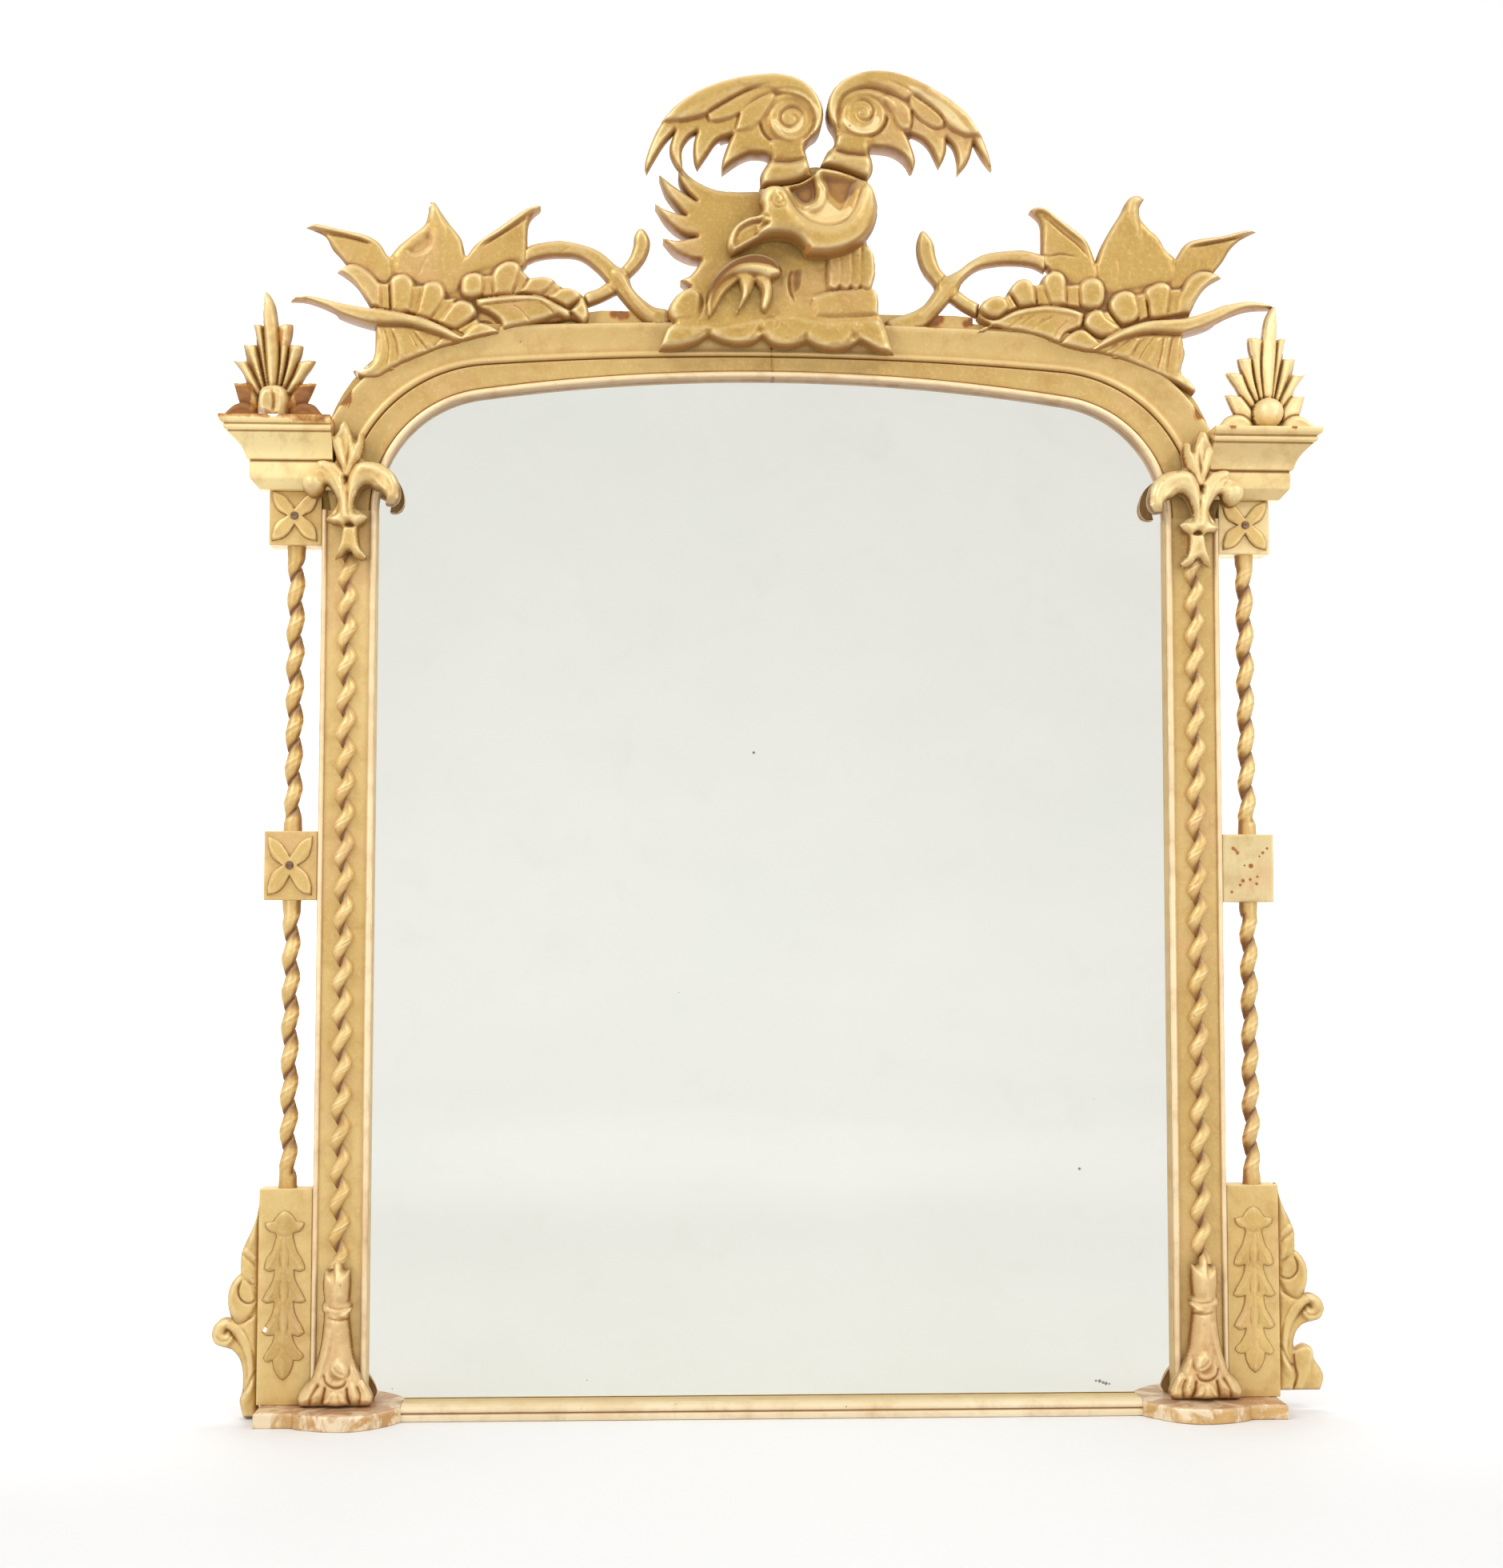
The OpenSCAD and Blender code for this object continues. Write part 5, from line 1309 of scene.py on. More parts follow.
# left wing -----------------------------------------------------------------
A = on(795, 80, 6.273)
LWING = [(807, 214, 1), (805, 205), (811, 183), (820, 162), (833, 142), (850, 126), (875, 111), (905, 100), (940, 93),
         (975, 92), (1000, 99), (1017, 113), (1027, 132), (1028, 148), (1022, 165), (1010, 175), (1006, 184), (1011, 205),
         (1015, 219, 1), (985, 229), (950, 233, 1), (950, 218), (957, 205), (962, 198), (958, 192), (945, 190), (935, 191),
         (922, 197), (902, 211, 1), (902, 200), (907, 184), (914, 167, 1), (896, 174), (884, 190), (871, 209, 1), (867, 198),
         (866, 180), (870, 163, 1), (860, 170), (852, 184), (853, 214, 1), (842, 202), (836, 184), (843, 162, 1), (830, 176), (818, 195)]
r = Relief(laid(LWING, 84), edge=78, top=84.5, R=9, draw_h=84, seed=11)
# the lower feathers, nearly flat, falling away to their points
r.leaf(A([(60, 850, 1), (60, 700), (130, 560), (215, 440), (300, 480), (240, 560), (160, 700), (110, 830)]), A([(85, 840), (130, 650), (230, 470)]), 83.4, 1.6, 6)
r.leaf(A([(370, 850, 1), (300, 700), (265, 540), (330, 450), (500, 430), (480, 520), (400, 580), (345, 700)]), A([(362, 830), (310, 650), (380, 480)]), 83.4, 1.6, 6)
r.leaf(A([(480, 810, 1), (440, 700), (460, 560), (540, 450), (700, 440), (740, 530), (640, 580), (540, 680)]), A([(480, 790), (490, 650), (600, 490)]), 83.6, 1.8, 6)
r.leaf(A([(665, 820, 1), (680, 720), (760, 540), (860, 500), (990, 470), (1060, 640), (960, 680), (850, 690), (750, 760)]), A([(680, 800), (760, 690), (930, 590)]), 83.8, 2.0, 7)
# third feather
r.pad(A([(765, 525, 1), (785, 450), (804, 383, 1), (860, 330), (1000, 250), (1080, 240), (1030, 360), (975, 440), (900, 505), (820, 528)]), 88.8, edge=85.2, R=7)
r.groove(A([(804, 382), (793, 430), (768, 526)]), 2.4, 4.6, (0.02, 0.02))
r.groove(A([(776, 530), (850, 512), (930, 462), (985, 390)]), 2.0, 1.2, (0.1, 0.3))
# second, long feather with a blunt end
r.pad(A([(550, 398, 1), (600, 366), (700, 306), (860, 220), (1010, 176), (1180, 165), (1240, 205), (1080, 225), (960, 262), (860, 330), (790, 400),
         (700, 437), (620, 454), (572, 460, 1)]), 89.2, edge=85.4, R=6)
r.groove(A([(546, 394), (556, 430), (574, 460)]), 2.1, 3.6, (0.02, 0.02))
r.groove(A([(574, 460), (650, 454), (740, 430), (800, 388)]), 1.8, 1.5)
# the outer feather, running into the volute
r.pad(A([(190, 450, 1), (230, 400), (400, 230), (700, 90), (1100, 40), (1400, 160), (1500, 350), (1440, 560), (1310, 610, 1), (1392, 500), (1392, 400), (1330, 300),
         (1230, 250), (1120, 232), (1020, 200), (860, 213), (700, 297), (590, 361), (540, 400), (430, 433), (300, 453)]), 92.6, edge=87.5, R=9)
r.groove(A([(552, 392), (600, 360), (700, 300), (860, 217), (1000, 176), (1110, 168)]), 1.9, 3.2, (0.02, 0.35))
r.groove(A([(1000, 262), (1070, 218), (1180, 205), (1290, 228), (1370, 300), (1400, 390)]), 2.6, 2.0, (0.3, 0.4))
r.groove(A([(225, 425), (330, 450), (440, 438), (540, 402)]), 2.2, 1.5, (0.3, 0.2))
r.ridge(A([(300, 390), (480, 300), (720, 190), (980, 120), (1180, 120)]), 7.0, 0.9, (0.3, 0.3))
# the volute: a dished disc with a low spiral line winding in to a dot
r.pad(A(disc((1205, 450), 168)), 88.0, edge=84.5, R=8)
r.hollow(A(disc((1236, 418), 168)), 83.5, 22.0)
r.ridge(A([(1066, 400), (1074, 480), (1120, 558), (1190, 604), (1262, 604), (1316, 572)]), 8.0, 4.2, (0.35, 0.35))
r.ridge(A([(1060, 316), (1130, 272), (1240, 262), (1330, 306), (1390, 390), (1380, 510)]), 6.0, 4.2, (0.25, 0.3))
r.pad(A(disc((1208, 436), 74)), 86.6, edge=83.6, R=9)
r.groove(A([(1300, 520), (1322, 450), (1300, 380), (1240, 340), (1170, 352), (1130, 402), (1138, 462), (1184, 496), (1238, 484), (1262, 440), (1236, 404), (1200, 412), (1196, 436)]), 3.0, 3.4, (0.35, 0.1))
r.groove(A([(1200, 438), (1212, 442)]), 2.2, 3.2, (0.01, 0.01))
r.groove(A([(966, 452), (992, 530), (1042, 590), (1110, 630), (1210, 638), (1300, 608)]), 3.4, 6.0, (0.05, 0.4))
# neck and collar
r.pad(A([(1045, 600), (1330, 585), (1325, 660), (1350, 745), (1080, 760), (1050, 700)]), 88.5, edge=80, R=10)
r.pad(A([(1045, 765, 1), (1200, 775), (1345, 745, 1), (1368, 822, 1), (1290, 895), (1150, 935), (980, 965, 1), (978, 870)]), 92.0, edge=80, R=11)
r.groove(A([(1060, 762), (1120, 770), (1200, 768), (1270, 750), (1330, 730)]), 2.4, 2.6, (0.1, 0.1))
r.groove(A([(1110, 740), (1180, 752), (1260, 738)]), 2.0, 0.8)
rim(r, 4.5, 73)
r.finish(0.3, 1.0)
# painted highlight on the volute's lower rim, painted shade under the volute, and a paler band along the outer
# feather's upper edge
r.tint([(964, 150), (970, 162), (984, 169), (999, 164), (1006, 150), (1002, 142), (996, 152), (984, 157), (973, 152)], -1.1, 3.5)
r.tint([(962, 186), (985, 190), (1006, 184), (1010, 192), (985, 197), (960, 196)], 0.35, 3.0)
r.tint([(812, 190), (830, 160), (856, 138), (900, 116), (930, 108), (930, 118), (900, 126), (860, 148), (835, 170)], -0.35, 6.0)
LW_BACK = lambda P: np.where(P[:, 0] < at(930, 150, 84)[0], 62.0, np.where(P[:, 1] < at(980, 200, 84)[1], 72.0, 48.0))


def back_steps(h0, cuts):
    """A back that steps forward: cuts are (u0, v0, u1, v1, drawn at, height)."""
    boxes = []
    for u0, v0, u1, v1, hd, h in cuts:
        a, b = at(u0, v1, hd), at(u1, v0, hd)
        boxes.append((a[0], a[1], b[0], b[1], h))

    def f(P):
        out = np.full(len(P), float(h0))
        for x0, z0, x1, z1, h in boxes:
            out = np.where((P[:, 0] >= x0) & (P[:, 0] <= x1) & (P[:, 1] >= z0) & (P[:, 1] <= z1), np.maximum(out, h), out)
        return out

    lines = []
    for x0, z0, x1, z1, h in boxes:
        for q in (-0.4, 0.4):
            for (a, b) in (((x0 + q, z0), (x0 + q, z1)), ((x1 + q, z0), (x1 + q, z1)), ((x0, z0 + q), (x1, z0 + q)), ((x0, z1 + q), (x1, z1 + q))):
                L = math.hypot(b[0] - a[0], b[1] - a[1])
                lines.append(np.array([(a[0] + (b[0] - a[0]) * t, a[1] + (b[1] - a[1]) * t) for t in np.linspace(0, 1, max(2, int(L / 5)))]))
    return f, lines


o = relief_object("eagle_left_wing_carving", r, 48, back_of=back_steps(48, [(780, 80, 900, 260, 84, 62), (930, 200, 1040, 250, 84, 72)]), mats=GILT_CREST)
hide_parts("eagle_left_wing")

# right wing ----------------------------------------------------------------
B = on(1010, 75, 6.533)
RWING = [(1025, 206, 1), (1034, 188), (1042, 180), (1044, 164), (1036, 150), (1033, 135), (1037, 118), (1048, 103), (1065, 93),
         (1085, 88), (1105, 88), (1130, 93), (1160, 105), (1185, 119), (1205, 137), (1220, 157), (1230, 175), (1237, 195),
         (1240, 210, 1), (1229, 196), (1217, 176, 1), (1211, 198), (1197, 216, 1), (1197, 200), (1192, 182), (1183, 172, 1),
         (1182, 190), (1174, 207, 1), (1169, 196), (1160, 180), (1148, 170), (1132, 164, 1), (1140, 184), (1144, 200),
         (1141, 212, 1), (1132, 197), (1118, 187), (1100, 183), (1087, 185), (1090, 200), (1090, 214), (1084, 224, 1),
         (1060, 215), (1040, 209)]
r = Relief(laid(RWING, 84), edge=78, top=84.5, R=9, draw_h=84, seed=23)
r.leaf(B([(1500, 890, 1), (1440, 820), (1350, 660), (1300, 560), (1420, 580), (1470, 700), (1500, 800)]), B([(1490, 870), (1420, 700), (1340, 580)]), 83.4, 1.6, 6)
r.leaf(B([(1205, 925, 1), (1210, 760), (1150, 620), (1120, 560), (1320, 560), (1320, 660), (1290, 820)]), B([(1215, 900), (1255, 740), (1210, 590)]), 83.4, 1.8, 6)
r.leaf(B([(1065, 870, 1), (1040, 780), (960, 660), (840, 600), (850, 440), (1100, 560), (1120, 660), (1110, 780)]), B([(1066, 850), (1050, 700), (930, 540)]), 83.6, 1.8, 6)
r.leaf(B([(855, 885, 1), (800, 800), (680, 715), (520, 690), (560, 560), (690, 470), (800, 590), (860, 700), (875, 800)]), B([(850, 860), (760, 700), (640, 600)]), 83.8, 2.2, 7)
# the oval second feather
r.pad(B([(838, 405, 1), (820, 330), (812, 262), (850, 285), (950, 350), (1050, 430), (1105, 500), (1100, 542), (1060, 565), (1000, 550), (900, 482)]), 88.6, edge=85.0, R=6)
r.groove(B([(880, 306), (950, 352), (1050, 432), (1106, 500), (1100, 544), (1058, 566), (1000, 551), (900, 482), (842, 410)]), 1.9, 2.8, (0.06, 0.05))
# third feather
r.pad(B([(838, 412, 1), (846, 500), (812, 598, 1), (730, 545), (690, 460), (650, 390), (620, 300), (760, 330)]), 89.4, edge=85, R=8)
r.groove(B([(842, 404), (844, 470), (840, 540), (812, 594)]), 2.3, 4.2, (0.05, 0.05))
r.groove(B([(800, 592), (745, 555), (705, 500), (690, 450)]), 2.0, 1.4, (0.1, 0.3))
# outer feather and the turn of the volute
r.pad(B([(1440, 620, 1), (1400, 560), (1300, 440), (1100, 290), (850, 140), (650, 50), (420, 70), (220, 170), (120, 340), (150, 500), (240, 630, 1), (232, 520), (232, 420), (272, 310), (370, 248),
         (500, 225), (620, 250), (720, 300), (790, 330), (860, 290), (960, 350), (1070, 440), (1120, 520), (1180, 575), (1280, 620)]), 92.6, edge=87.5, R=10)
r.groove(B([(560, 170), (680, 195), (790, 245), (870, 296), (960, 352), (1040, 425)]), 2.2, 2.6, (0.3, 0.1))
r.groove(B([(400, 225), (500, 205), (620, 235), (720, 290), (800, 350)]), 3.0, 1.6, (0.3, 0.3))
r.groove(B([(1120, 545), (1220, 600), (1330, 618), (1420, 605)]), 2.2, 1.6, (0.3, 0.2))
r.ridge(B([(850, 190), (1000, 270), (1160, 400), (1300, 530)]), 9.0, 1.6, (0.3, 0.3))
# the volute
r.pad(B(disc((446, 468), 172)), 88.0, edge=84.5, R=8)
r.hollow(B(disc((470, 434), 172)), 83.5, 22.0)
r.ridge(B([(270, 420), (286, 510), (350, 586), (440, 618), (530, 600), (590, 545)]), 8.0, 4.2, (0.35, 0.35))
r.ridge(B([(262, 420), (290, 340), (370, 284), (490, 272), (600, 310), (668, 380), (712, 470)]), 6.0, 3.8, (0.25, 0.3))
r.pad(B(disc((434, 446), 76)), 86.8, edge=83.6, R=9)
r.groove(B([(352, 520), (334, 440), (356, 366), (424, 330), (492, 346), (530, 404), (512, 468), (458, 496), (410, 474), (398, 426), (428, 400), (458, 414), (456, 440)]), 3.0, 3.2, (0.35, 0.1))
r.groove(B([(430, 450), (442, 454)]), 2.2, 3.2, (0.01, 0.01))
r.groove(B([(624, 440), (640, 485), (606, 556), (545, 612), (450, 640), (360, 624), (285, 578)]), 3.2, 6.0, (0.08, 0.5))
r.pad(B([(240, 600), (500, 620), (500, 700), (470, 770), (300, 760), (210, 700)]), 88.5, edge=80, R=10)
r.pad(B([(195, 735, 1), (320, 770), (495, 780, 1), (525, 850), (500, 975, 1), (380, 925), (240, 880), (90, 858, 1), (140, 790)]), 92.0, edge=80, R=11)
r.groove(B([(215, 735), (300, 765), (400, 782), (490, 782)]), 2.4, 2.4, (0.1, 0.1))
rim(r, 4.5, 73)
r.finish(0.3, 1.0)
# painted highlights on the volute's lower rim and along the outer feather, painted shade under the volute, a darker
# worn band along the top edge and a darker patch inside the turn
r.tint([(1052, 148), (1058, 162), (1074, 169), (1092, 164), (1100, 150), (1094, 144), (1086, 154), (1074, 158), (1062, 153)], -1.1, 3.5)
r.tint([(1074, 87), (1105, 86), (1135, 94), (1162, 106), (1158, 116), (1130, 105), (1100, 97), (1074, 97)], 0.42, 5.0)
r.tint([(1134, 108), (1160, 119), (1186, 136), (1204, 155), (1212, 170), (1196, 164), (1172, 144), (1140, 124)], -1.3, 7.0)
r.tint([(1042, 180), (1070, 184), (1090, 184), (1090, 196), (1066, 198), (1040, 190)], 0.35, 3.0)
r.tint([(1100, 118), (1120, 130), (1136, 150), (1138, 160), (1122, 150), (1104, 134)], 0.25, 4.0)
o = relief_object("eagle_right_wing_carving", r, 48, back_of=back_steps(48, [(1140, 70, 1260, 250, 84, 62), (1000, 196, 1120, 250, 84, 72)]), mats=GILT_CREST)
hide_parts("eagle_right_wing")

# head and neck ---------------------------------------------------------------
C = on(815, 190, 5.058)
HEAD = [(953, 235), (975, 231), (1000, 226), (1016, 217), (1024, 209), (1036, 209), (1060, 215), (1084, 224, 1), (1091, 237),
        (1096, 255), (1095, 275), (1087, 292), (1075, 305), (1055, 315), (1030, 320), (1008, 319, 1), (1002, 308), (990, 299),
        (972, 296), (955, 298), (940, 304), (926, 312), (913, 318, 1), (908, 308), (910, 295), (918, 282), (933, 272),
        (950, 266), (948, 250)]
r = Relief(laid(HEAD, 92), edge=92, top=95, R=6, draw_h=92, seed=31)
# a dished hollow between the neck and the two wings, its lower side turned up to the light
r.hollow(C([(838, 208, 1), (950, 170), (1060, 90), (1160, 100), (1300, 110), (1396, 150, 1), (1322, 236), (1306, 290), (1268, 380), (1212, 440), (1130, 468), (1050, 466), (968, 438), (900, 394), (856, 304)]), 83.0, 17.0)
r.ridge(C([(1052, 96), (1050, 170), (1078, 240), (1056, 318), (985, 350), (925, 350)]), 8.0, 6.0, (0.05, 0.2))
r.hollow(C([(850, 214, 1), (940, 180), (1034, 130, 1), (1046, 230), (1036, 290), (1000, 328, 1), (950, 326), (905, 292), (872, 255)]), 77.0, 6.0)
# head and neck in one: a thick round stem sweeping down from the brow, under, and up to the right
r.pad(C([(765, 203), (806, 214), (842, 252), (876, 312), (922, 380), (1000, 442), (1100, 468), (1200, 450), (1262, 385), (1302, 290), (1316, 236, 1), (1388, 150, 1), (1440, 240), (1440, 340), (1420, 450),
         (1360, 570), (1250, 650), (1100, 690), (955, 690, 1), (935, 605), (895, 560), (820, 548), (740, 560), (680, 560), (655, 500), (682, 440), (670, 400), (672, 310), (696, 246), (728, 212)]), 111.4, edge=92, R=21)
r.groove(C([(842, 256), (878, 318), (924, 386), (1000, 446), (1100, 472), (1202, 454), (1266, 388), (1306, 292), (1320, 236)]), 1.8, 2.6, (0.15, 0.15))
# the eye, a small curl
r.groove(C([(766, 290), (750, 322), (760, 360), (792, 377), (826, 358), (834, 318), (814, 286), (784, 278)]), 2.3, 3.6, (0.2, 0.1))
r.groove(C([(824, 322), (808, 348), (784, 348), (776, 328), (792, 314)]), 1.8, 3.2, (0.2, 0.1))
# beak: hooked upper half, open mouth, lower jaw
r.pad(C([(462, 640), (455, 575), (476, 500), (522, 436), (590, 392), (650, 374), (700, 386), (740, 430), (752, 462, 1), (690, 446), (616, 457), (552, 492), (526, 545), (512, 606, 1), (490, 655, 1)]), 104.5, edge=93, R=9)
r.pad(C([(482, 655, 1), (512, 606, 1), (600, 556), (690, 508), (752, 464, 1), (840, 490), (860, 565), (740, 556), (620, 590), (540, 632)]), 102.5, edge=93, R=9)
r.hollow(C([(514, 602, 1), (526, 548), (556, 495), (616, 461), (690, 450), (748, 462, 1), (690, 504), (600, 552)]), 98.5, 2.6)
r.ridge(C([(528, 572), (566, 516), (630, 480), (700, 464)]), 3.2, 2.2, (0.1, 0.2))
r.groove(C([(510, 607), (560, 578), (640, 533), (700, 499), (752, 463)]), 1.6, 3.0, (0.1, 0.1))
r.groove(C([(748, 462), (690, 447), (616, 458), (552, 494), (526, 546), (512, 604)]), 1.5, 1.6, (0.1, 0.1))
r.groove(C([(672, 340), (680, 384), (706, 416), (746, 446)]), 2.2, 2.2, (0.2, 0.2))
r.H = np.minimum(r.H, 111.4)
rim(r, 7.5, 78)
r.finish(0.25, 1.0)
# painted shade and reflection: deep and brown under the wings, in the hollows and along the neck's outer side; painted
# highlights where the turned-up side, the neck's inner rim and the brow catch the light
r.tint(C([(848, 214, 1), (950, 178), (1036, 140, 1), (1046, 230), (1040, 295), (1000, 334), (945, 326), (900, 292), (868, 250)]), 0.55, 4.0)
r.tint(C([(1084, 120, 1), (1200, 120), (1392, 158, 1), (1326, 232), (1250, 285), (1190, 325), (1130, 280), (1090, 200)]), 0.62, 5.0)
r.tint(C([(1040, 96), (1062, 180), (1086, 240), (1130, 300), (1190, 345), (1256, 330), (1258, 392), (1205, 436), (1120, 456), (1020, 440), (950, 396), (900, 340), (980, 350), (1045, 318), (1062, 250), (1040, 180)]), -1.3, 4.5)
r.tint(C([(1392, 180), (1436, 300), (1412, 450), (1352, 566), (1240, 648), (1100, 688), (955, 690), (946, 640), (1100, 640), (1220, 590), (1310, 500), (1360, 380)]), 0.78, 9.0)
r.tint(C([(1280, 330), (1312, 260), (1330, 236), (1336, 290), (1300, 380), (1240, 450), (1150, 500), (1140, 486), (1220, 440)]), -1.0, 3.0)
r.tint(C([(700, 262), (724, 222), (766, 204), (806, 216), (836, 252), (860, 300), (840, 292), (806, 246), (764, 232), (728, 248)]), -1.0, 2.5)
r.tint(C([(700, 250), (680, 300), (676, 380), (700, 420), (712, 360), (700, 300)]), 0.35, 3.0)
_nx, _nz = at(815 + 978 / 5.058, 190 + 622 / 5.058, 92)
_nw = blotches((_nx, _nz, 5.5))
NECK_WORN = lambda V: 0.60 * _nw(V)
o = relief_object("eagle_head_carving", r, 72.4, mats=GILT_CREST, back_of=None, bare=NECK_WORN)
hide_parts("eagle_head")

# claw ----------------------------------------------------------------------
CLAW = [(885, 397, 1), (882, 372), (889, 350), (902, 334), (920, 321), (942, 316), (962, 320), (975, 331), (976, 342), (964, 347, 1),
        (966, 365), (957, 390, 1), (950, 382), (951, 362), (944, 350, 1), (938, 366), (918, 393, 1), (926, 366), (923, 348, 1),
        (906, 364), (893, 386)]
r = Relief(laid(CLAW, 86), edge=74, top=80, R=4, draw_h=86, seed=41)
r.pad(C([(338, 1035, 1), (345, 850), (385, 760), (450, 690), (540, 640), (640, 612), (740, 634), (815, 684), (838, 740), (800, 795), (740, 802), (670, 775), (560, 765), (480, 790), (410, 850), (378, 940), (370, 1035, 1)]),
      90.5, edge=78, R=11)
r.leaf(C([(505, 1040, 1), (550, 930), (556, 840), (536, 760), (635, 760), (618, 860), (585, 960)]), C([(515, 1020), (580, 920), (592, 780)]), 81, 4.0, 4)
r.leaf(C([(686, 1020, 1), (690, 940), (700, 860), (655, 770), (760, 780), (755, 880), (735, 970)]), C([(692, 1005), (722, 900), (710, 790)]), 81, 4.0, 4)
rim(r, 4.0, 73)
r.finish(0.2, 0.8)
# a dark brown band painted along the top of the arch as reflection and shade, and a painted highlight on its lower
# swell
r.tint(C([(340, 960), (344, 840), (396, 735), (456, 672), (550, 622), (640, 594), (745, 612), (812, 656), (846, 730), (812, 764), (740, 728), (650, 712), (560, 722), (486, 764), (420, 832), (380, 900)]), 2.0, 4.0)
r.tint(C([(500, 760), (600, 712), (730, 722), (800, 752), (790, 790), (720, 790), (620, 766), (530, 780)]), -0.9, 4.0)
o = relief_object("eagle_claw_carving", r, 72, mats=GILT_CREST)
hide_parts("eagle_claw")

# body, feather panel and rock ------------------------------------------------
BODY = [(848, 199, 1), (860, 215), (880, 228), (905, 235), (948, 236, 1), (955, 214, 1), (1000, 206), (1050, 206), (1082, 216, 1), (1084, 300),
        (1092, 318), (1094, 340), (1090, 358, 1), (1097, 368), (1098, 390, 1), (1104, 396, 1), (1110, 415), (1118, 440, 1),
        (1100, 438), (1088, 432), (1075, 425, 1), (1062, 433), (1045, 437), (1025, 434), (1008, 426, 1), (995, 431),
        (980, 433), (965, 430), (953, 420, 1), (940, 428), (920, 430), (900, 426), (885, 419, 1), (870, 428), (850, 434),
        (823, 436, 1), (828, 422), (833, 410), (842, 402, 1), (834, 390), (838, 376), (850, 363), (862, 357, 1), (850, 347, 1),
        (864, 340), (876, 322, 1), (860, 319), (842, 310), (828, 294, 1), (845, 297), (871, 293, 1), (850, 287), (832, 272),
        (818, 250, 1), (830, 258), (857, 266, 1), (842, 250), (831, 235), (823, 214, 1), (838, 226), (870, 248, 1),
        (857, 234), (848, 218)]
r = Relief(laid(BODY, 68), edge=54, top=61.5, R=8, draw_h=68, seed=51)
# the breast swells forward below the head
r.swell(C([(200, 700, 1), (380, 640), (620, 600), (900, 560), (1480, 520, 1), (1540, 800), (1540, 1300, 1), (0, 1300, 1), (60, 1000), (120, 800)]), 4.5, 34.0)
r.swell(C([(60, 960, 1), (330, 930), (620, 900), (900, 900), (1200, 880), (1560, 880, 1), (1560, 1320, 1), (0, 1320, 1)]), 4.5, 30.0)
# neck feathers: fluted columns with scalloped ends
for a, b in ((1112, 1192), (1186, 1262), (1256, 1322), (1316, 1410)):
    r.pad(C([(a, 590, 1), (b, 580, 1), (b + 2, 830), ((a + b) / 2, 876), (a - 2, 850)]), 73.5, edge=68.5, R=6.5)
r.pad(C([(1005, 918, 1), (1120, 885), (1400, 860, 1), (1450, 900), (1450, 1034, 1), (1030, 1040, 1), (1012, 980)]), 73.0, edge=69.0, R=8)
for a, b in ((1112, 1192), (1186, 1262), (1256, 1322), (1316, 1400)):
    r.groove(C([(a, 846), ((a + b) / 2, 876), (b, 838)]), 2.0, 2.6, (0.15, 0.15))
r.groove(C([(1112, 640), (1118, 740), (1116, 840)]), 2.2, 2.0, (0.4, 0.1))
r.groove(C([(1012, 925), (1030, 985), (1030, 1038)]), 2.4, 1.4)
r.groove(C([(884, 735), (866, 800), (872, 880), (910, 965)]), 3.0, 4.6, (0.12, 0.3))
r.hollow(C([(882, 745), (940, 735), (952, 800), (935, 870), (890, 890)]), 64.5, 8.0)
r.ridge(C([(850, 760), (840, 850), (870, 950)]), 6.0, 1.2, (0.3, 0.3))
# under-beak line of the breast
r.groove(C([(640, 560), (740, 540), (850, 552), (925, 590)]), 2.4, 1.0)
# the rock: egg-shaped stone at the left, then one low mass with a scalloped foot
r.pad(C([(104, 1000), (130, 925), (180, 868), (250, 846), (310, 880), (325, 960), (295, 1050), (215, 1085), (135, 1068)]), 71.5, edge=59, R=12)
r.groove(C([(310, 880), (322, 960), (300, 1040), (262, 1072)]), 2.2, 1.6, (0.3, 0.2))
r.pad(C([(26, 1250, 1), (60, 1140), (118, 1076), (250, 1086), (330, 1072), (420, 1086), (560, 1060), (700, 1030), (850, 1010), (1000, 1040), (1200, 1050), (1440, 1034, 1), (1480, 1110), (1535, 1290, 1), (1430, 1270), (1340, 1230),
         (1285, 1180, 1), (1220, 1235), (1130, 1258), (1040, 1240), (965, 1192, 1), (850, 1248), (750, 1218), (688, 1145, 1), (620, 1212), (520, 1232), (410, 1196), (345, 1158, 1), (250, 1216), (130, 1242)]), 73.0, edge=58, R=12, noise=0.35)
for P in ([(345, 1160), (372, 1128), (410, 1105)], [(690, 1150), (676, 1112), (684, 1080)], [(965, 1196), (972, 1160), (990, 1130)], [(1286, 1184), (1262, 1150), (1250, 1110)]):
    r.groove(C(P), 5.5, 2.6, (0.02, 0.7))
for P in ([(430, 1110), (520, 1090), (620, 1110)], [(800, 1100), (860, 1060), (900, 1080)], [(1060, 1130), (1150, 1110), (1220, 1130)], [(1340, 1120), (1400, 1090), (1450, 1130)], [(120, 1150), (220, 1120), (300, 1110)]):
    r.ridge(C(P), 12.0, 1.2, (0.3, 0.3))
r.groove(C([(330, 1078), (400, 1072), (450, 1095)]), 2.6, 1.0, (0.1, 0.4))
r.groove(C([(690, 1116), (700, 1070), (745, 1048), (788, 1075), (780, 1112), (750, 1118)]), 3.2, 2.0)
r.groove(C([(1290, 1090), (1320, 1080), (1345, 1110), (1330, 1140), (1300, 1140)]), 3.0, 1.2)
r.groove(C([(1030, 1046), (1200, 1048), (1430, 1036)]), 2.2, 1.8)
for p in ((845, 1183), (1297, 1092)):
    r.groove(C([(p[0] - 4, p[1]), (p[0] + 4, p[1])]), 1.8, 4.0, (0.01, 0.01))
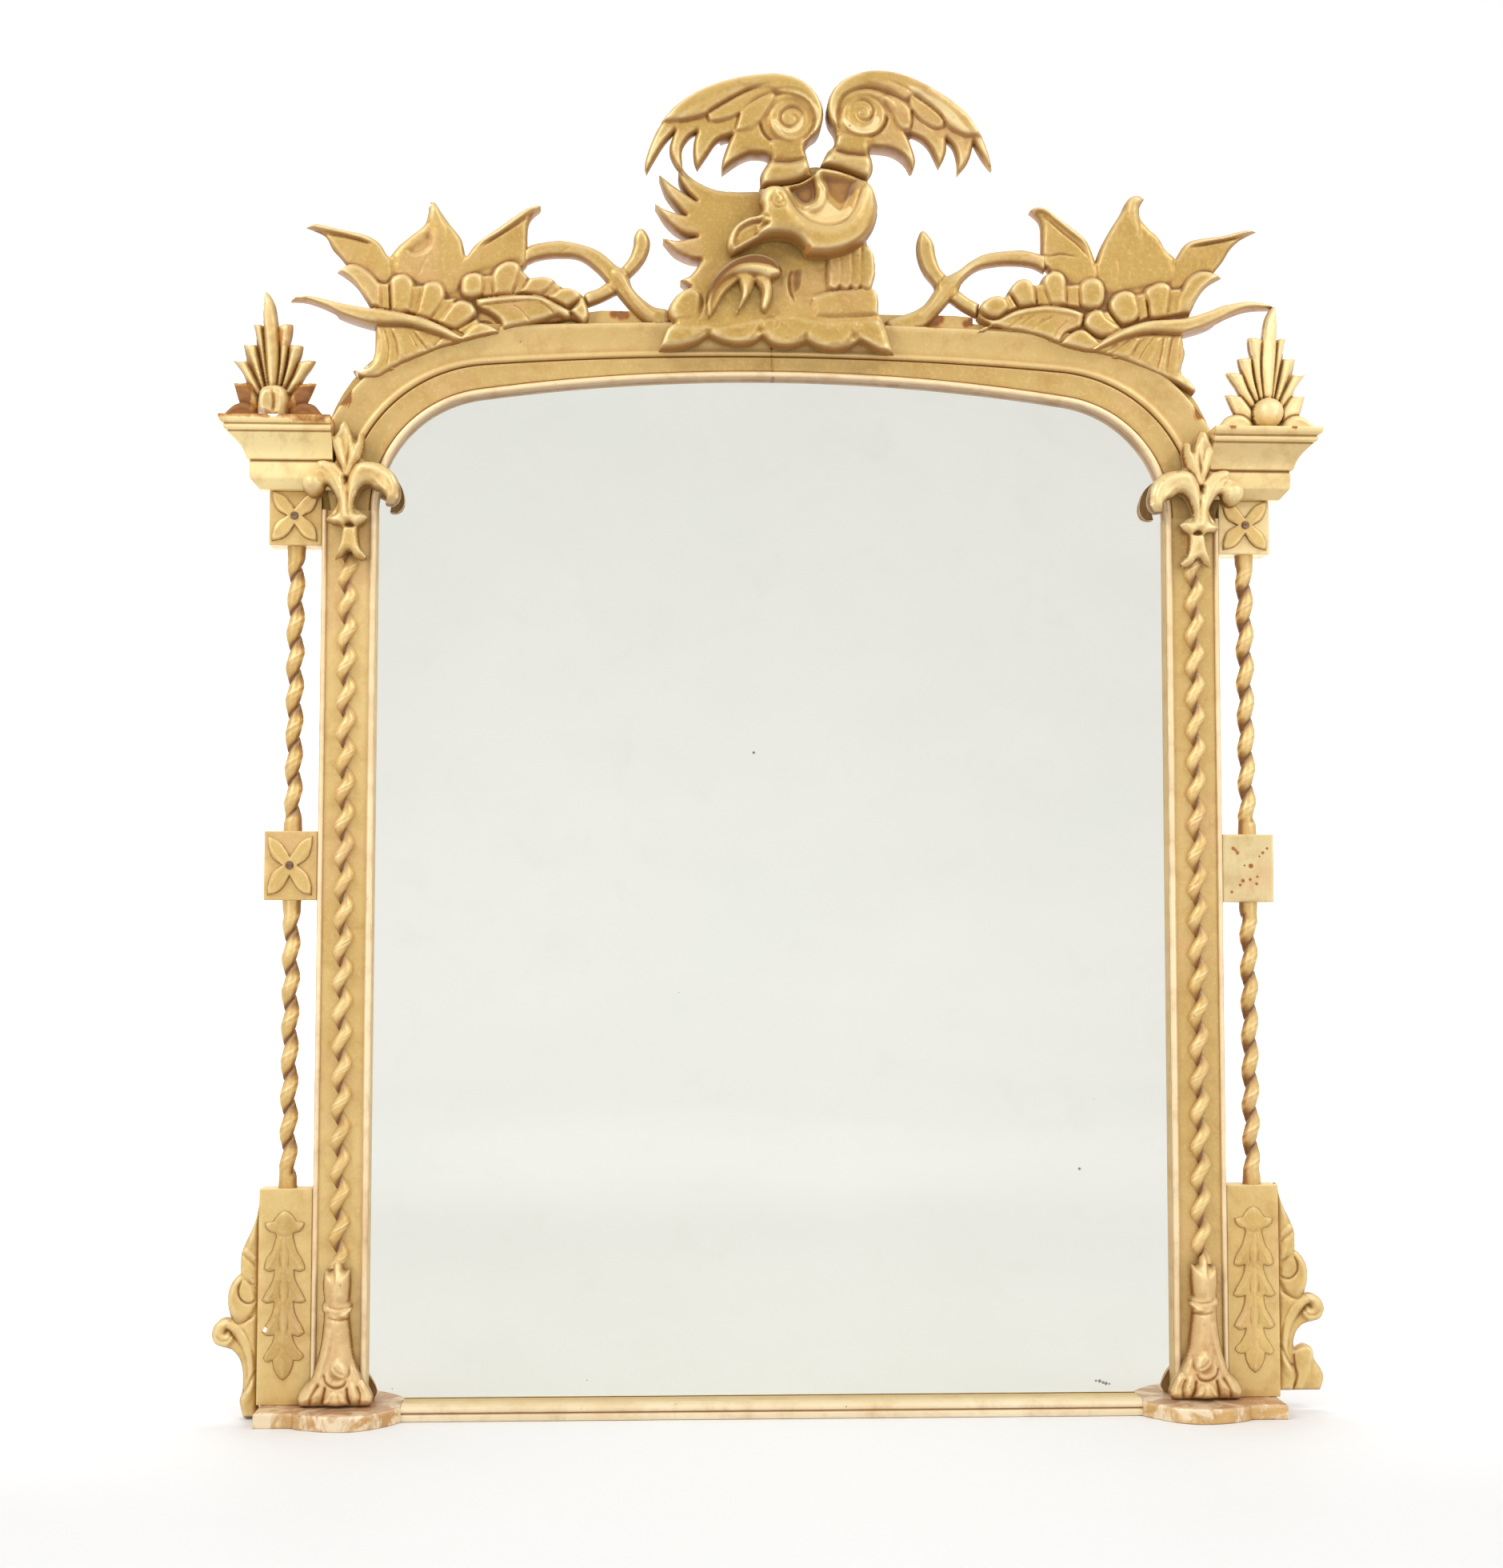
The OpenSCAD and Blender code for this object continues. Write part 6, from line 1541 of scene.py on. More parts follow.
# feather panel: nearly flat spikes
for P in ([(220, 90), (330, 220), (560, 360)], [(60, 140), (200, 300), (440, 420)], [(40, 320), (190, 440), (420, 500)], [(80, 535), (200, 585), (400, 600)], [(210, 780), (300, 720), (420, 700)]):
    r.ridge(C(P), 7.5, 0.9, (0.1, 0.6))
r.groove(C([(430, 250), (450, 330), (440, 420), (460, 520)]), 3.0, 0.8)
r.groove(C([(520, 270), (560, 330), (540, 400)]), 2.6, 0.7)
rim(r, 3.0, 50)
r.finish(0.35, 0.8)
# painted shade in the hollow beside the curl; darker patches left of the head, under the neck feathers and at the
# rock's right end
r.tint(C([(880, 738, 1), (946, 730), (952, 800), (936, 866), (900, 900), (912, 960), (880, 900), (866, 820)]), 0.65, 3.5)
r.tint(C([(620, 250), (700, 210), (700, 400), (640, 430), (600, 340)]), 0.35, 8.0)
r.tint(C([(1280, 880), (1440, 860), (1440, 900), (1300, 916)]), 0.25, 5.0)
r.tint(C([(1430, 1010), (1560, 1010), (1500, 1100), (1460, 1090)]), 0.6, 5.0)
_cb = CREST_BACK
o = relief_object("eagle_body_carving", r, 21, back_of=(lambda P: np.maximum(_cb[0](P) - 0.6, 20.4), _cb[1]), mats=GILT_CREST)
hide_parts("eagle_body")
# leaf sprays -----------------------------------------------------------------
def zone_back(h0, P4, drawn, h1):
    """Back at the arch steps, or at h1 inside a drawn patch."""
    C = np.array([at(u, v, drawn) for u, v in P4])
    lines = list(CREST_BACK[1])
    for d in (0.0, 1.0):
        Q = np.vstack([C, C[:1]]) + d
        lines.append(resample(Q, 5.0))

    def f(P):
        b = np.maximum(CREST_BACK[0](P), h0)
        return np.where(inside_poly(P, C), np.maximum(b, h1), b)
    return f, lines


def lip(r, P, w, height, dark=2.2):
    """A turned-over edge: a raised strip with a quirk under it."""
    r.ridge(P, w, height, (0.05, 0.25))
    C = [(p[0], p[1] + 4.2) for p in P]
    r.groove(C, dark, 2.6, (0.1, 0.3))


D = on(350, 240, 6.272)
E = on(560, 240, 5.407)
LSPRAY = [(380, 282, 1), (393, 277.5), (412, 281.5), (432, 286), (452, 290), (471, 300), (482, 316), (485, 318.5, 1), (497, 304), (514, 290), (529, 278), (534, 262), (535, 251),
          (541, 250), (549, 261), (562, 279), (575, 296), (580, 316), (583, 317, 1), (590, 306), (604, 294), (622, 281), (642, 267), (658, 257), (674, 254),
          (673, 258, 1), (662, 268), (658, 280), (657.5, 306, 1), (657, 325), (651, 333, 1), (656, 341), (664, 346), (678, 344), (692, 348, 1), (696, 354), (712, 359), (728, 368), (734, 382), (735, 396),
          (729, 404, 1), (722, 400), (714, 397), (700, 399, 1), (664, 405), (625, 415), (590, 423), (540, 438), (505, 455), (483, 468), (465, 474), (447, 470),
          (439, 462, 1), (452, 458), (462, 450), (467, 436), (468, 408, 1), (452, 404), (428, 396), (402, 384), (380, 377), (361, 376, 1), (370, 370), (382, 369), (398, 371), (420, 377),
          (440, 381), (463, 385, 1), (454, 372), (446, 360), (436, 350), (420, 339, 1), (426, 334), (432, 331, 1), (424, 321), (414, 310), (404, 293)]
r = Relief(laid(LSPRAY, 54), edge=41.5, top=45, R=6, draw_h=54, seed=61)
# back leaf: three flat petals with curled tips
r.pad(D([(190, 265, 1), (300, 300), (430, 460), (510, 555, 1), (760, 700), (850, 680), (860, 560), (835, 485), (760, 380), (640, 305), (390, 250), (270, 232)]), 47.5, edge=42.5, R=8)
lip(r, D([(196, 262), (260, 262), (390, 285), (560, 325), (680, 365), (760, 410)]), 5.2, 4.2)
r.groove(D([(330, 318), (430, 335), (560, 358), (680, 390), (740, 408)]), 2.6, 3.2, (0.05, 0.25))
r.groove(D([(580, 460), (640, 530), (700, 600)]), 2.2, 0.8)
r.pad(D([(868, 486, 1), (930, 405), (1030, 315), (1120, 240), (1155, 150), (1165, 70), (1215, 70), (1290, 200), (1380, 310), (1425, 400), (1440, 490, 1), (1400, 740), (1300, 800), (1050, 700), (900, 640)]), 48.5, edge=42.5, R=11)
r.ridge(D([(1180, 90), (1200, 170), (1230, 260), (1250, 400), (1240, 560)]), 11, 2.6, (0.1, 0.6))
r.hollow(D([(960, 440, 1), (1060, 380), (1160, 300), (1190, 420), (1130, 480), (1020, 500)]), 45.2, 7)
r.groove(D([(1165, 480), (1110, 560), (1080, 650)]), 3.0, 1.1)
r.groove(D([(1285, 420), (1260, 520), (1270, 640)]), 3.0, 0.9)
r.groove(D([(900, 610), (950, 600), (1010, 640)]), 2.6, 0.8)
r.pad(E([(-30, 560, 1), (105, 415, 1), (160, 365), (225, 300), (330, 230), (440, 150), (530, 90), (615, 80, 1), (540, 150), (532, 360), (510, 480, 1), (440, 455), (330, 500), (180, 540), (60, 640)]), 47.5, edge=42.5, R=9)
lip(r, E([(600, 88), (530, 122), (440, 185), (330, 262), (230, 322), (170, 380)]), 4.8, 4.4)
r.groove(E([(530, 158), (440, 222), (330, 290), (240, 350), (195, 372)]), 2.4, 3.4, (0.05, 0.3))
r.groove(E([(370, 400), (385, 440), (380, 470)]), 2.2, 0.8)
# scalloped leaf, left half: lobes with pipes between
r.pad(D([(435, 618, 1), (510, 568), (600, 573), (690, 628), (765, 706, 1), (788, 722), (792, 915, 1), (716, 900, 1), (620, 790), (540, 685)]), 56.5, edge=48.5, R=7.5)
r.ridge(D([(450, 622), (560, 650), (660, 720), (750, 860)]), 7, 1.4, (0.1, 0.3))
r.pad(D([(778, 716, 1), (850, 714, 1), (858, 925, 1), (782, 915, 1)]), 52.5, edge=48, R=4)
r.pad(D([(852, 700, 1), (880, 662), (930, 642), (990, 652), (1042, 712), (1040, 800), (1020, 935, 1), (940, 955), (864, 928, 1)]), 56.5, edge=48.5, R=8)
r.pad(D([(1030, 735, 1), (1115, 732, 1), (1075, 960, 1), (1005, 945, 1)]), 52.5, edge=48, R=4)
r.pad(D([(1108, 738, 1), (1150, 708), (1240, 708), (1285, 770), (1280, 850), (1175, 1000, 1), (1110, 990), (1055, 962, 1)]), 57.0, edge=49, R=8)
r.pad(D([(1270, 838, 1), (1375, 830, 1), (1260, 1030, 1), (1170, 1000, 1)]), 53.0, edge=48, R=4.5)
r.pad(D([(1345, 868, 1), (1420, 848), (1495, 872), (1535, 930), (1525, 965), (1450, 1035), (1370, 1075), (1300, 1060), (1235, 1022, 1)]), 57.5, edge=49, R=8)
r.pad(D([(1530, 990, 1), (1580, 1030, 1), (1430, 1112, 1), (1370, 1085, 1)]), 53.0, edge=48, R=3.5)
# the turned-over bowl of the scallop
r.pad(E([(82, 640), (100, 575), (160, 545), (225, 560), (242, 625), (225, 695), (150, 718), (95, 695)]), 58.0, edge=48.5, R=9)
r.pad(E([(228, 565, 1), (300, 560, 1), (300, 700, 1), (232, 705, 1)]), 52.5, edge=48, R=4)
r.pad(E([(285, 575, 1), (325, 505), (395, 466), (450, 472), (485, 505), (468, 600), (430, 695, 1), (300, 702, 1)]), 57.0, edge=48.5, R=8)
r.pad(E([(478, 515, 1), (545, 560, 1), (490, 680, 1), (430, 698, 1)]), 52.5, edge=48, R=4)
r.pad(E([(545, 575, 1), (600, 560), (680, 570), (722, 596, 1), (690, 650), (625, 702, 1), (480, 676, 1)]), 56.5, edge=48.5, R=8)
r.pad(E([(725, 600, 1), (765, 635, 1), (690, 712, 1), (625, 702, 1)]), 52.5, edge=48, R=3.5)
r.pad(E([(750, 650, 1), (840, 635), (905, 680, 1), (885, 725), (800, 775, 1), (740, 750), (672, 712, 1)]), 57.0, edge=48.5, R=7.5)
r.pad(E([(905, 700, 1), (945, 790), (950, 835), (915, 885, 1), (820, 800, 1)]), 55.0, edge=47.5, R=7)
r.groove(E([(800, 790), (860, 770), (912, 728)]), 2.4, 2.4, (0.1, 0.1))
# long leaf sweeping over, with its rib
r.pad(D([(62, 850, 1), (110, 820), (200, 808), (320, 825), (560, 880), (720, 905), (1000, 955), (1160, 1000), (1340, 1085), (1500, 1185, 1), (1380, 1175), (1280, 1138), (1160, 1100), (1000, 1052),
         (800, 1045), (640, 1032), (500, 992), (350, 925), (180, 860)]), 61.5, edge=50.5, R=9)
r.groove(D([(640, 905), (800, 930), (1000, 958), (1160, 1003), (1330, 1085)]), 2.0, 1.8, (0.2, 0.2))
# small front leaf on the right with its rib and barbs
r.pad(E([(180, 722, 1), (300, 705), (480, 692), (620, 700), (740, 755), (820, 800, 1), (810, 850), (740, 830), (640, 862), (560, 885), (460, 905), (370, 925, 1), (350, 870), (280, 815), (200, 775)]), 57.0, edge=49, R=7)
r.ridge(E([(185, 750), (320, 738), (480, 722), (620, 735), (720, 785), (800, 820)]), 5.0, 2.6, (0.1, 0.3))
r.groove(E([(190, 775), (300, 762), (430, 748), (600, 742), (700, 780)]), 1.8, 2.0, (0.1, 0.2))
r.groove(E([(430, 765), (490, 800), (550, 875)]), 2.2, 2.6, (0.1, 0.05))
r.groove(E([(620, 748), (680, 790), (712, 828)]), 2.2, 2.6, (0.1, 0.05))
r.groove(E([(190, 800), (270, 825), (330, 880), (360, 930)]), 2.4, 3.0, (0.1, 0.05))
r.pad(E([(75, 985, 1), (130, 930), (200, 880), (270, 895), (330, 930), (362, 968, 1), (240, 1000), (100, 1020)]), 56.0, edge=49.5, R=7)
r.groove(E([(192, 880), (262, 872), (322, 912), (356, 960)]), 2.8, 4.0, (0.05, 0.1))
# fan of ribs under the long leaf
r.pad(D([(742, 1040, 1), (900, 1046), (1050, 1062), (1200, 1105), (1330, 1150), (1440, 1180, 1), (1270, 1205), (1160, 1248), (960, 1325), (850, 1385), (740, 1445), (610, 1440), (560, 1390, 1), (680, 1362), (728, 1290), (736, 1180)]),
      52.5, edge=47, R=6)
for P in ([(805, 1062), (836, 1150), (846, 1250), (828, 1375)], [(858, 1062), (895, 1160), (912, 1260), (912, 1335)],
          [(1035, 1085), (1080, 1150), (1130, 1215), (1150, 1245)], [(1010, 1095), (1050, 1180), (1085, 1240)], [(1275, 1125), (1240, 1170), (1190, 1215)]):
    r.groove(D(P), 2.2, 2.4, (0.12, 0.08))
for P in ([(780, 1062), (800, 1180), (790, 1290), (730, 1385), (640, 1410)], [(880, 1062), (935, 1180), (950, 1300)], [(1060, 1085), (1120, 1150), (1170, 1220)]):
    r.ridge(D(P), 4.6, 1.6, (0.15, 0.15))
r.groove(D([(1040, 1078), (1160, 1092), (1300, 1138)]), 1.8, 1.6)
r.groove(D([(830, 1405), (960, 1345), (1120, 1280), (1280, 1225), (1430, 1190)]), 2.0, 1.6)
r.groove(D([(1060, 1198), (1064, 1206)]), 1.6, 2.5, (0.01, 0.01))
rim(r, 3.0, 38)
r.finish(0.3, 0.7)
_w = [at(u, v, 54) + (q,) for u, v, q in ((451, 462, 3.6), (457, 457, 2.4), (445, 467, 2.2), (534, 254, 3.4), (532, 260, 2.0))]
SPRAY_WHITE = blotches(*_w)
_d = [at(u, v, 54) + (q,) for u, v, q in ((441, 463, 1.8), (537, 250, 1.6))]
_db = blotches(*_d)
SPRAY_BARE = lambda V: 0.9 * _db(V)
o = relief_object("left_spray_carving", r, 22, mats=GILT_CREST, white=SPRAY_WHITE, bare=SPRAY_BARE, back_of=zone_back(22.3, [(345, 235), (484, 235), (484, 330), (470, 372), (345, 420)], 54, 40.2))
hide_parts("left_spray")

# right spray
F_ = on(1280, 230, 4.752)
G_ = on(1090, 270, 5.807)
RSPRAY = [(1289, 259, 1), (1297, 255), (1308, 257), (1325, 269), (1345, 284), (1360, 298), (1368, 316), (1371, 325, 1), (1379, 303), (1392, 279), (1404, 260), (1412, 245), (1424, 240), (1432, 245, 1),
          (1426, 256), (1427, 269), (1437, 281), (1452, 297), (1458, 308), (1467, 315), (1471, 320, 1), (1484, 301), (1500, 295), (1530, 291), (1560, 284), (1573, 286, 1),
          (1553, 296), (1540, 308), (1530, 324), (1519, 338, 1), (1528, 345, 1), (1511, 355), (1500, 368), (1488, 393, 1), (1510, 387), (1532, 378), (1555, 375), (1580, 377), (1598, 385, 1),
          (1560, 387), (1536, 395), (1510, 408), (1480, 417, 1), (1482, 442), (1478, 463), (1488, 474), (1497, 484), (1494, 490, 1), (1460, 472), (1420, 456), (1370, 441), (1330, 432), (1280, 421),
          (1240, 414), (1219, 415, 1), (1224, 409), (1237, 405, 1), (1228, 399), (1223, 393, 1), (1224, 383), (1234, 371), (1248, 367), (1258, 369, 1), (1262, 360), (1272, 349), (1284, 346), (1294, 353), (1302, 353, 1),
          (1305, 343), (1314, 337), (1306, 327), (1304, 316, 1), (1304, 290), (1302, 272)]
r = Relief(laid(RSPRAY, 54), edge=41.5, top=45, R=6, draw_h=54, seed=71)
r.pad(F_([(40, 138, 1), (95, 118), (160, 132), (215, 182), (305, 250), (375, 312), (412, 400), (432, 455, 1), (440, 560), (330, 600), (200, 520), (125, 500), (112, 400), (118, 200)]), 47.5, edge=42.5, R=9)
lip(r, F_([(52, 135), (120, 142), (190, 195), (280, 268), (350, 325), (395, 385)]), 4.8, 4.6)
r.groove(F_([(112, 168), (170, 222), (250, 292), (330, 358), (400, 440)]), 2.4, 3.4, (0.05, 0.2))
r.groove(F_([(104, 398), (150, 418), (210, 408), (260, 412), (330, 424)]), 2.2, 3.0, (0.05, 0.2))
r.pad(F_([(436, 460, 1), (480, 340), (540, 225), (592, 150), (618, 80), (665, 52), (718, 68, 1), (695, 120), (702, 190), (745, 245), (812, 300), (835, 350), (905, 432, 1), (900, 560), (740, 600), (640, 620), (500, 640), (440, 560)]), 48.5, edge=42.5, R=11)
r.ridge(F_([(690, 62), (655, 110), (650, 190), (665, 290), (680, 420)]), 9, 3.2, (0.05, 0.6))
r.groove(F_([(608, 150), (630, 220), (660, 290)]), 2.0, 1.6)
r.groove(F_([(560, 420), (570, 500), (560, 580)]), 3.0, 0.8)
r.pad(F_([(905, 440, 1), (980, 335), (1050, 308), (1200, 290), (1300, 262), (1390, 264, 1), (1290, 315), (1230, 372), (1180, 452), (1130, 515, 1), (1050, 520), (960, 600), (880, 600)]), 47.5, edge=42.5, R=8)
lip(r, F_([(1385, 268), (1300, 278), (1200, 306), (1060, 330), (990, 350), (950, 400)]), 4.6, 4.0)
r.groove(F_([(1290, 304), (1150, 335), (1050, 355), (1000, 372)]), 2.4, 3.2, (0.1, 0.3))
r.groove(F_([(1060, 440), (1040, 500)]), 2.2, 0.8)
# right half of the scallop
r.pad(F_([(252, 600, 1), (328, 590, 1), (330, 720, 1), (255, 712, 1)]), 52.5, edge=48, R=4)
r.pad(F_([(330, 600), (368, 562), (432, 555), (474, 595), (474, 690), (432, 738), (345, 722), (328, 650)]), 57.5, edge=48.5, R=9)
r.pad(F_([(512, 690), (560, 640), (620, 630), (666, 660), (684, 780), (600, 832), (545, 795), (510, 735)]), 57.5, edge=49, R=9)
r.pad(F_([(668, 655, 1), (722, 640, 1), (742, 785, 1), (684, 812, 1)]), 52.5, edge=48, R=4)
r.pad(F_([(718, 635), (770, 592), (832, 580), (872, 612), (864, 720), (850, 782, 1), (760, 792), (735, 705)]), 57.0, edge=48.5, R=8.5)
r.pad(F_([(868, 620, 1), (935, 615, 1), (930, 765, 1), (850, 780, 1)]), 52.5, edge=48, R=4)
r.pad(F_([(930, 640, 1), (975, 560), (1050, 512), (1125, 520), (1185, 545, 1), (1105, 592), (1040, 660), (985, 762, 1), (902, 770, 1), (912, 690)]), 56.5, edge=48.5, R=8)
r.ridge(F_([(1150, 548), (1060, 590), (980, 680), (940, 750)]), 6, 1.4, (0.1, 0.2))
r.pad(F_([(452, 760, 1), (500, 750, 1), (585, 860, 1), (560, 880, 1)]), 53.5, edge=48, R=4)
r.pad(F_([(362, 795), (400, 750), (455, 742), (500, 790), (560, 835), (578, 862, 1), (500, 905), (420, 890), (360, 835)]), 58.0, edge=49, R=9)
# left half of the scallop
r.pad(G_([(785, 650), (835, 592), (910, 566), (968, 590), (1000, 650), (960, 702), (900, 735), (820, 705)]), 57.0, edge=48.5, R=8.5)
r.pad(G_([(960, 570, 1), (1000, 560, 1), (1060, 655, 1), (985, 690, 1)]), 52.5, edge=48, R=4)
r.pad(G_([(990, 520), (1030, 462), (1120, 446), (1172, 490), (1192, 560), (1192, 640, 1), (1080, 652), (1035, 600)]), 57.0, edge=48.5, R=9)
r.pad(G_([(1180, 490, 1), (1240, 478, 1), (1300, 645, 1), (1200, 640, 1)]), 52.5, edge=48, R=4)
r.pad(G_([(1238, 480), (1265, 412), (1325, 390), (1392, 422), (1412, 500), (1414, 640, 1), (1305, 642), (1262, 560)]), 57.5, edge=48.5, R=9)
r.pad(G_([(1415, 495, 1), (1505, 500, 1), (1510, 655, 1), (1420, 645, 1)]), 52.5, edge=48, R=4)
# front leaf to the left
r.pad(G_([(775, 705, 1), (850, 745), (920, 742), (1060, 675), (1250, 645), (1400, 655), (1540, 700, 1), (1510, 800), (1400, 850), (1360, 915, 1), (1240, 870), (1100, 835), (980, 815), (870, 795), (800, 850), (735, 842, 1), (800, 800)]), 55.5, edge=49, R=6)
r.ridge(G_([(870, 765), (1060, 702), (1250, 675), (1400, 690), (1530, 715)]), 5.0, 2.4, (0.2, 0.1))
for P in ([(1100, 732), (1050, 760), (985, 812)], [(1255, 742), (1200, 780), (1145, 830)], [(1320, 725), (1250, 760), (1185, 810)], [(1425, 755), (1360, 810), (1312, 885)], [(1180, 722), (1130, 748), (1070, 800)]):
    r.groove(G_(P), 2.2, 2.4, (0.15, 0.1))
r.groove(G_([(1500, 800), (1420, 850), (1370, 915)]), 2.6, 3.6, (0.05, 0.05))
r.pad(F_([(215, 945, 1), (260, 892), (345, 858), (420, 905), (455, 945, 1), (400, 985), (300, 970)]), 56.0, edge=49.5, R=7.5)
# long leaf and fan
r.pad(F_([(400, 990, 1), (470, 920), (600, 850), (740, 808), (960, 790), (1080, 752), (1200, 712), (1320, 690), (1420, 700), (1518, 738, 1), (1460, 748), (1300, 752), (1100, 840), (950, 890), (750, 885), (600, 915), (480, 965)]), 61.5, edge=50.5, R=9)
r.groove(F_([(560, 868), (740, 812), (900, 795), (1060, 768)]), 2.0, 1.4, (0.2, 0.3))
r.pad(F_([(420, 985, 1), (600, 905), (800, 885), (945, 890, 1), (960, 1010), (942, 1110), (985, 1150), (1020, 1205), (1015, 1240, 1), (860, 1150), (700, 1075), (560, 1020)]), 52.5, edge=47, R=6)
for P in ([(632, 918), (580, 955), (515, 1008)], [(722, 905), (680, 950), (640, 1025)], [(775, 900), (715, 985), (680, 1050)], [(832, 895), (815, 1010), (790, 1110)], [(885, 895), (862, 1020), (848, 1130)], [(560, 945), (520, 970), (470, 1000)]):
    r.groove(F_(P), 2.2, 2.4, (0.12, 0.08))
for P in ([(680, 905), (630, 980), (590, 1020)], [(800, 900), (765, 1010), (735, 1070)], [(860, 895), (838, 1010), (820, 1110)], [(915, 900), (905, 1040), (900, 1140), (960, 1190)]):
    r.ridge(F_(P), 4.6, 1.6, (0.15, 0.15))
r.groove(F_([(440, 992), (560, 1035), (700, 1090), (860, 1165), (990, 1235)]), 2.0, 1.6)
rim(r, 3.0, 38)
r.finish(0.3, 0.7)
o = relief_object("right_spray_carving", r, 22, mats=GILT_CREST, back_of=zone_back(22.3, [(1473, 235), (1625, 235), (1625, 420), (1498, 400), (1473, 330)], 54, 40.2))
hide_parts("right_spray")

# tendrils: half-round stems crossing one another --------------------------------
LTEND = [(652, 312, 1), (662, 305), (672, 302), (698, 299), (724, 303), (748, 312), (770, 330), (776, 333, 1), (786, 320), (791, 305), (792, 294), (796, 286), (801, 283), (808, 290), (812, 302),
         (807, 320), (797, 334), (786, 345, 1), (790, 358), (802, 371), (818, 382), (834, 386), (838, 401, 1), (828, 409), (812, 405), (796, 394), (780, 377), (770, 365, 1), (752, 374), (733, 381, 1),
         (729, 367), (746, 359), (758, 351, 1), (744, 336), (724, 322), (700, 319), (672, 322), (652, 330, 1)]
r = Relief(laid(LTEND, 46), edge=37, top=45.5, R=9, draw_h=46, seed=81)
r.groove(E([(1165, 500), (1190, 530), (1225, 570)]), 2.0, 2.6, (0.05, 0.05))
r.groove(E([(1255, 380), (1290, 400), (1350, 385)]), 1.6, 0.6)
r.groove(E([(1070, 590), (1090, 640), (1130, 680)]), 2.0, 2.4, (0.05, 0.05))
r.groove(E([(740, 415), (800, 380), (850, 355)]), 1.8, 1.0)
r.ridge(E([(1100, 520), (1180, 600), (1260, 720), (1350, 820), (1430, 860)]), 7, 3.0, (0.1, 0.2))
r.groove(E([(1436, 876), (1440, 884)]), 1.6, 2.5, (0.01, 0.01))
rim(r, 3.0, 34)
r.finish(0.25, 0.8)
o = relief_object("left_tendrils_carving", r, 26, mats=GILT_CREST, back_of=(lambda P: np.minimum(np.maximum(CREST_BACK[0](P), 26.2), 44.9), CREST_BACK[1]))
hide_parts("left_tendrils")

RTEND = [(1312, 318, 1), (1300, 315), (1282, 310.5), (1260, 311), (1232, 315), (1214, 324), (1198, 336), (1184, 343, 1), (1176, 334), (1170, 318), (1167, 302), (1160, 291), (1153, 286), (1148, 294), (1146, 308),
         (1149, 325), (1156, 340), (1168, 355), (1169, 360, 1), (1156, 378), (1144, 386), (1128, 392), (1112, 397), (1107, 400, 1), (1112, 414), (1130, 414), (1155, 408), (1170, 394), (1188, 374, 1), (1204, 385), (1221, 394, 1),
         (1225, 378, 1), (1212, 371), (1199, 361, 1), (1204, 350), (1220, 336), (1240, 330), (1266, 328), (1292, 331), (1306, 338, 1)]
r = Relief(laid(RTEND, 46), edge=37, top=45.5, R=9, draw_h=46, seed=91)
r.groove(G_([(465, 512), (500, 470), (535, 430)]), 2.2, 3.2, (0.05, 0.05))
r.groove(G_([(570, 600), (610, 560), (635, 525)]), 2.0, 2.6, (0.05, 0.05))
r.groove(G_([(1050, 320), (1090, 290), (1140, 280)]), 1.8, 0.8)
r.ridge(G_([(330, 760), (440, 650), (540, 520), (680, 400), (850, 300)]), 7, 2.4, (0.1, 0.3))
rim(r, 3.0, 34)
r.finish(0.25, 0.8)
o = relief_object("right_tendrils_carving", r, 26, mats=GILT_CREST, back_of=(lambda P: np.minimum(np.maximum(CREST_BACK[0](P), 26.2), 44.9), CREST_BACK[1]))
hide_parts("right_tendrils")
# capitals ----------------------------------------------------------------------
K = on(250, 490, 5.807)
CAP = [(433, 526, 1), (439, 538), (442, 547), (446, 550), (450, 545.5), (454.5, 542, 1), (456.5, 556), (454, 573), (460, 577), (472, 578), (485, 585), (496, 597), (501, 614), (499, 626), (492, 633, 1), (483, 632, 1),
       (484, 624), (479, 617), (470, 613), (460, 608), (453, 611), (447, 621), (444, 634), (452, 639), (461, 647, 1), (455, 655), (449, 659), (449, 675), (452, 688), (459, 697),
       (452, 701, 1), (444, 697), (437, 690), (428, 697), (419, 700, 1), (422, 688), (426, 672), (428, 659),
       (417, 656), (407, 650, 1), (414, 641), (420, 632), (420, 623), (414, 612), (409, 609), (404, 618), (393, 623), (382, 616),
       (378, 605), (381, 595), (390, 590), (396, 585), (398, 579), (408, 577), (418, 578), (416, 562), (410, 549, 1), (420, 546), (424, 538)]


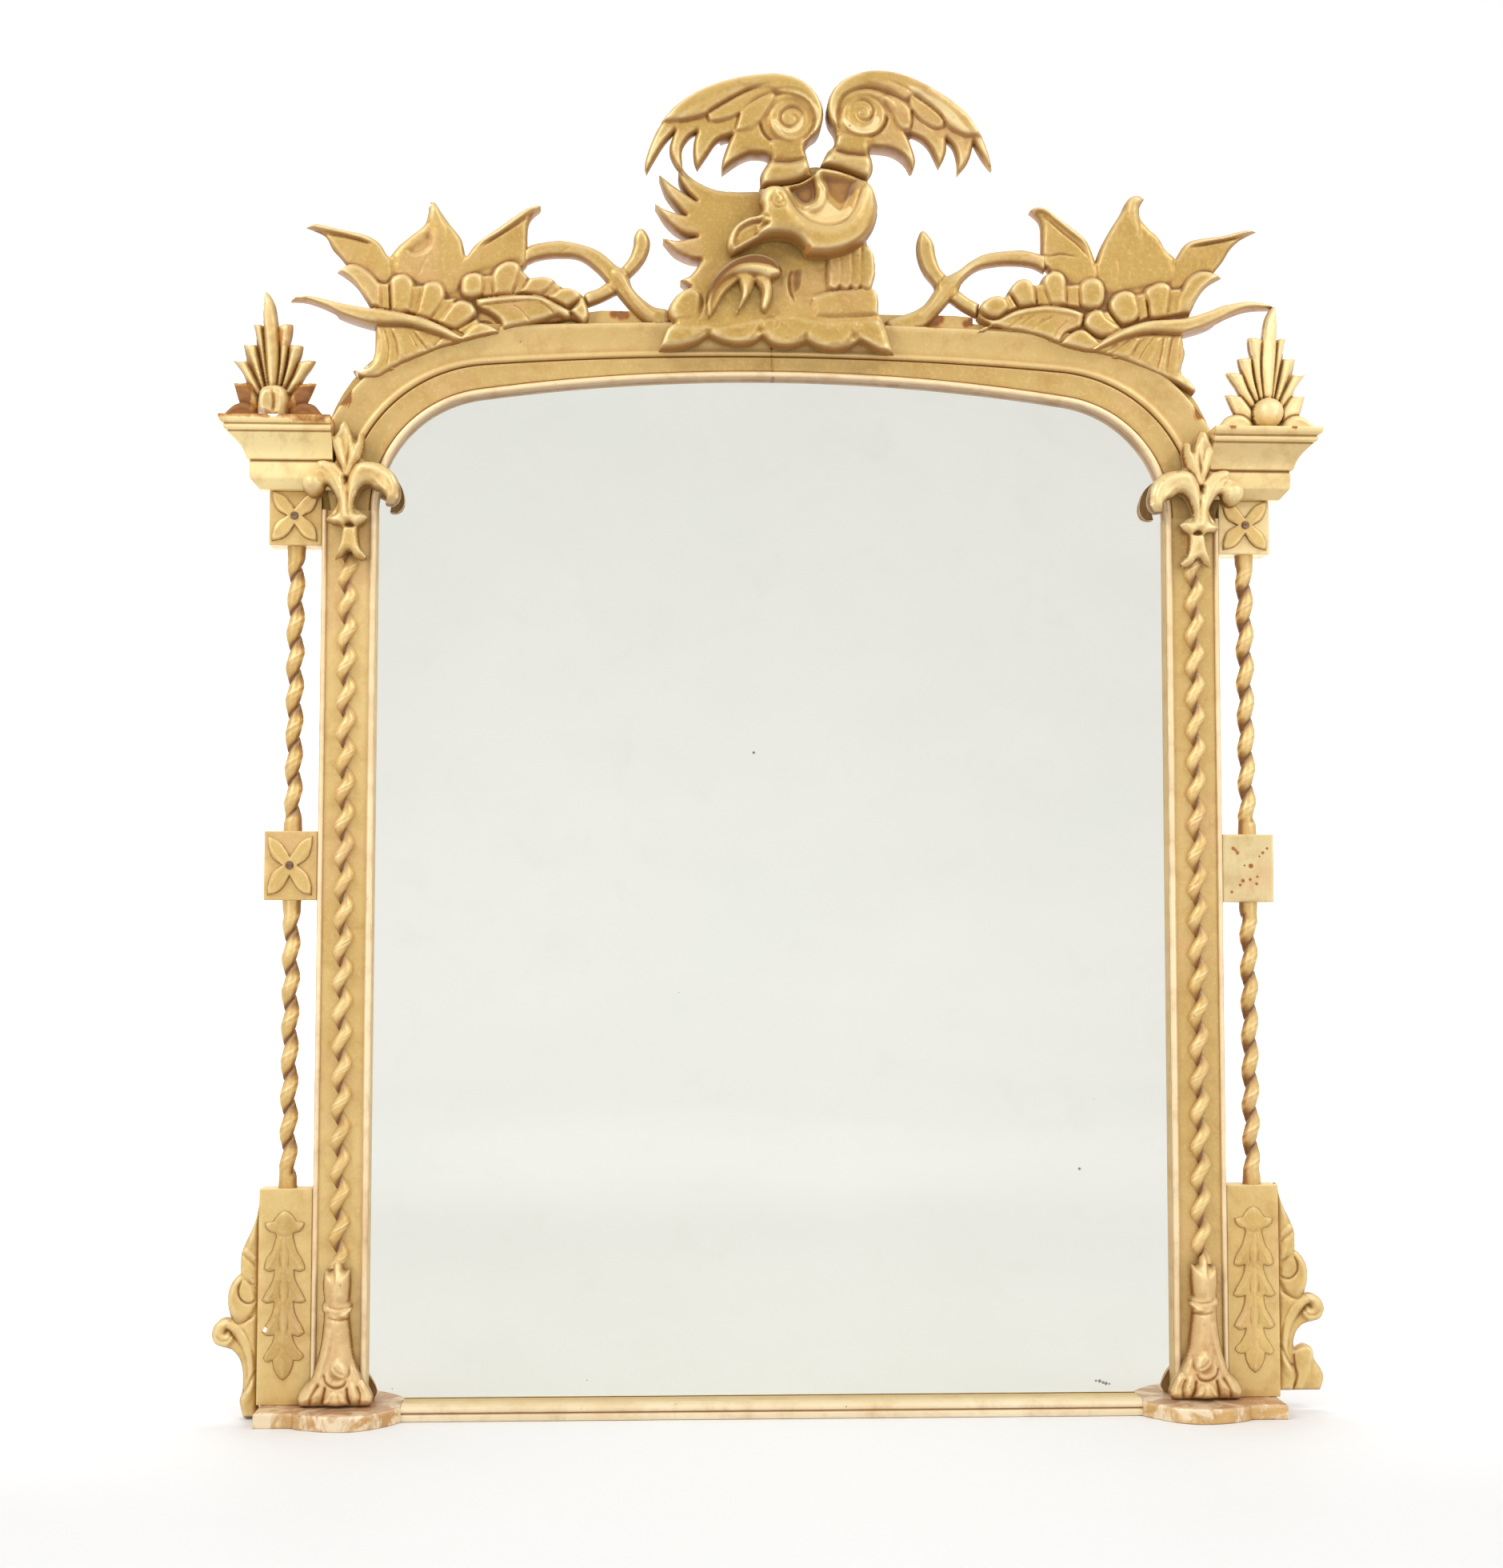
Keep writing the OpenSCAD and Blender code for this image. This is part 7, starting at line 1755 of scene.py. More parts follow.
def capital(tag, s, seed, sh):
    r = Relief(laid(CAP, 58), edge=56, top=68, R=8, draw_h=58, seed=seed)
    # upright leaf with two side lobes and a deep channel up its middle
    r.pad(K([(1060, 215, 1), (1110, 300), (1140, 390), (1150, 310, 1), (1195, 300, 1), (1200, 350), (1175, 470), (1140, 560), (1080, 640), (1030, 560), (990, 460), (930, 340, 1), (1000, 320), (1020, 270)]), 78, edge=67, R=7)
    r.ridge(K([(1058, 225), (1030, 300), (1010, 330), (985, 345)]), 5.0, 4.0, (0.1, 0.2))
    r.ridge(K([(1175, 305), (1165, 380), (1130, 470), (1095, 560)]), 4.6, 4.2, (0.05, 0.3))
    r.ridge(K([(990, 350), (1030, 430), (1055, 520), (1068, 600)]), 4.6, 3.4, (0.1, 0.3))
    r.groove(K([(1078, 260), (1090, 350), (1090, 440), (1078, 560), (1070, 640)]), 3.0, 3.4, (0.2, 0.2))
    r.groove(K([(1040, 330), (1060, 420), (1068, 520)]), 2.2, 2.2, (0.2, 0.3))
    r.groove(K([(1140, 390), (1125, 460), (1095, 540)]), 2.2, 2.6, (0.1, 0.3))
    # left curl rolling forward into a ball
    r.pad(K([(1075, 660, 1), (1050, 600), (985, 530), (910, 505), (850, 520), (850, 570), (800, 590), (755, 640), (760, 720), (830, 765), (900, 730), (930, 690), (980, 740), (1030, 830), (1060, 900), (1080, 800)]), 80, edge=66, R=9)
    r.boss(K([(832, 678)])[0], 15.0, 87.0, 68)
    r.ridge(K([(980, 525), (1020, 570), (1058, 640)]), 4.0, 3.6, (0.1, 0.1))
    r.ridge(K([(862, 545), (930, 560), (1000, 630), (1050, 740)]), 6.0, 2.6, (0.1, 0.2))
    r.groove(K([(945, 560), (990, 600), (1030, 650)]), 1.8, 2.4)
    r.groove(K([(860, 590), (905, 620), (925, 680)]), 2.0, 2.4, (0.1, 0.1))
    # right curl: a broad arch whose tip hangs down
    r.pad(K([(1075, 690, 1), (1090, 620), (1140, 545), (1210, 520), (1310, 535), (1400, 590), (1450, 680), (1462, 750), (1430, 810), (1350, 835, 1), (1340, 780), (1300, 745), (1240, 685), (1180, 700), (1135, 780), (1090, 900), (1075, 800)]), 83, edge=67, R=12)
    r.ridge(K([(1120, 620), (1200, 570), (1300, 590), (1390, 670), (1410, 760), (1370, 815)]), 8.0, 2.4, (0.15, 0.1))
    r.groove(K([(1240, 660), (1290, 690), (1330, 740), (1345, 800)]), 2.4, 3.0, (0.2, 0.1))
    # stalk between the curls and the two lower petals
    r.pad(K([(1000, 700, 1), (1060, 660), (1140, 760, 1), (1125, 880), (1210, 900, 1), (1150, 985), (1090, 960), (1040, 985), (990, 975), (925, 935, 1), (1010, 880)]), 78, edge=66, R=8)
    r.ridge(K([(1035, 700), (1060, 800), (1065, 900), (1080, 950)]), 4.6, 3.0, (0.1, 0.1))
    r.groove(K([(1090, 720), (1085, 820), (1098, 930)]), 2.2, 3.2, (0.2, 0.1))
    r.groove(K([(930, 860), (960, 900), (940, 935)]), 2.0, 2.0)
    # bell
    r.pad(K([(1040, 985, 1), (1095, 960), (1150, 985, 1), (1160, 1080), (1210, 1180), (1195, 1225, 1), (1140, 1210), (1078, 1160), (1020, 1215), (980, 1225, 1), (1000, 1160), (1030, 1080)]), 74, edge=62, R=9)
    r.hollow(K([(1050, 985, 1), (1095, 955), (1145, 985, 1), (1100, 1000)]), 62, 2.0)
    r.ridge(K([(1052, 1000), (1045, 1100), (1010, 1200)]), 4.0, 2.0, (0.1, 0.1))
    r.ridge(K([(1140, 1000), (1148, 1100), (1185, 1200)]), 4.0, 2.0, (0.1, 0.1))
    r.groove(K([(1062, 684), (1070, 690)]), 2.0, 4.5, (0.01, 0.01))
    rim(r, 3.2, 50)
    r.finish(0.3, 0.8)
    # painted shade on the bell and on the outer side of the right curl, and a painted highlight along the top of the
    # right curl
    r.tint(K([(1040, 985, 1), (1150, 985, 1), (1160, 1080), (1210, 1180), (1195, 1225, 1), (1140, 1210), (1078, 1160), (1020, 1215), (980, 1225, 1), (1000, 1160), (1030, 1080)]), 0.5, 3.0)
    r.tint(K([(1150, 540), (1210, 520), (1310, 535), (1390, 580), (1380, 640), (1300, 600), (1210, 580)]), -0.9, 3.0)
    r.tint(K([(1380, 640), (1450, 690), (1462, 750), (1430, 810), (1350, 835), (1350, 760)]), 0.45, 4.0)
    x0 = TX * -1.0

    def back(P):
        h = np.full(len(P), 48.4)
        d = np.abs(P[:, 0] - (x0 - sh))
        h = np.where((P[:, 1] > 1153.6) & (P[:, 1] < 1204.5) & (d < 19.5), 41.4, h)
        return np.where((P[:, 1] <= 1153.6) & (d < 13.6), 54.4, h)

    lines = []
    for q in (-0.4, 0.4):
        for d in (13.6, 19.5):
            for sg in (-1, 1):
                lines.append(np.array([(x0 - sh + sg * d + q, z) for z in np.arange(1085, 1215, 4.0)]))
        for z in (1153.6, 1204.5):
            lines.append(np.array([(x0 - sh + x, z + q) for x in np.arange(-24, 24.1, 4.0)]))
    o = relief_object(tag + "_capital_carving", r, 48.4, back_of=(back, lines), mats=GILT, shift=(sh, 0), flip=s > 0)
    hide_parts(tag + "_capital")


capital("left", -1, 101, -1.0)
capital("right", 1, 113, -6.0)

# leaf-wrapped feet ---------------------------------------------------------------
L_ = on(255, 1480, 4.752)
FOOT = [(-18, 21.5, 1), (-34, 21.2), (-47, 22, 1), (-51, 33), (-44, 47), (-33, 58), (-27, 75), (-22, 96), (-18.5, 122), (-17.5, 142), (-20, 146), (-20, 154), (-17.5, 158), (-19, 176), (-18, 192), (-16, 199, 1),
        (-9, 196), (-6, 205), (-1, 214.5, 1), (5, 208), (9, 197), (16, 200, 1), (17, 186), (16.5, 164), (16, 158), (19, 154), (19, 146), (16, 142), (17.5, 122), (21, 96), (26, 75), (33, 60),
        (42, 47), (48, 33), (44, 22, 1), (34, 21.2), (22, 21.5, 1)]


def foot(tag, s, seed):
    out = spline([(p[0] - TX, p[1] - 2) + tuple(p[2:]) for p in FOOT], True, 1.6)
    r = Relief(out, edge=48, top=73, R=24, draw_h=70, seed=seed)
    H0 = r.H.copy()
    # ring and cup
    r.pad(L_([(733, 742, 1), (812, 755), (893, 742, 1), (893, 800, 1), (812, 812), (733, 800, 1)]), 73.5, edge=58, R=11)
    r.groove(L_([(735, 738), (812, 750), (893, 738)]), 2.0, 3.6, (0.02, 0.02))
    r.groove(L_([(735, 772), (812, 782), (893, 772)]), 1.6, 1.8, (0.02, 0.02))
    r.groove(L_([(733, 806), (812, 818), (893, 806)]), 2.2, 4.0, (0.02, 0.02))
    r.groove(L_([(765, 500), (768, 560), (762, 620)]), 2.4, 3.5, (0.05, 0.4))
    r.groove(L_([(866, 500), (866, 560), (872, 620)]), 2.4, 3.5, (0.05, 0.4))
    r.ridge(L_([(815, 480), (812, 600), (812, 720)]), 6.0, 2.6, (0.1, 0.3))
    r.groove(L_([(735, 735), (750, 724)]), 1.8, 3.0, (0.05, 0.05))
    r.groove(L_([(893, 735), (880, 722)]), 1.8, 3.0, (0.05, 0.05))
    # the leaf's two folds down the shaft
    r.ridge(L_([(745, 850), (720, 980), (690, 1110), (640, 1200)]), 6.5, 2.4, (0.1, 0.1))
    r.ridge(L_([(872, 850), (885, 980), (900, 1110), (930, 1190)]), 6.5, 2.4, (0.1, 0.1))
    r.groove(L_([(770, 930), (745, 1020), (715, 1100), (700, 1180)]), 2.4, 2.0, (0.3, 0.2))
    r.groove(L_([(862, 930), (875, 1040), (865, 1130), (850, 1180)]), 2.4, 2.0, (0.3, 0.2))
    # drop-shaped boss hanging between the folds, with the loop under it
    r.pad(L_([(800, 1030, 1), (850, 1085), (855, 1140), (825, 1165), (770, 1140), (752, 1085)]), 77.8, edge=68, R=6)
    r.groove(L_([(772, 1080), (800, 1120), (845, 1138)]), 2.0, 3.0, (0.1, 0.1))
    r.groove(L_([(716, 1130), (728, 1185), (775, 1215), (830, 1205), (852, 1160)]), 2.6, 4.5, (0.08, 0.08))
    r.ridge(L_([(730, 1120), (745, 1170), (785, 1195), (825, 1185), (845, 1150)]), 4.0, 2.0, (0.1, 0.1))
    # the toes: four rounded lobes and a pointed leaf in the middle
    r.pad(L_([(550, 1325, 1), (580, 1250), (640, 1170), (690, 1150), (680, 1230), (640, 1290), (622, 1325, 1)]), 70, edge=52, R=13)
    r.pad(L_([(625, 1325, 1), (650, 1270), (690, 1180), (720, 1160), (715, 1240), (690, 1315, 1)]), 73, edge=56, R=10)
    r.pad(L_([(700, 1318, 1), (720, 1262), (745, 1228), (790, 1218), (835, 1232), (858, 1270), (866, 1318, 1), (780, 1332)]), 76.5, edge=60, R=10)
    r.pad(L_([(866, 1315, 1), (850, 1230), (860, 1170), (910, 1190), (935, 1260), (915, 1322, 1)]), 74, edge=56, R=10)
    r.pad(L_([(920, 1325, 1), (935, 1270), (915, 1180), (960, 1180), (990, 1240), (1008, 1325, 1)]), 70, edge=52, R=13)
    for P in ([(625, 1330), (640, 1270), (690, 1190)], [(700, 1325), (712, 1265), (728, 1200)], [(866, 1325), (856, 1262), (850, 1205)], [(917, 1330), (930, 1270), (905, 1200)]):
        r.groove(L_(P), 2.8, 6.0, (0.02, 0.15))
    for P in ([(775, 1225), (765, 1270), (740, 1322)], [(785, 1225), (800, 1270), (815, 1322)]):
        r.groove(L_(P), 1.8, 2.0, (0.1, 0.05))
    r.ridge(L_([(785, 1228), (782, 1320)]), 3.5, 1.4, (0.1, 0.1))
    r.groove(L_([(797, 878), (803, 884)]), 1.8, 4.0, (0.01, 0.01))
    r.H = np.minimum(r.H, 77.8)
    rim(r, 3.6, 47.6)
    r.finish(0.35, 0.9)

    def back(P):
        d = np.abs(P[:, 0] + TX)
        h = np.where((P[:, 1] < 184) & (P[:, 1] > 20) & (d < 21), 41.4, 47.4)
        h = np.where((P[:, 1] >= 196) & (d < 13.6), 54.4, h)
        return h

    lines = []
    for q in (-0.4, 0.4):
        for d in (13.6, 21.0):
            for sg in (-1, 1):
                lines.append(np.array([(-TX + sg * d + q, z) for z in np.arange(18, 215, 4.0)]))
        for z in (184, 196):
            lines.append(np.array([(-TX + x, z + q) for x in np.arange(-24, 24.1, 4.0)]))
    o = relief_object(tag + "_foot_carving", r, 47.4, back_of=(back, lines), mats=GILT_FOOT, flip=s > 0)
    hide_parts(tag + "_twist_foot")


foot("left", -1, 121)
foot("right", 1, 131)

# fan finials -----------------------------------------------------------------------
FIN = [(-66, 0, 1), (-68, 5), (-62, 13), (-54, 21), (-46, 24, 1), (-50, 37), (-54, 51, 1), (-44, 50), (-37, 52, 1), (-41, 62), (-48, 72), (-56, 82, 1), (-46, 79), (-37, 81, 1), (-39, 91), (-42, 103, 1), (-32, 102), (-24, 103, 1),
       (-25, 116), (-28, 130, 1), (-21, 131), (-14, 128, 1), (-15, 145), (-14, 160), (-12, 176, 1), (-6, 170), (0, 158), (3, 143), (5, 128, 1), (14, 132), (24, 131, 1), (23, 116), (20, 104, 1), (29, 102), (38, 102, 1), (36, 90),
       (33, 81, 1), (44, 82), (55, 82, 1), (48, 70), (41, 60), (36, 50, 1), (45, 51), (56, 52, 1), (50, 38), (44, 25, 1), (54, 22), (62, 13), (68, 5), (66, 0, 1)]


def finial(tag, s, seed, broken):
    r = Relief(spline([(a[0], min(a[1], 175.8)) + tuple(a[2:]) for a in FIN], True, 1.4), edge=57, top=60, R=4, seed=seed)
    fans = [([(-13, 176, 1), (-16, 150), (-15, 120), (-9, 60), (-5, 40, 1), (6, 40, 1), (8, 80), (7, 125), (3, 150), (-4, 168)], [(-12.5, 174), (-9, 140), (-5, 100), (-2, 42)], 65, 9.5, 3.5),
            ([(-28, 131, 1), (-14, 129, 1), (-8, 80), (-5, 42, 1), (-9, 42, 1), (-18, 90)], [(-21, 130), (-14, 90), (-7, 42)], 63, 6.5, 2.5),
            ([(5, 129, 1), (24, 132, 1), (18, 90), (10, 42, 1), (5, 42, 1), (8, 85)], [(16, 131), (13, 90), (7, 42)], 63, 6.5, 2.5),
            ([(-42, 104, 1), (-23, 104, 1), (-17, 70), (-9, 40, 1), (-14, 38, 1), (-28, 72)], [(-34, 103), (-24, 75), (-12, 39)], 61.5, 6.5, 2.5),
            ([(20, 104, 1), (38, 103, 1), (28, 72), (14, 38, 1), (10, 40, 1), (18, 75)], [(30, 103), (22, 75), (12, 39)], 61.5, 6.5, 2.5),
            ([(-57, 83, 1), (-36, 82, 1), (-24, 56), (-14, 36, 1), (-20, 30, 1), (-38, 54)], [(-47, 82), (-33, 60), (-17, 33)], 61, 6.5, 3),
            ([(32, 82, 1), (56, 83, 1), (40, 56), (20, 30, 1), (14, 36, 1), (26, 60)], [(45, 82), (33, 60), (17, 33)], 61, 6.5, 3),
            ([(-55, 52, 1), (-36, 52, 1), (-18, 28, 1), (-20, 12, 1), (-46, 24)], [(-46, 50), (-33, 36), (-19, 20)], 60.5, 6.0, 3),
            ([(35, 51, 1), (57, 53, 1), (46, 24), (20, 12, 1), (18, 28, 1)], [(46, 50), (33, 36), (19, 20)], 60.5, 6.0, 3)]
    for P, rib, base, up, R in fans:
        r.leaf(P, rib, base, up, R, power=0.9)
    for P in ([(-14, 128), (-11, 90), (-5, 42)], [(5, 128), (8, 90), (5, 42)], [(-25, 106), (-17, 75), (-9, 42)], [(20, 106), (17, 75), (9, 42)], [(-38, 82), (-26, 60), (-14, 38)], [(34, 82), (25, 60), (13, 38)],
              [(-37, 52), (-28, 44), (-17, 28)], [(36, 51), (28, 42), (17, 28)], [(-46, 25), (-34, 22), (-19, 12)], [(45, 25), (34, 22), (19, 12)]):
        r.groove(P, 2.4, 3.6, (0.02, 0.1))
    for sg in (-1, 1):
        r.pad([(sg * 67, 0, 1), (sg * 68, 6), (sg * 60, 15), (sg * 50, 22), (sg * 36, 23), (sg * 22, 14), (sg * 19, 0, 1)], 66.5, edge=59, R=8)
        r.ridge([(sg * 64, 5), (sg * 52, 15), (sg * 36, 17), (sg * 22, 9)], 5.0, 1.6, (0.15, 0.1))
        r.groove([(sg * 60, 3), (sg * 40, 5), (sg * 22, 3)], 1.8, 1.2)
    if broken:
        # the button has lost its front: a chipped stump
        r.pad([(-17, 4), (-18, 26), (-13, 41), (2, 45), (15, 42), (21, 28), (19, 12), (16, 1), (-4, 0)], 84, edge=68, R=8, noise=0.8)
        r.pad([(-14, 8, 1), (-15, 24), (-9, 36), (1, 38, 1), (4, 20), (2, 4, 1)], 88.5, edge=82, R=5)
        r.pad([(2, 38, 1), (13, 34), (16, 18), (13, 3, 1), (3, 4, 1), (4, 20)], 87.0, edge=80, R=5)
        r.hollow([(-16, -1, 1), (-18, 8), (-11, 10), (-6, 3), (-5, -1, 1)], 76, 3)
        r.hollow([(12, -1, 1), (15, 6), (20, 8), (22, -1, 1)], 74, 3)
    else:
        r.boss((0, 25), 20.0, 90.6, 70)
        r.groove([(-21, 26), (-18, 12), (-9, 4), (0, 2), (9, 4), (18, 12), (21, 26), (16, 40), (0, 47), (-16, 40), (-21, 26)], 2.4, 3.4, (0.02, 0.02))
    r.H = np.minimum(r.H, 90.6)
    rim(r, 2.6, 52)
    r.finish(0.3, 0.6)
    bare = white = None
    if broken:
        def bare(V):
            x, z = V[:, 0] + 673.5, V[:, 2] - 1322
            side = (np.abs(x) > 15 + 0.25 * np.clip(z, 0, 60)) & (z < 56)
            low = np.clip(1.25 - z / 34.0, 0, 1)
            up = np.clip((54 - z) / 12.0, 0, 1) * np.clip((np.abs(x) - 24) / 8.0, 0, 1) * 0.9
            b = np.where(side, np.maximum(low * 0.75, up), 0.0)
            b = np.where((np.abs(x) < 19) & (z < 44), 0.0, b)
            t = (z > 100) & (x > 3)
            return np.where(t, 0.36, b)

        def white(V):
            x, z = V[:, 0] + 673.5, V[:, 2] - 1322
            d = np.minimum(np.hypot(x + 12, z - 6) / 5.0, np.hypot(x - 1, (z + 1) * 1.2) / 5.5)
            return np.clip(1.45 - d, 0, 1)
    if not broken:
        r.tint(disc((0, 25), 19.0), -0.6, 6.0)
    o = relief_object(tag + "_finial_carving", r, 48.2, mats=GILT if broken else GILT_BRIGHT, shift=(-673.5, 1322.05), flip=s > 0, bare=bare, white=white)
    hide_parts(tag + "_finial")


finial("left", -1, 141, True)
finial("right", 1, 151, False)

# side brackets ------------------------------------------------------------------------
BRK = [(0.3, 22, 1), (0.3, 302, 1), (2.5, 302, 1), (5, 288), (10, 272), (18, 256), (24, 242), (26, 226), (25, 213, 1), (32, 208), (40, 196), (43, 180), (41, 164), (37, 154, 1), (50, 154), (60, 147),
       (64.5, 134), (60, 122), (46, 117), (35, 113), (25, 101), (20.5, 84), (20.5, 62), (24, 48), (21, 34), (18, 24, 1)]
LEAFB = [(14, 24, 1), (20, 44), (22, 62), (28, 78), (38, 86), (47, 82), (51, 66), (59, 54), (63, 42), (58, 26, 1), (40, 24)]


def bracket(tag, s, seed, leaf):
    out = np.array(spline(BRK, True, 1.5))
    out[:, 1] = np.maximum(out[:, 1], 26.2)
    if leaf:
        full = [(0.3, 22, 1), (0.3, 302, 1), (2.5, 302, 1), (5, 288), (10, 272), (18, 256), (24, 242), (26, 226), (25, 213, 1), (32, 208), (40, 196), (43, 180), (41, 164), (37, 154, 1), (50, 154), (60, 147),
                (64.5, 134), (60, 122), (46, 117), (35, 113), (26, 103), (22, 88), (24, 79, 1), (31, 84), (39, 86.5), (47, 82), (50, 68), (58, 56), (63, 43), (58, 26, 1), (40, 24)]
        out = np.array(spline(full, True, 1.5))
        out[:, 1] = np.maximum(out[:, 1], 26.2)
    r = Relief(out, edge=28, top=31, R=8, seed=seed)
    # spear-shaped upper leaf, twisted
    r.leaf([(1, 302, 1), (6, 284), (18, 256), (26, 236), (27, 216), (24, 206), (10, 200), (1, 196, 1)], [(2, 300), (9, 262), (14, 234), (8, 202)], 33, 3.6, 5)
    r.groove([(24, 240), (14, 232), (2, 222)], 2.4, 3.2, (0.05, 0.1))
    r.ridge([(22, 246), (12, 240), (2, 231)], 4.0, 2.0, (0.1, 0.2))
    # upper scroll curling in on itself
    r.pad([(26, 214, 1), (34, 206), (42, 190), (42, 172), (36, 156), (26, 148), (12, 156), (4, 168), (2, 180), (10, 200)], 36.5, edge=29, R=9)
    r.ridge([(24, 208), (34, 198), (37, 180), (32, 164), (20, 158)], 5.5, 1.3, (0.15, 0.1))
    r.groove([(22, 206), (27, 196), (26, 184), (18, 176), (8, 176), (2, 181)], 2.4, 4.6, (0.05, 0.1))
    r.pad([(2, 196, 1), (14, 204), (20, 198), (21, 188), (14, 180), (4, 180, 1)], 33.5, edge=30, R=5)
    # lower scroll sweeping out into an eye
    r.pad([(36, 154, 1), (52, 153), (61, 146), (64, 133), (58, 121), (44, 117), (36, 122), (34, 132), (40, 138), (46, 136)], 37.6, edge=29, R=9)
    r.pad([(2, 160, 1), (24, 150), (38, 154), (50, 148), (36, 134), (26, 116), (20, 96), (20, 60), (24, 48), (20, 26, 1), (2, 26, 1)], 34.5, edge=29, R=8)
    r.groove([(58, 134), (50, 127), (40, 128), (37, 136), (44, 141)], 2.0, 3.2, (0.1, 0.1))
    r.ridge([(52, 150), (38, 146), (24, 134), (12, 110), (8, 80), (12, 56), (20, 40)], 6.0, 2.2, (0.1, 0.1))
    r.groove([(44, 138), (30, 128), (18, 108), (14, 84), (16, 66)], 2.4, 2.6, (0.1, 0.3))
    r.groove([(26, 148), (14, 132), (6, 112), (3, 90)], 2.2, 1.8, (0.2, 0.3))
    r.groove([(21, 58), (12, 68), (1, 90)], 2.4, 3.4, (0.05, 0.1))
    r.ridge([(22, 50), (12, 60), (2, 76)], 4.0, 1.4, (0.1, 0.2))
    if leaf:
        r.leaf([(20, 26, 1), (22, 60), (26, 76), (38, 86), (48, 82), (51, 66), (60, 54), (63, 42), (58, 26, 1)], [(46, 80), (40, 60), (30, 30)], 31, 4.0, 5)
        r.groove([(51, 66), (46, 56), (44, 40)], 2.0, 1.8)
        r.groove([(22, 76), (23, 58), (26, 46), (20, 26)], 2.4, 3.4, (0.05, 0.05))
    r.H = np.minimum(r.H, 37.8)
    rim(r, 2.8, 24)
    r.finish(0.3, 0.7)
    if leaf:
        o = relief_object(tag + "_bracket_carving", r, 12.2, mats=GILT, shift=(PX, 0))
    else:
        o = relief_object(tag + "_bracket_carving", r, 12.2, mats=GILT, shift=(PX, -24), flip=True)
    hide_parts(tag + "_bracket")


bracket("left", -1, 161, False)
bracket("right", 1, 171, True)

# husk drops -----------------------------------------------------------------------------
HUSK = [(0, 271, 1), (7, 268), (12, 262), (16, 257), (26, 255, 1), (24, 248), (19, 243), (12, 241), (13, 230), (17, 218), (23, 208), (27, 198), (27, 193, 1), (20, 191), (13, 193, 1), (14, 184), (18, 174), (24, 164), (29, 153, 1),
        (22, 150), (13, 152, 1), (14, 142), (18, 131), (24, 121), (28, 112, 1), (21, 107), (12, 109, 1), (14, 101), (19, 92), (27, 82), (22, 76), (14, 76, 1), (12, 66), (7, 56), (0, 50, 1),
        (-7, 56), (-12, 66), (-14, 76, 1), (-22, 74), (-26, 80, 1), (-19, 92), (-14, 101), (-12, 109, 1), (-21, 108), (-28, 113, 1), (-24, 121), (-18, 131), (-14, 142), (-13, 152, 1), (-22, 150), (-29, 154, 1),
        (-24, 164), (-18, 174), (-14, 184), (-13, 193, 1), (-20, 191), (-27, 195, 1), (-24, 207), (-17, 218), (-13, 230), (-12, 241), (-19, 243), (-25, 248), (-26, 255, 1), (-16, 257), (-12, 262), (-7, 268)]


def husk(tag, s, seed):
    r = Relief(spline(HUSK, True, 1.4), edge=43.2, top=44.8, R=4, seed=seed)
    r.leaf([(0, 271, 1), (12, 262), (15, 250), (10, 240), (0, 236), (-10, 240), (-15, 250), (-12, 262)], [(0, 269), (0, 238)], 45.2, 1.5, 4)
    for sg in (-1, 1):
        r.leaf([(sg * 4, 244, 1), (sg * 14, 256), (sg * 26, 255, 1), (sg * 20, 243), (sg * 10, 238)], [(sg * 24, 252), (sg * 8, 244)], 44.6, 1.6, 3)
    for z0, z1, w in ((240, 192, 27), (196, 151, 29), (155, 109, 28)):
        for sg in (-1, 1):
            r.leaf([(sg * 1, z0 + 2, 1), (sg * 9, z0 - 4), (sg * 13, z0 - 14), (sg * 20, z1 + 16), (sg * w, z1 + 2, 1), (sg * 18, z1 - 1), (sg * 9, z1 + 4), (sg * 3, z1 + 14), (sg * 1, z1 + 22, 1)],
                   [(sg * 3, z0 - 4), (sg * 8, z1 + 24), (sg * 22, z1 + 4)], 44.2, 2.2, 3.5)
            r.groove([(sg * 7, z0 - 16), (sg * 11, z1 + 16), (sg * 17, z1 + 4)], 1.8, 1.2, (0.2, 0.15))
        r.leaf([(0, z0 + 2, 1), (5, z0 - 12), (6, z1 + 20), (4, z1 + 2), (0, z1 - 5, 1), (-4, z1 + 2), (-6, z1 + 20), (-5, z0 - 12)], [(0, z0), (0, z1 - 3)], 45.4, 1.4, 3)
        for sg in (-1, 1):
            r.groove([(sg * 2, z0 - 14), (sg * 6, z1 + 22), (sg * 5, z1 + 4)], 1.4, 1.5, (0.2, 0.1))
    r.leaf([(0, 114, 1), (13, 104), (20, 92), (27, 83), (15, 77), (12, 66), (0, 50, 1), (-12, 66), (-15, 77), (-27, 83), (-20, 92), (-13, 104)], [(0, 112), (0, 52)], 44.4, 2.2, 4)
    r.groove([(14, 76), (6, 84), (3, 98)], 1.8, 1.2, (0.1, 0.3))
    r.groove([(-14, 76), (-6, 84), (-3, 98)], 1.8, 1.2, (0.1, 0.3))
    for z in (247, 94):
        r.groove([(-0.6, z), (0.6, z)], 1.6, 2.6, (0.01, 0.01))
    r.H = np.minimum(r.H, 46.9)
    rim(r, 1.7, 42.6)
    r.finish(0.15, 0.6)
    # a dark line painted round the edge: painted shade where the husk meets the plinth, with some grime
    r.cav = r.cav + 0.75 * np.clip(1 - r.D / 1.9, 0, 1)
    white = None
    if s < 0:
        def white(V):
            d = np.hypot(V[:, 0] + 645 + 24, V[:, 2] - 119) / 4.2
            return np.clip(1.3 - d, 0, 0.62)
    o = relief_object(tag + "_husk_carving", r, 42.1, grid=1.5, mats=GILT, shift=(s * 645.0 if s < 0 else -645.0, 2.0), flip=s > 0, white=white)
    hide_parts(tag + "_husk_drop")


husk("left", -1, 181)
husk("right", 1, 191)


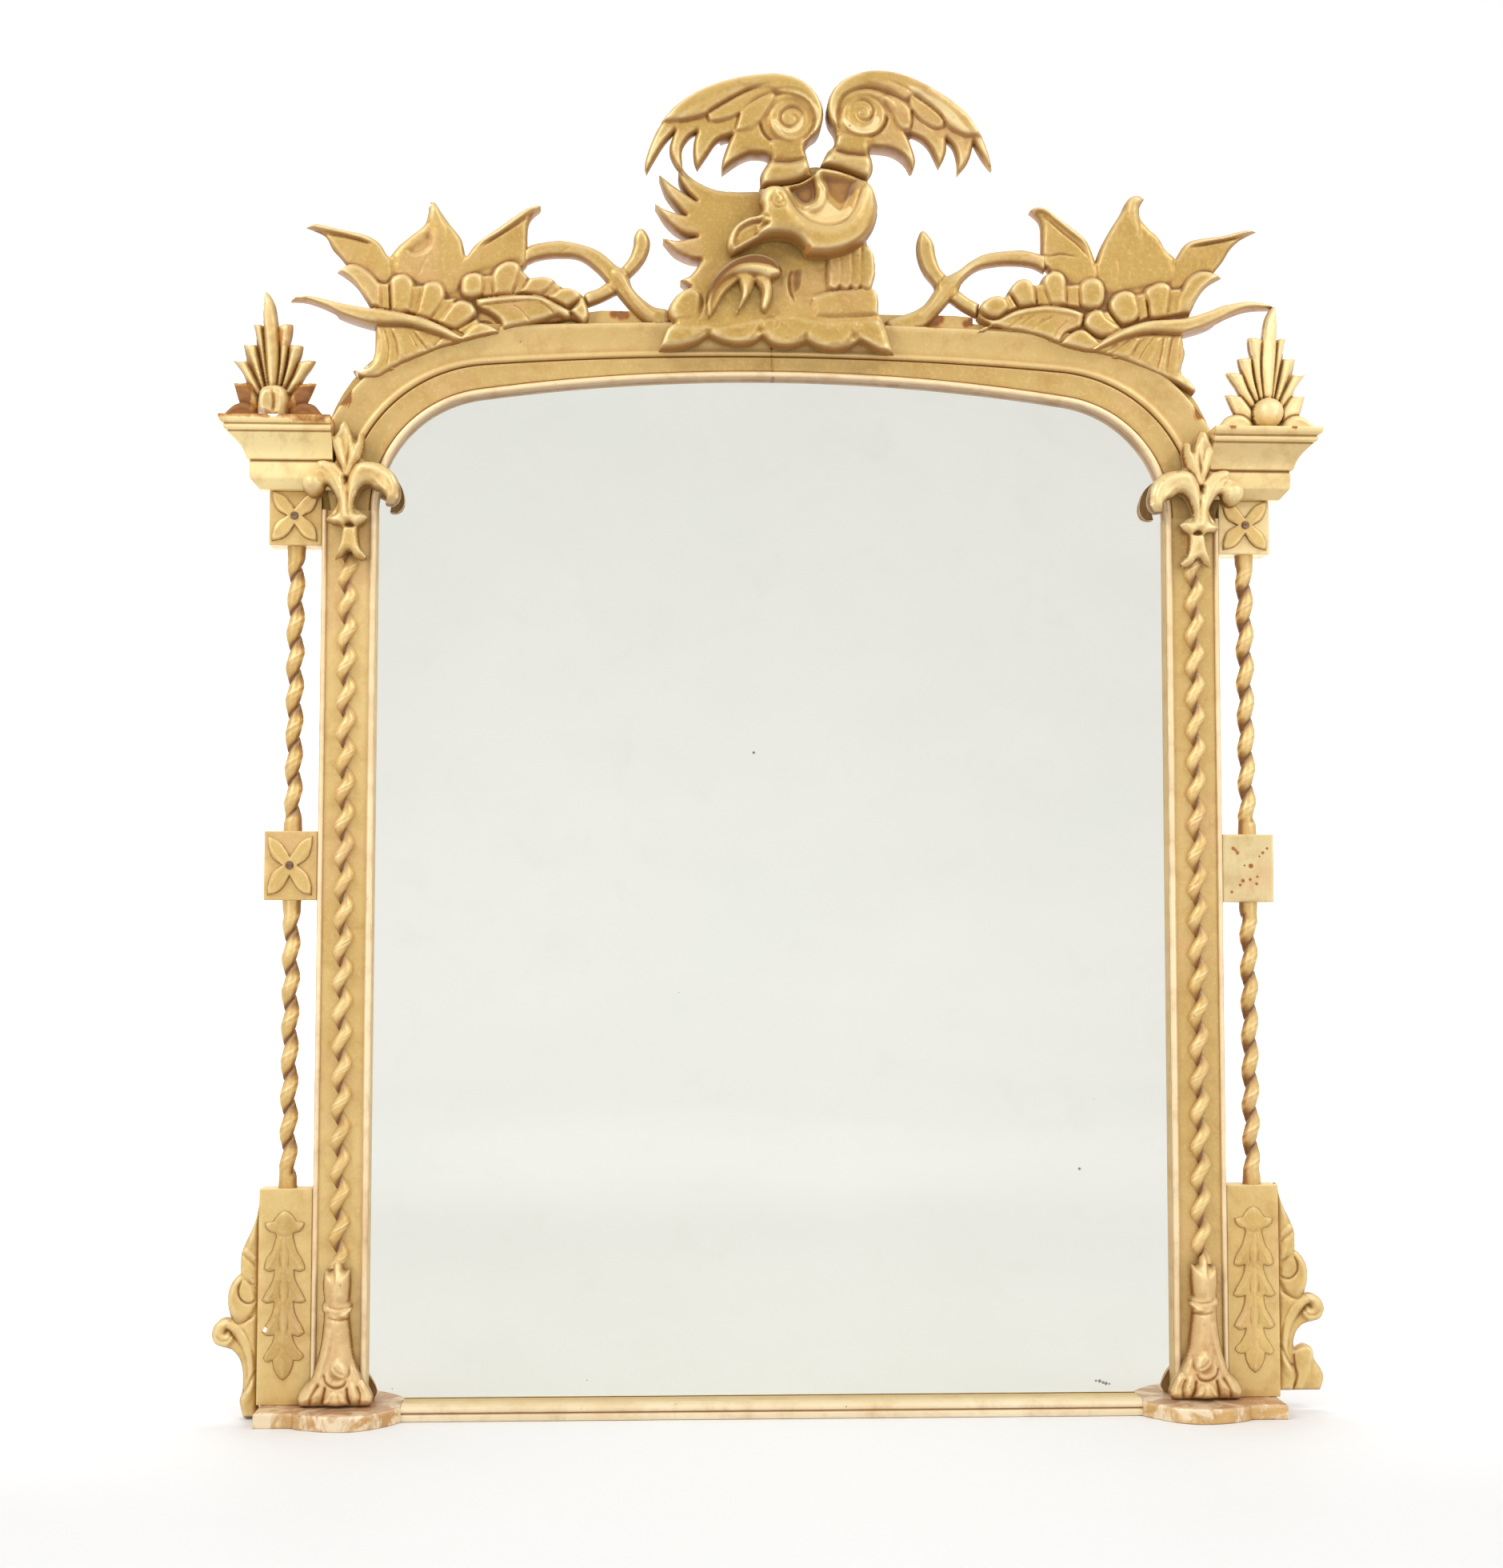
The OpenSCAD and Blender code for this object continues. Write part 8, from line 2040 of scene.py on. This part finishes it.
# rosettes: four folded petals each, held by one screw --------------------------------------
def rosette(name, s, zc, w, h, seed):
    P = [(0, h * 0.13, 1), (w * 0.09, h * 0.25), (w * 0.23, h * 0.38), (w * 0.475, h * 0.475, 1), (w * 0.46, h * 0.28), (w * 0.36, h * 0.10), (w * 0.16, 0, 1), (w * 0.36, -h * 0.12), (w * 0.46, -h * 0.30), (w * 0.47, -h * 0.475, 1),
         (w * 0.24, -h * 0.42), (w * 0.10, -h * 0.31), (0, -h * 0.16, 1), (-w * 0.10, -h * 0.31), (-w * 0.24, -h * 0.42), (-w * 0.48, -h * 0.475, 1), (-w * 0.46, -h * 0.28), (-w * 0.37, -h * 0.10), (-w * 0.16, 0, 1),
         (-w * 0.37, h * 0.11), (-w * 0.46, h * 0.28), (-w * 0.475, h * 0.475, 1), (-w * 0.23, h * 0.385), (-w * 0.09, h * 0.26)]
    r = Relief(spline(P, True, 1.2), edge=43.6, top=45.4, R=3.5, seed=seed)
    for sx, sz in ((1, 1), (1, -1), (-1, 1), (-1, -1)):
        a, b = sx * w * 0.47, sz * h * 0.47
        r.ridge([(0, 0), (a * 0.5, b * 0.5), (a * 0.98, b * 0.98)], 13.0, 3.0, (0.02, 0.12))
        r.groove([(a * 0.30, b * 0.20), (a * 0.62, b * 0.50), (a * 0.86, b * 0.80)], 1.5, 0.9, (0.3, 0.2))
    r.hollow([(q[0] * 1.0, q[1] * 1.0) for q in disc((0, 0), 6.0)], 45.4, 2.2)
    if s < 0:
        r.groove([(5.4, 12), (6.6, 13)], 1.6, 2.4, (0.01, 0.01))
    r.H = np.minimum(r.H, 47.9)
    rim(r, 1.6, 42.6)
    r.finish(0.2, 0.5)
    # a dark line painted round the edge: painted shade where the rosette meets the block, with some grime
    r.cav = r.cav + 0.7 * np.clip(1 - r.D / 1.7, 0, 1)
    # the middle stays level under the screw head
    o = relief_object(name, r, 42.1, grid=1.4, mats=GILT, shift=(s * 645.0, zc))
    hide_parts("rosettes")


rosette("left_upper_rosette", -1, 1196.0, 64.0, 72.0, 201)
rosette("left_middle_rosette", -1, 727.0, 62.0, 84.0, 211)
rosette("right_upper_rosette", 1, 1196.0, 64.0, 72.0, 221)


# --------------------------------------------------------------------------
# carried-over nodes
for nd in ("left_stile", "bottom_rail"):
    paint(nd, GILT_FLAT)
for nd in ("right_stile", "left_arch_head", "right_arch_head"):
    paint(nd, GILT_ARCH)
paint("mirror_glass", MIRROR)
for nd in ("left_backboard", "centre_backboard", "right_backboard", "glazing_blocks"):
    paint(nd, PINE_Z)
paint("back_battens", PINE_X)
paint("crest_cleats", PINE_Z)
for nd in ("backboard_screws", "rosette_screws", "hanger_screws"):
    paint(nd, STEEL)
paint("hanger_plates", BRASS)
# the beads take the pale gilding: a painted highlight along the sight beads, and the outer beads' own paler tone
for o in PIECES:
    if "bead" in o.name or o.name.startswith("base_moulding"):
        o.data.materials.clear()
        o.data.materials.append(GILT_PALE)
# the cornices take brighter gilding with little underside shade, which paints the front light on their down-turned
# faces; the others take their own tones
for o in PIECES:
    if o.name.startswith(("left_cornice", "right_cornice", "base_moulding", "left_husk", "arch_fascia", "arch_cove")):
        o.data.materials.clear()
        o.data.materials.append(GILT_BRIGHT if "left_c" in o.name else GILT_SOFT if "right_c" in o.name else GILT_BASE if "base" in o.name else GILT_ARCH if "cove" in o.name else GILT_DUSK)
for o in PIECES:
    if o.name.startswith(("left_shelf", "right_shelf")):
        o.data.materials.clear()
        o.data.materials.append(GILT_SHELF)
for o in PIECES:
    if o.name.startswith(("right_capital", "right_upper_block", "right_middle_block", "left_finial")):
        o.data.materials.clear()
        o.data.materials.append(GILT_DUSK if "finial" in o.name else GILT_LOST if "middle" in o.name else GILT_SOFT)
# no carving stands past the construction: its outer edge is drawn in by the few millimetres it would
for o in PIECES:
    co3 = np.empty(len(o.data.vertices) * 3)
    o.data.vertices.foreach_get("co", co3)
    co3 = co3.reshape(-1, 3)
    moved = False
    for ax in (0, 2):
        for sg, lim in ((-1.0, CAD_BOX[0][ax]), (1.0, CAD_BOX[1][ax])):
            v = sg * co3[:, ax]
            top = sg * lim - 0.0001
            if v.max() > top and not (ax == 2 and sg < 0):
                root = top - 0.05
                k = (top - root) / (v.max() - root)
                co3[:, ax] = sg * np.where(v > root, root + (v - root) * k, v)
                moved = True
    if moved:
        o.data.vertices.foreach_set("co", co3.ravel())
        o.data.update()
for nd, o in NODES.items():
    if not o.hide_render and o.data.materials and o.data.materials[0].name.split(".")[0] not in (
            "old_gilding", "old_gilding_flat", "old_gilding_arch", "old_gilding_crest", "old_gilding_pale", "old_gilding_bright", "old_gilding_shelf", "old_gilding_base", "old_gilding_soft", "old_gilding_dusk", "silvered_plate", "backboard_pine", "backboard_pine_across", "dark_screw_steel", "dull_brass"):
        paint(nd, GILT)

# --------------------------------------------------------------------------
# floor, light and camera
def stage_material(name, col, rough):
    m = Mat(name)
    n = m.noise(1.3, 3.0, 0.5)
    m.put(m.b.inputs["Base Color"], m.mix(m.ramp(n, [(0.3, 0.0), (0.7, 1.0)]), lin(*col), lin(*[min(255, c + 2) for c in col])))
    m.b.inputs["Roughness"].default_value = rough
    m.b.inputs["Specular IOR Level"].default_value = 0.15
    return m.m


def plane(name, x0, x1, prof, mat):
    """A sheet: prof is a list of (y, z) in metres, run across from x0 to x1."""
    V = [(x, y, z) for (y, z) in prof for x in (x0, x1)]
    F = [(2 * i, 2 * i + 1, 2 * i + 3, 2 * i + 2) for i in range(len(prof) - 1)]
    me = bpy.data.meshes.new(name)
    me.from_pydata(V, [], F)
    me.polygons.foreach_set("use_smooth", np.ones(len(me.polygons), bool))
    me.materials.append(mat)
    o = bpy.data.objects.new(name, me)
    bpy.context.scene.collection.objects.link(o)
    return o


FLOOR = stage_material("pale_floor", (234, 234, 234), 0.6)
# the floor runs out on every side and turns up gently, far behind and in front
prof = [(-5.0 - 11.0 * math.sin(t), 11.0 * (1 - math.cos(t))) for t in np.linspace(math.pi / 2, 0, 40)]
prof += [(-4.0, 0.0), (-2.0, 0.0), (2.0, 0.0), (5.0, 0.0)]
prof += [(7.0 + 9.0 * math.sin(t), 9.5 * (1 - math.cos(t))) for t in np.linspace(0, math.pi / 2, 30)]
plane("floor", -30.0, 30.0, prof, FLOOR)

world = bpy.data.worlds.new("studio")
bpy.context.scene.world = world
world.use_nodes = True
bg = world.node_tree.nodes["Background"]
bg.inputs[0].default_value = (1.0, 1.0, 1.0, 1.0)
bg.inputs[1].default_value = 0.90


def soft_box(name, loc, aim, size, power, col=(1, 1, 1), spread=180.0):
    li = bpy.data.lights.new(name, "AREA")
    li.shape = "RECTANGLE"
    li.size, li.size_y = size
    li.energy = power
    li.color = col
    li.spread = math.radians(spread)
    o = bpy.data.objects.new(name, li)
    o.location = loc
    o.rotation_mode = "QUATERNION"
    o.rotation_quaternion = (Vector(aim) - Vector(loc)).to_track_quat("-Z", "Y")
    bpy.context.scene.collection.objects.link(o)
    return o


soft_box("key", (2.5, -2.2, 3.6), (0.05, 0.0, 1.0), (1.3, 1.3), 5.6, (1.0, 1.0, 1.0), 60.0)
soft_box("fill", (-2.6, -2.1, 3.5), (-0.05, 0.0, 1.0), (1.4, 1.4), 6.7, (1.0, 1.0, 1.0), 60.0)
soft_box("low_left", (-3.3, -3.9, 0.55), (0.0, 0.0, 1.25), (1.0, 1.0), 2.4, (1.0, 1.0, 1.0), 50.0)
soft_box("low_right", (3.3, -3.9, 0.55), (0.0, 0.0, 1.25), (1.0, 1.0), 2.2, (1.0, 1.0, 1.0), 50.0)
soft_box("backdrop", (0.0, 3.0, 5.0), (0.0, 10.0, 0.0), (6.0, 2.0), 1300.0)
soft_box("front_wash", (0.0, -4.0, 6.5), (0.0, -13.0, 1.2), (5.0, 2.0), 200.0)

soft_box("floor_wash", (0.0, -2.9, 5.5), (0.0, -2.9, 0.0), (3.0, 1.6), 7.6, (1.0, 1.0, 1.0), 60.0)

cam = bpy.data.cameras.new("camera")
cam.sensor_fit = "VERTICAL"
cam.sensor_width = 36.0
cam.sensor_height = 36.0
cam.lens = 2900.0 / 1960.0 * 36.0
cam.clip_start, cam.clip_end = 0.05, 200.0
co = bpy.data.objects.new("camera", cam)
R = Matrix(((0.99878431, 0.04909082, -0.00447225), (-0.04927904, 0.99660469, -0.06595955), (0.00121906, 0.06609975, 0.99781228)))
right, fwd, up = R.col[0], R.col[1], R.col[2]
M = Matrix.Identity(4)
for i in range(3):
    M[i][0], M[i][1], M[i][2] = right[i], up[i], -fwd[i]
M.translation = Vector((-0.184, -3.154, 0.632))
co.matrix_world = M
bpy.context.scene.collection.objects.link(co)
bpy.context.scene.camera = co
bpy.context.scene.view_settings.view_transform = "Standard"
bpy.context.scene.view_settings.look = "None"
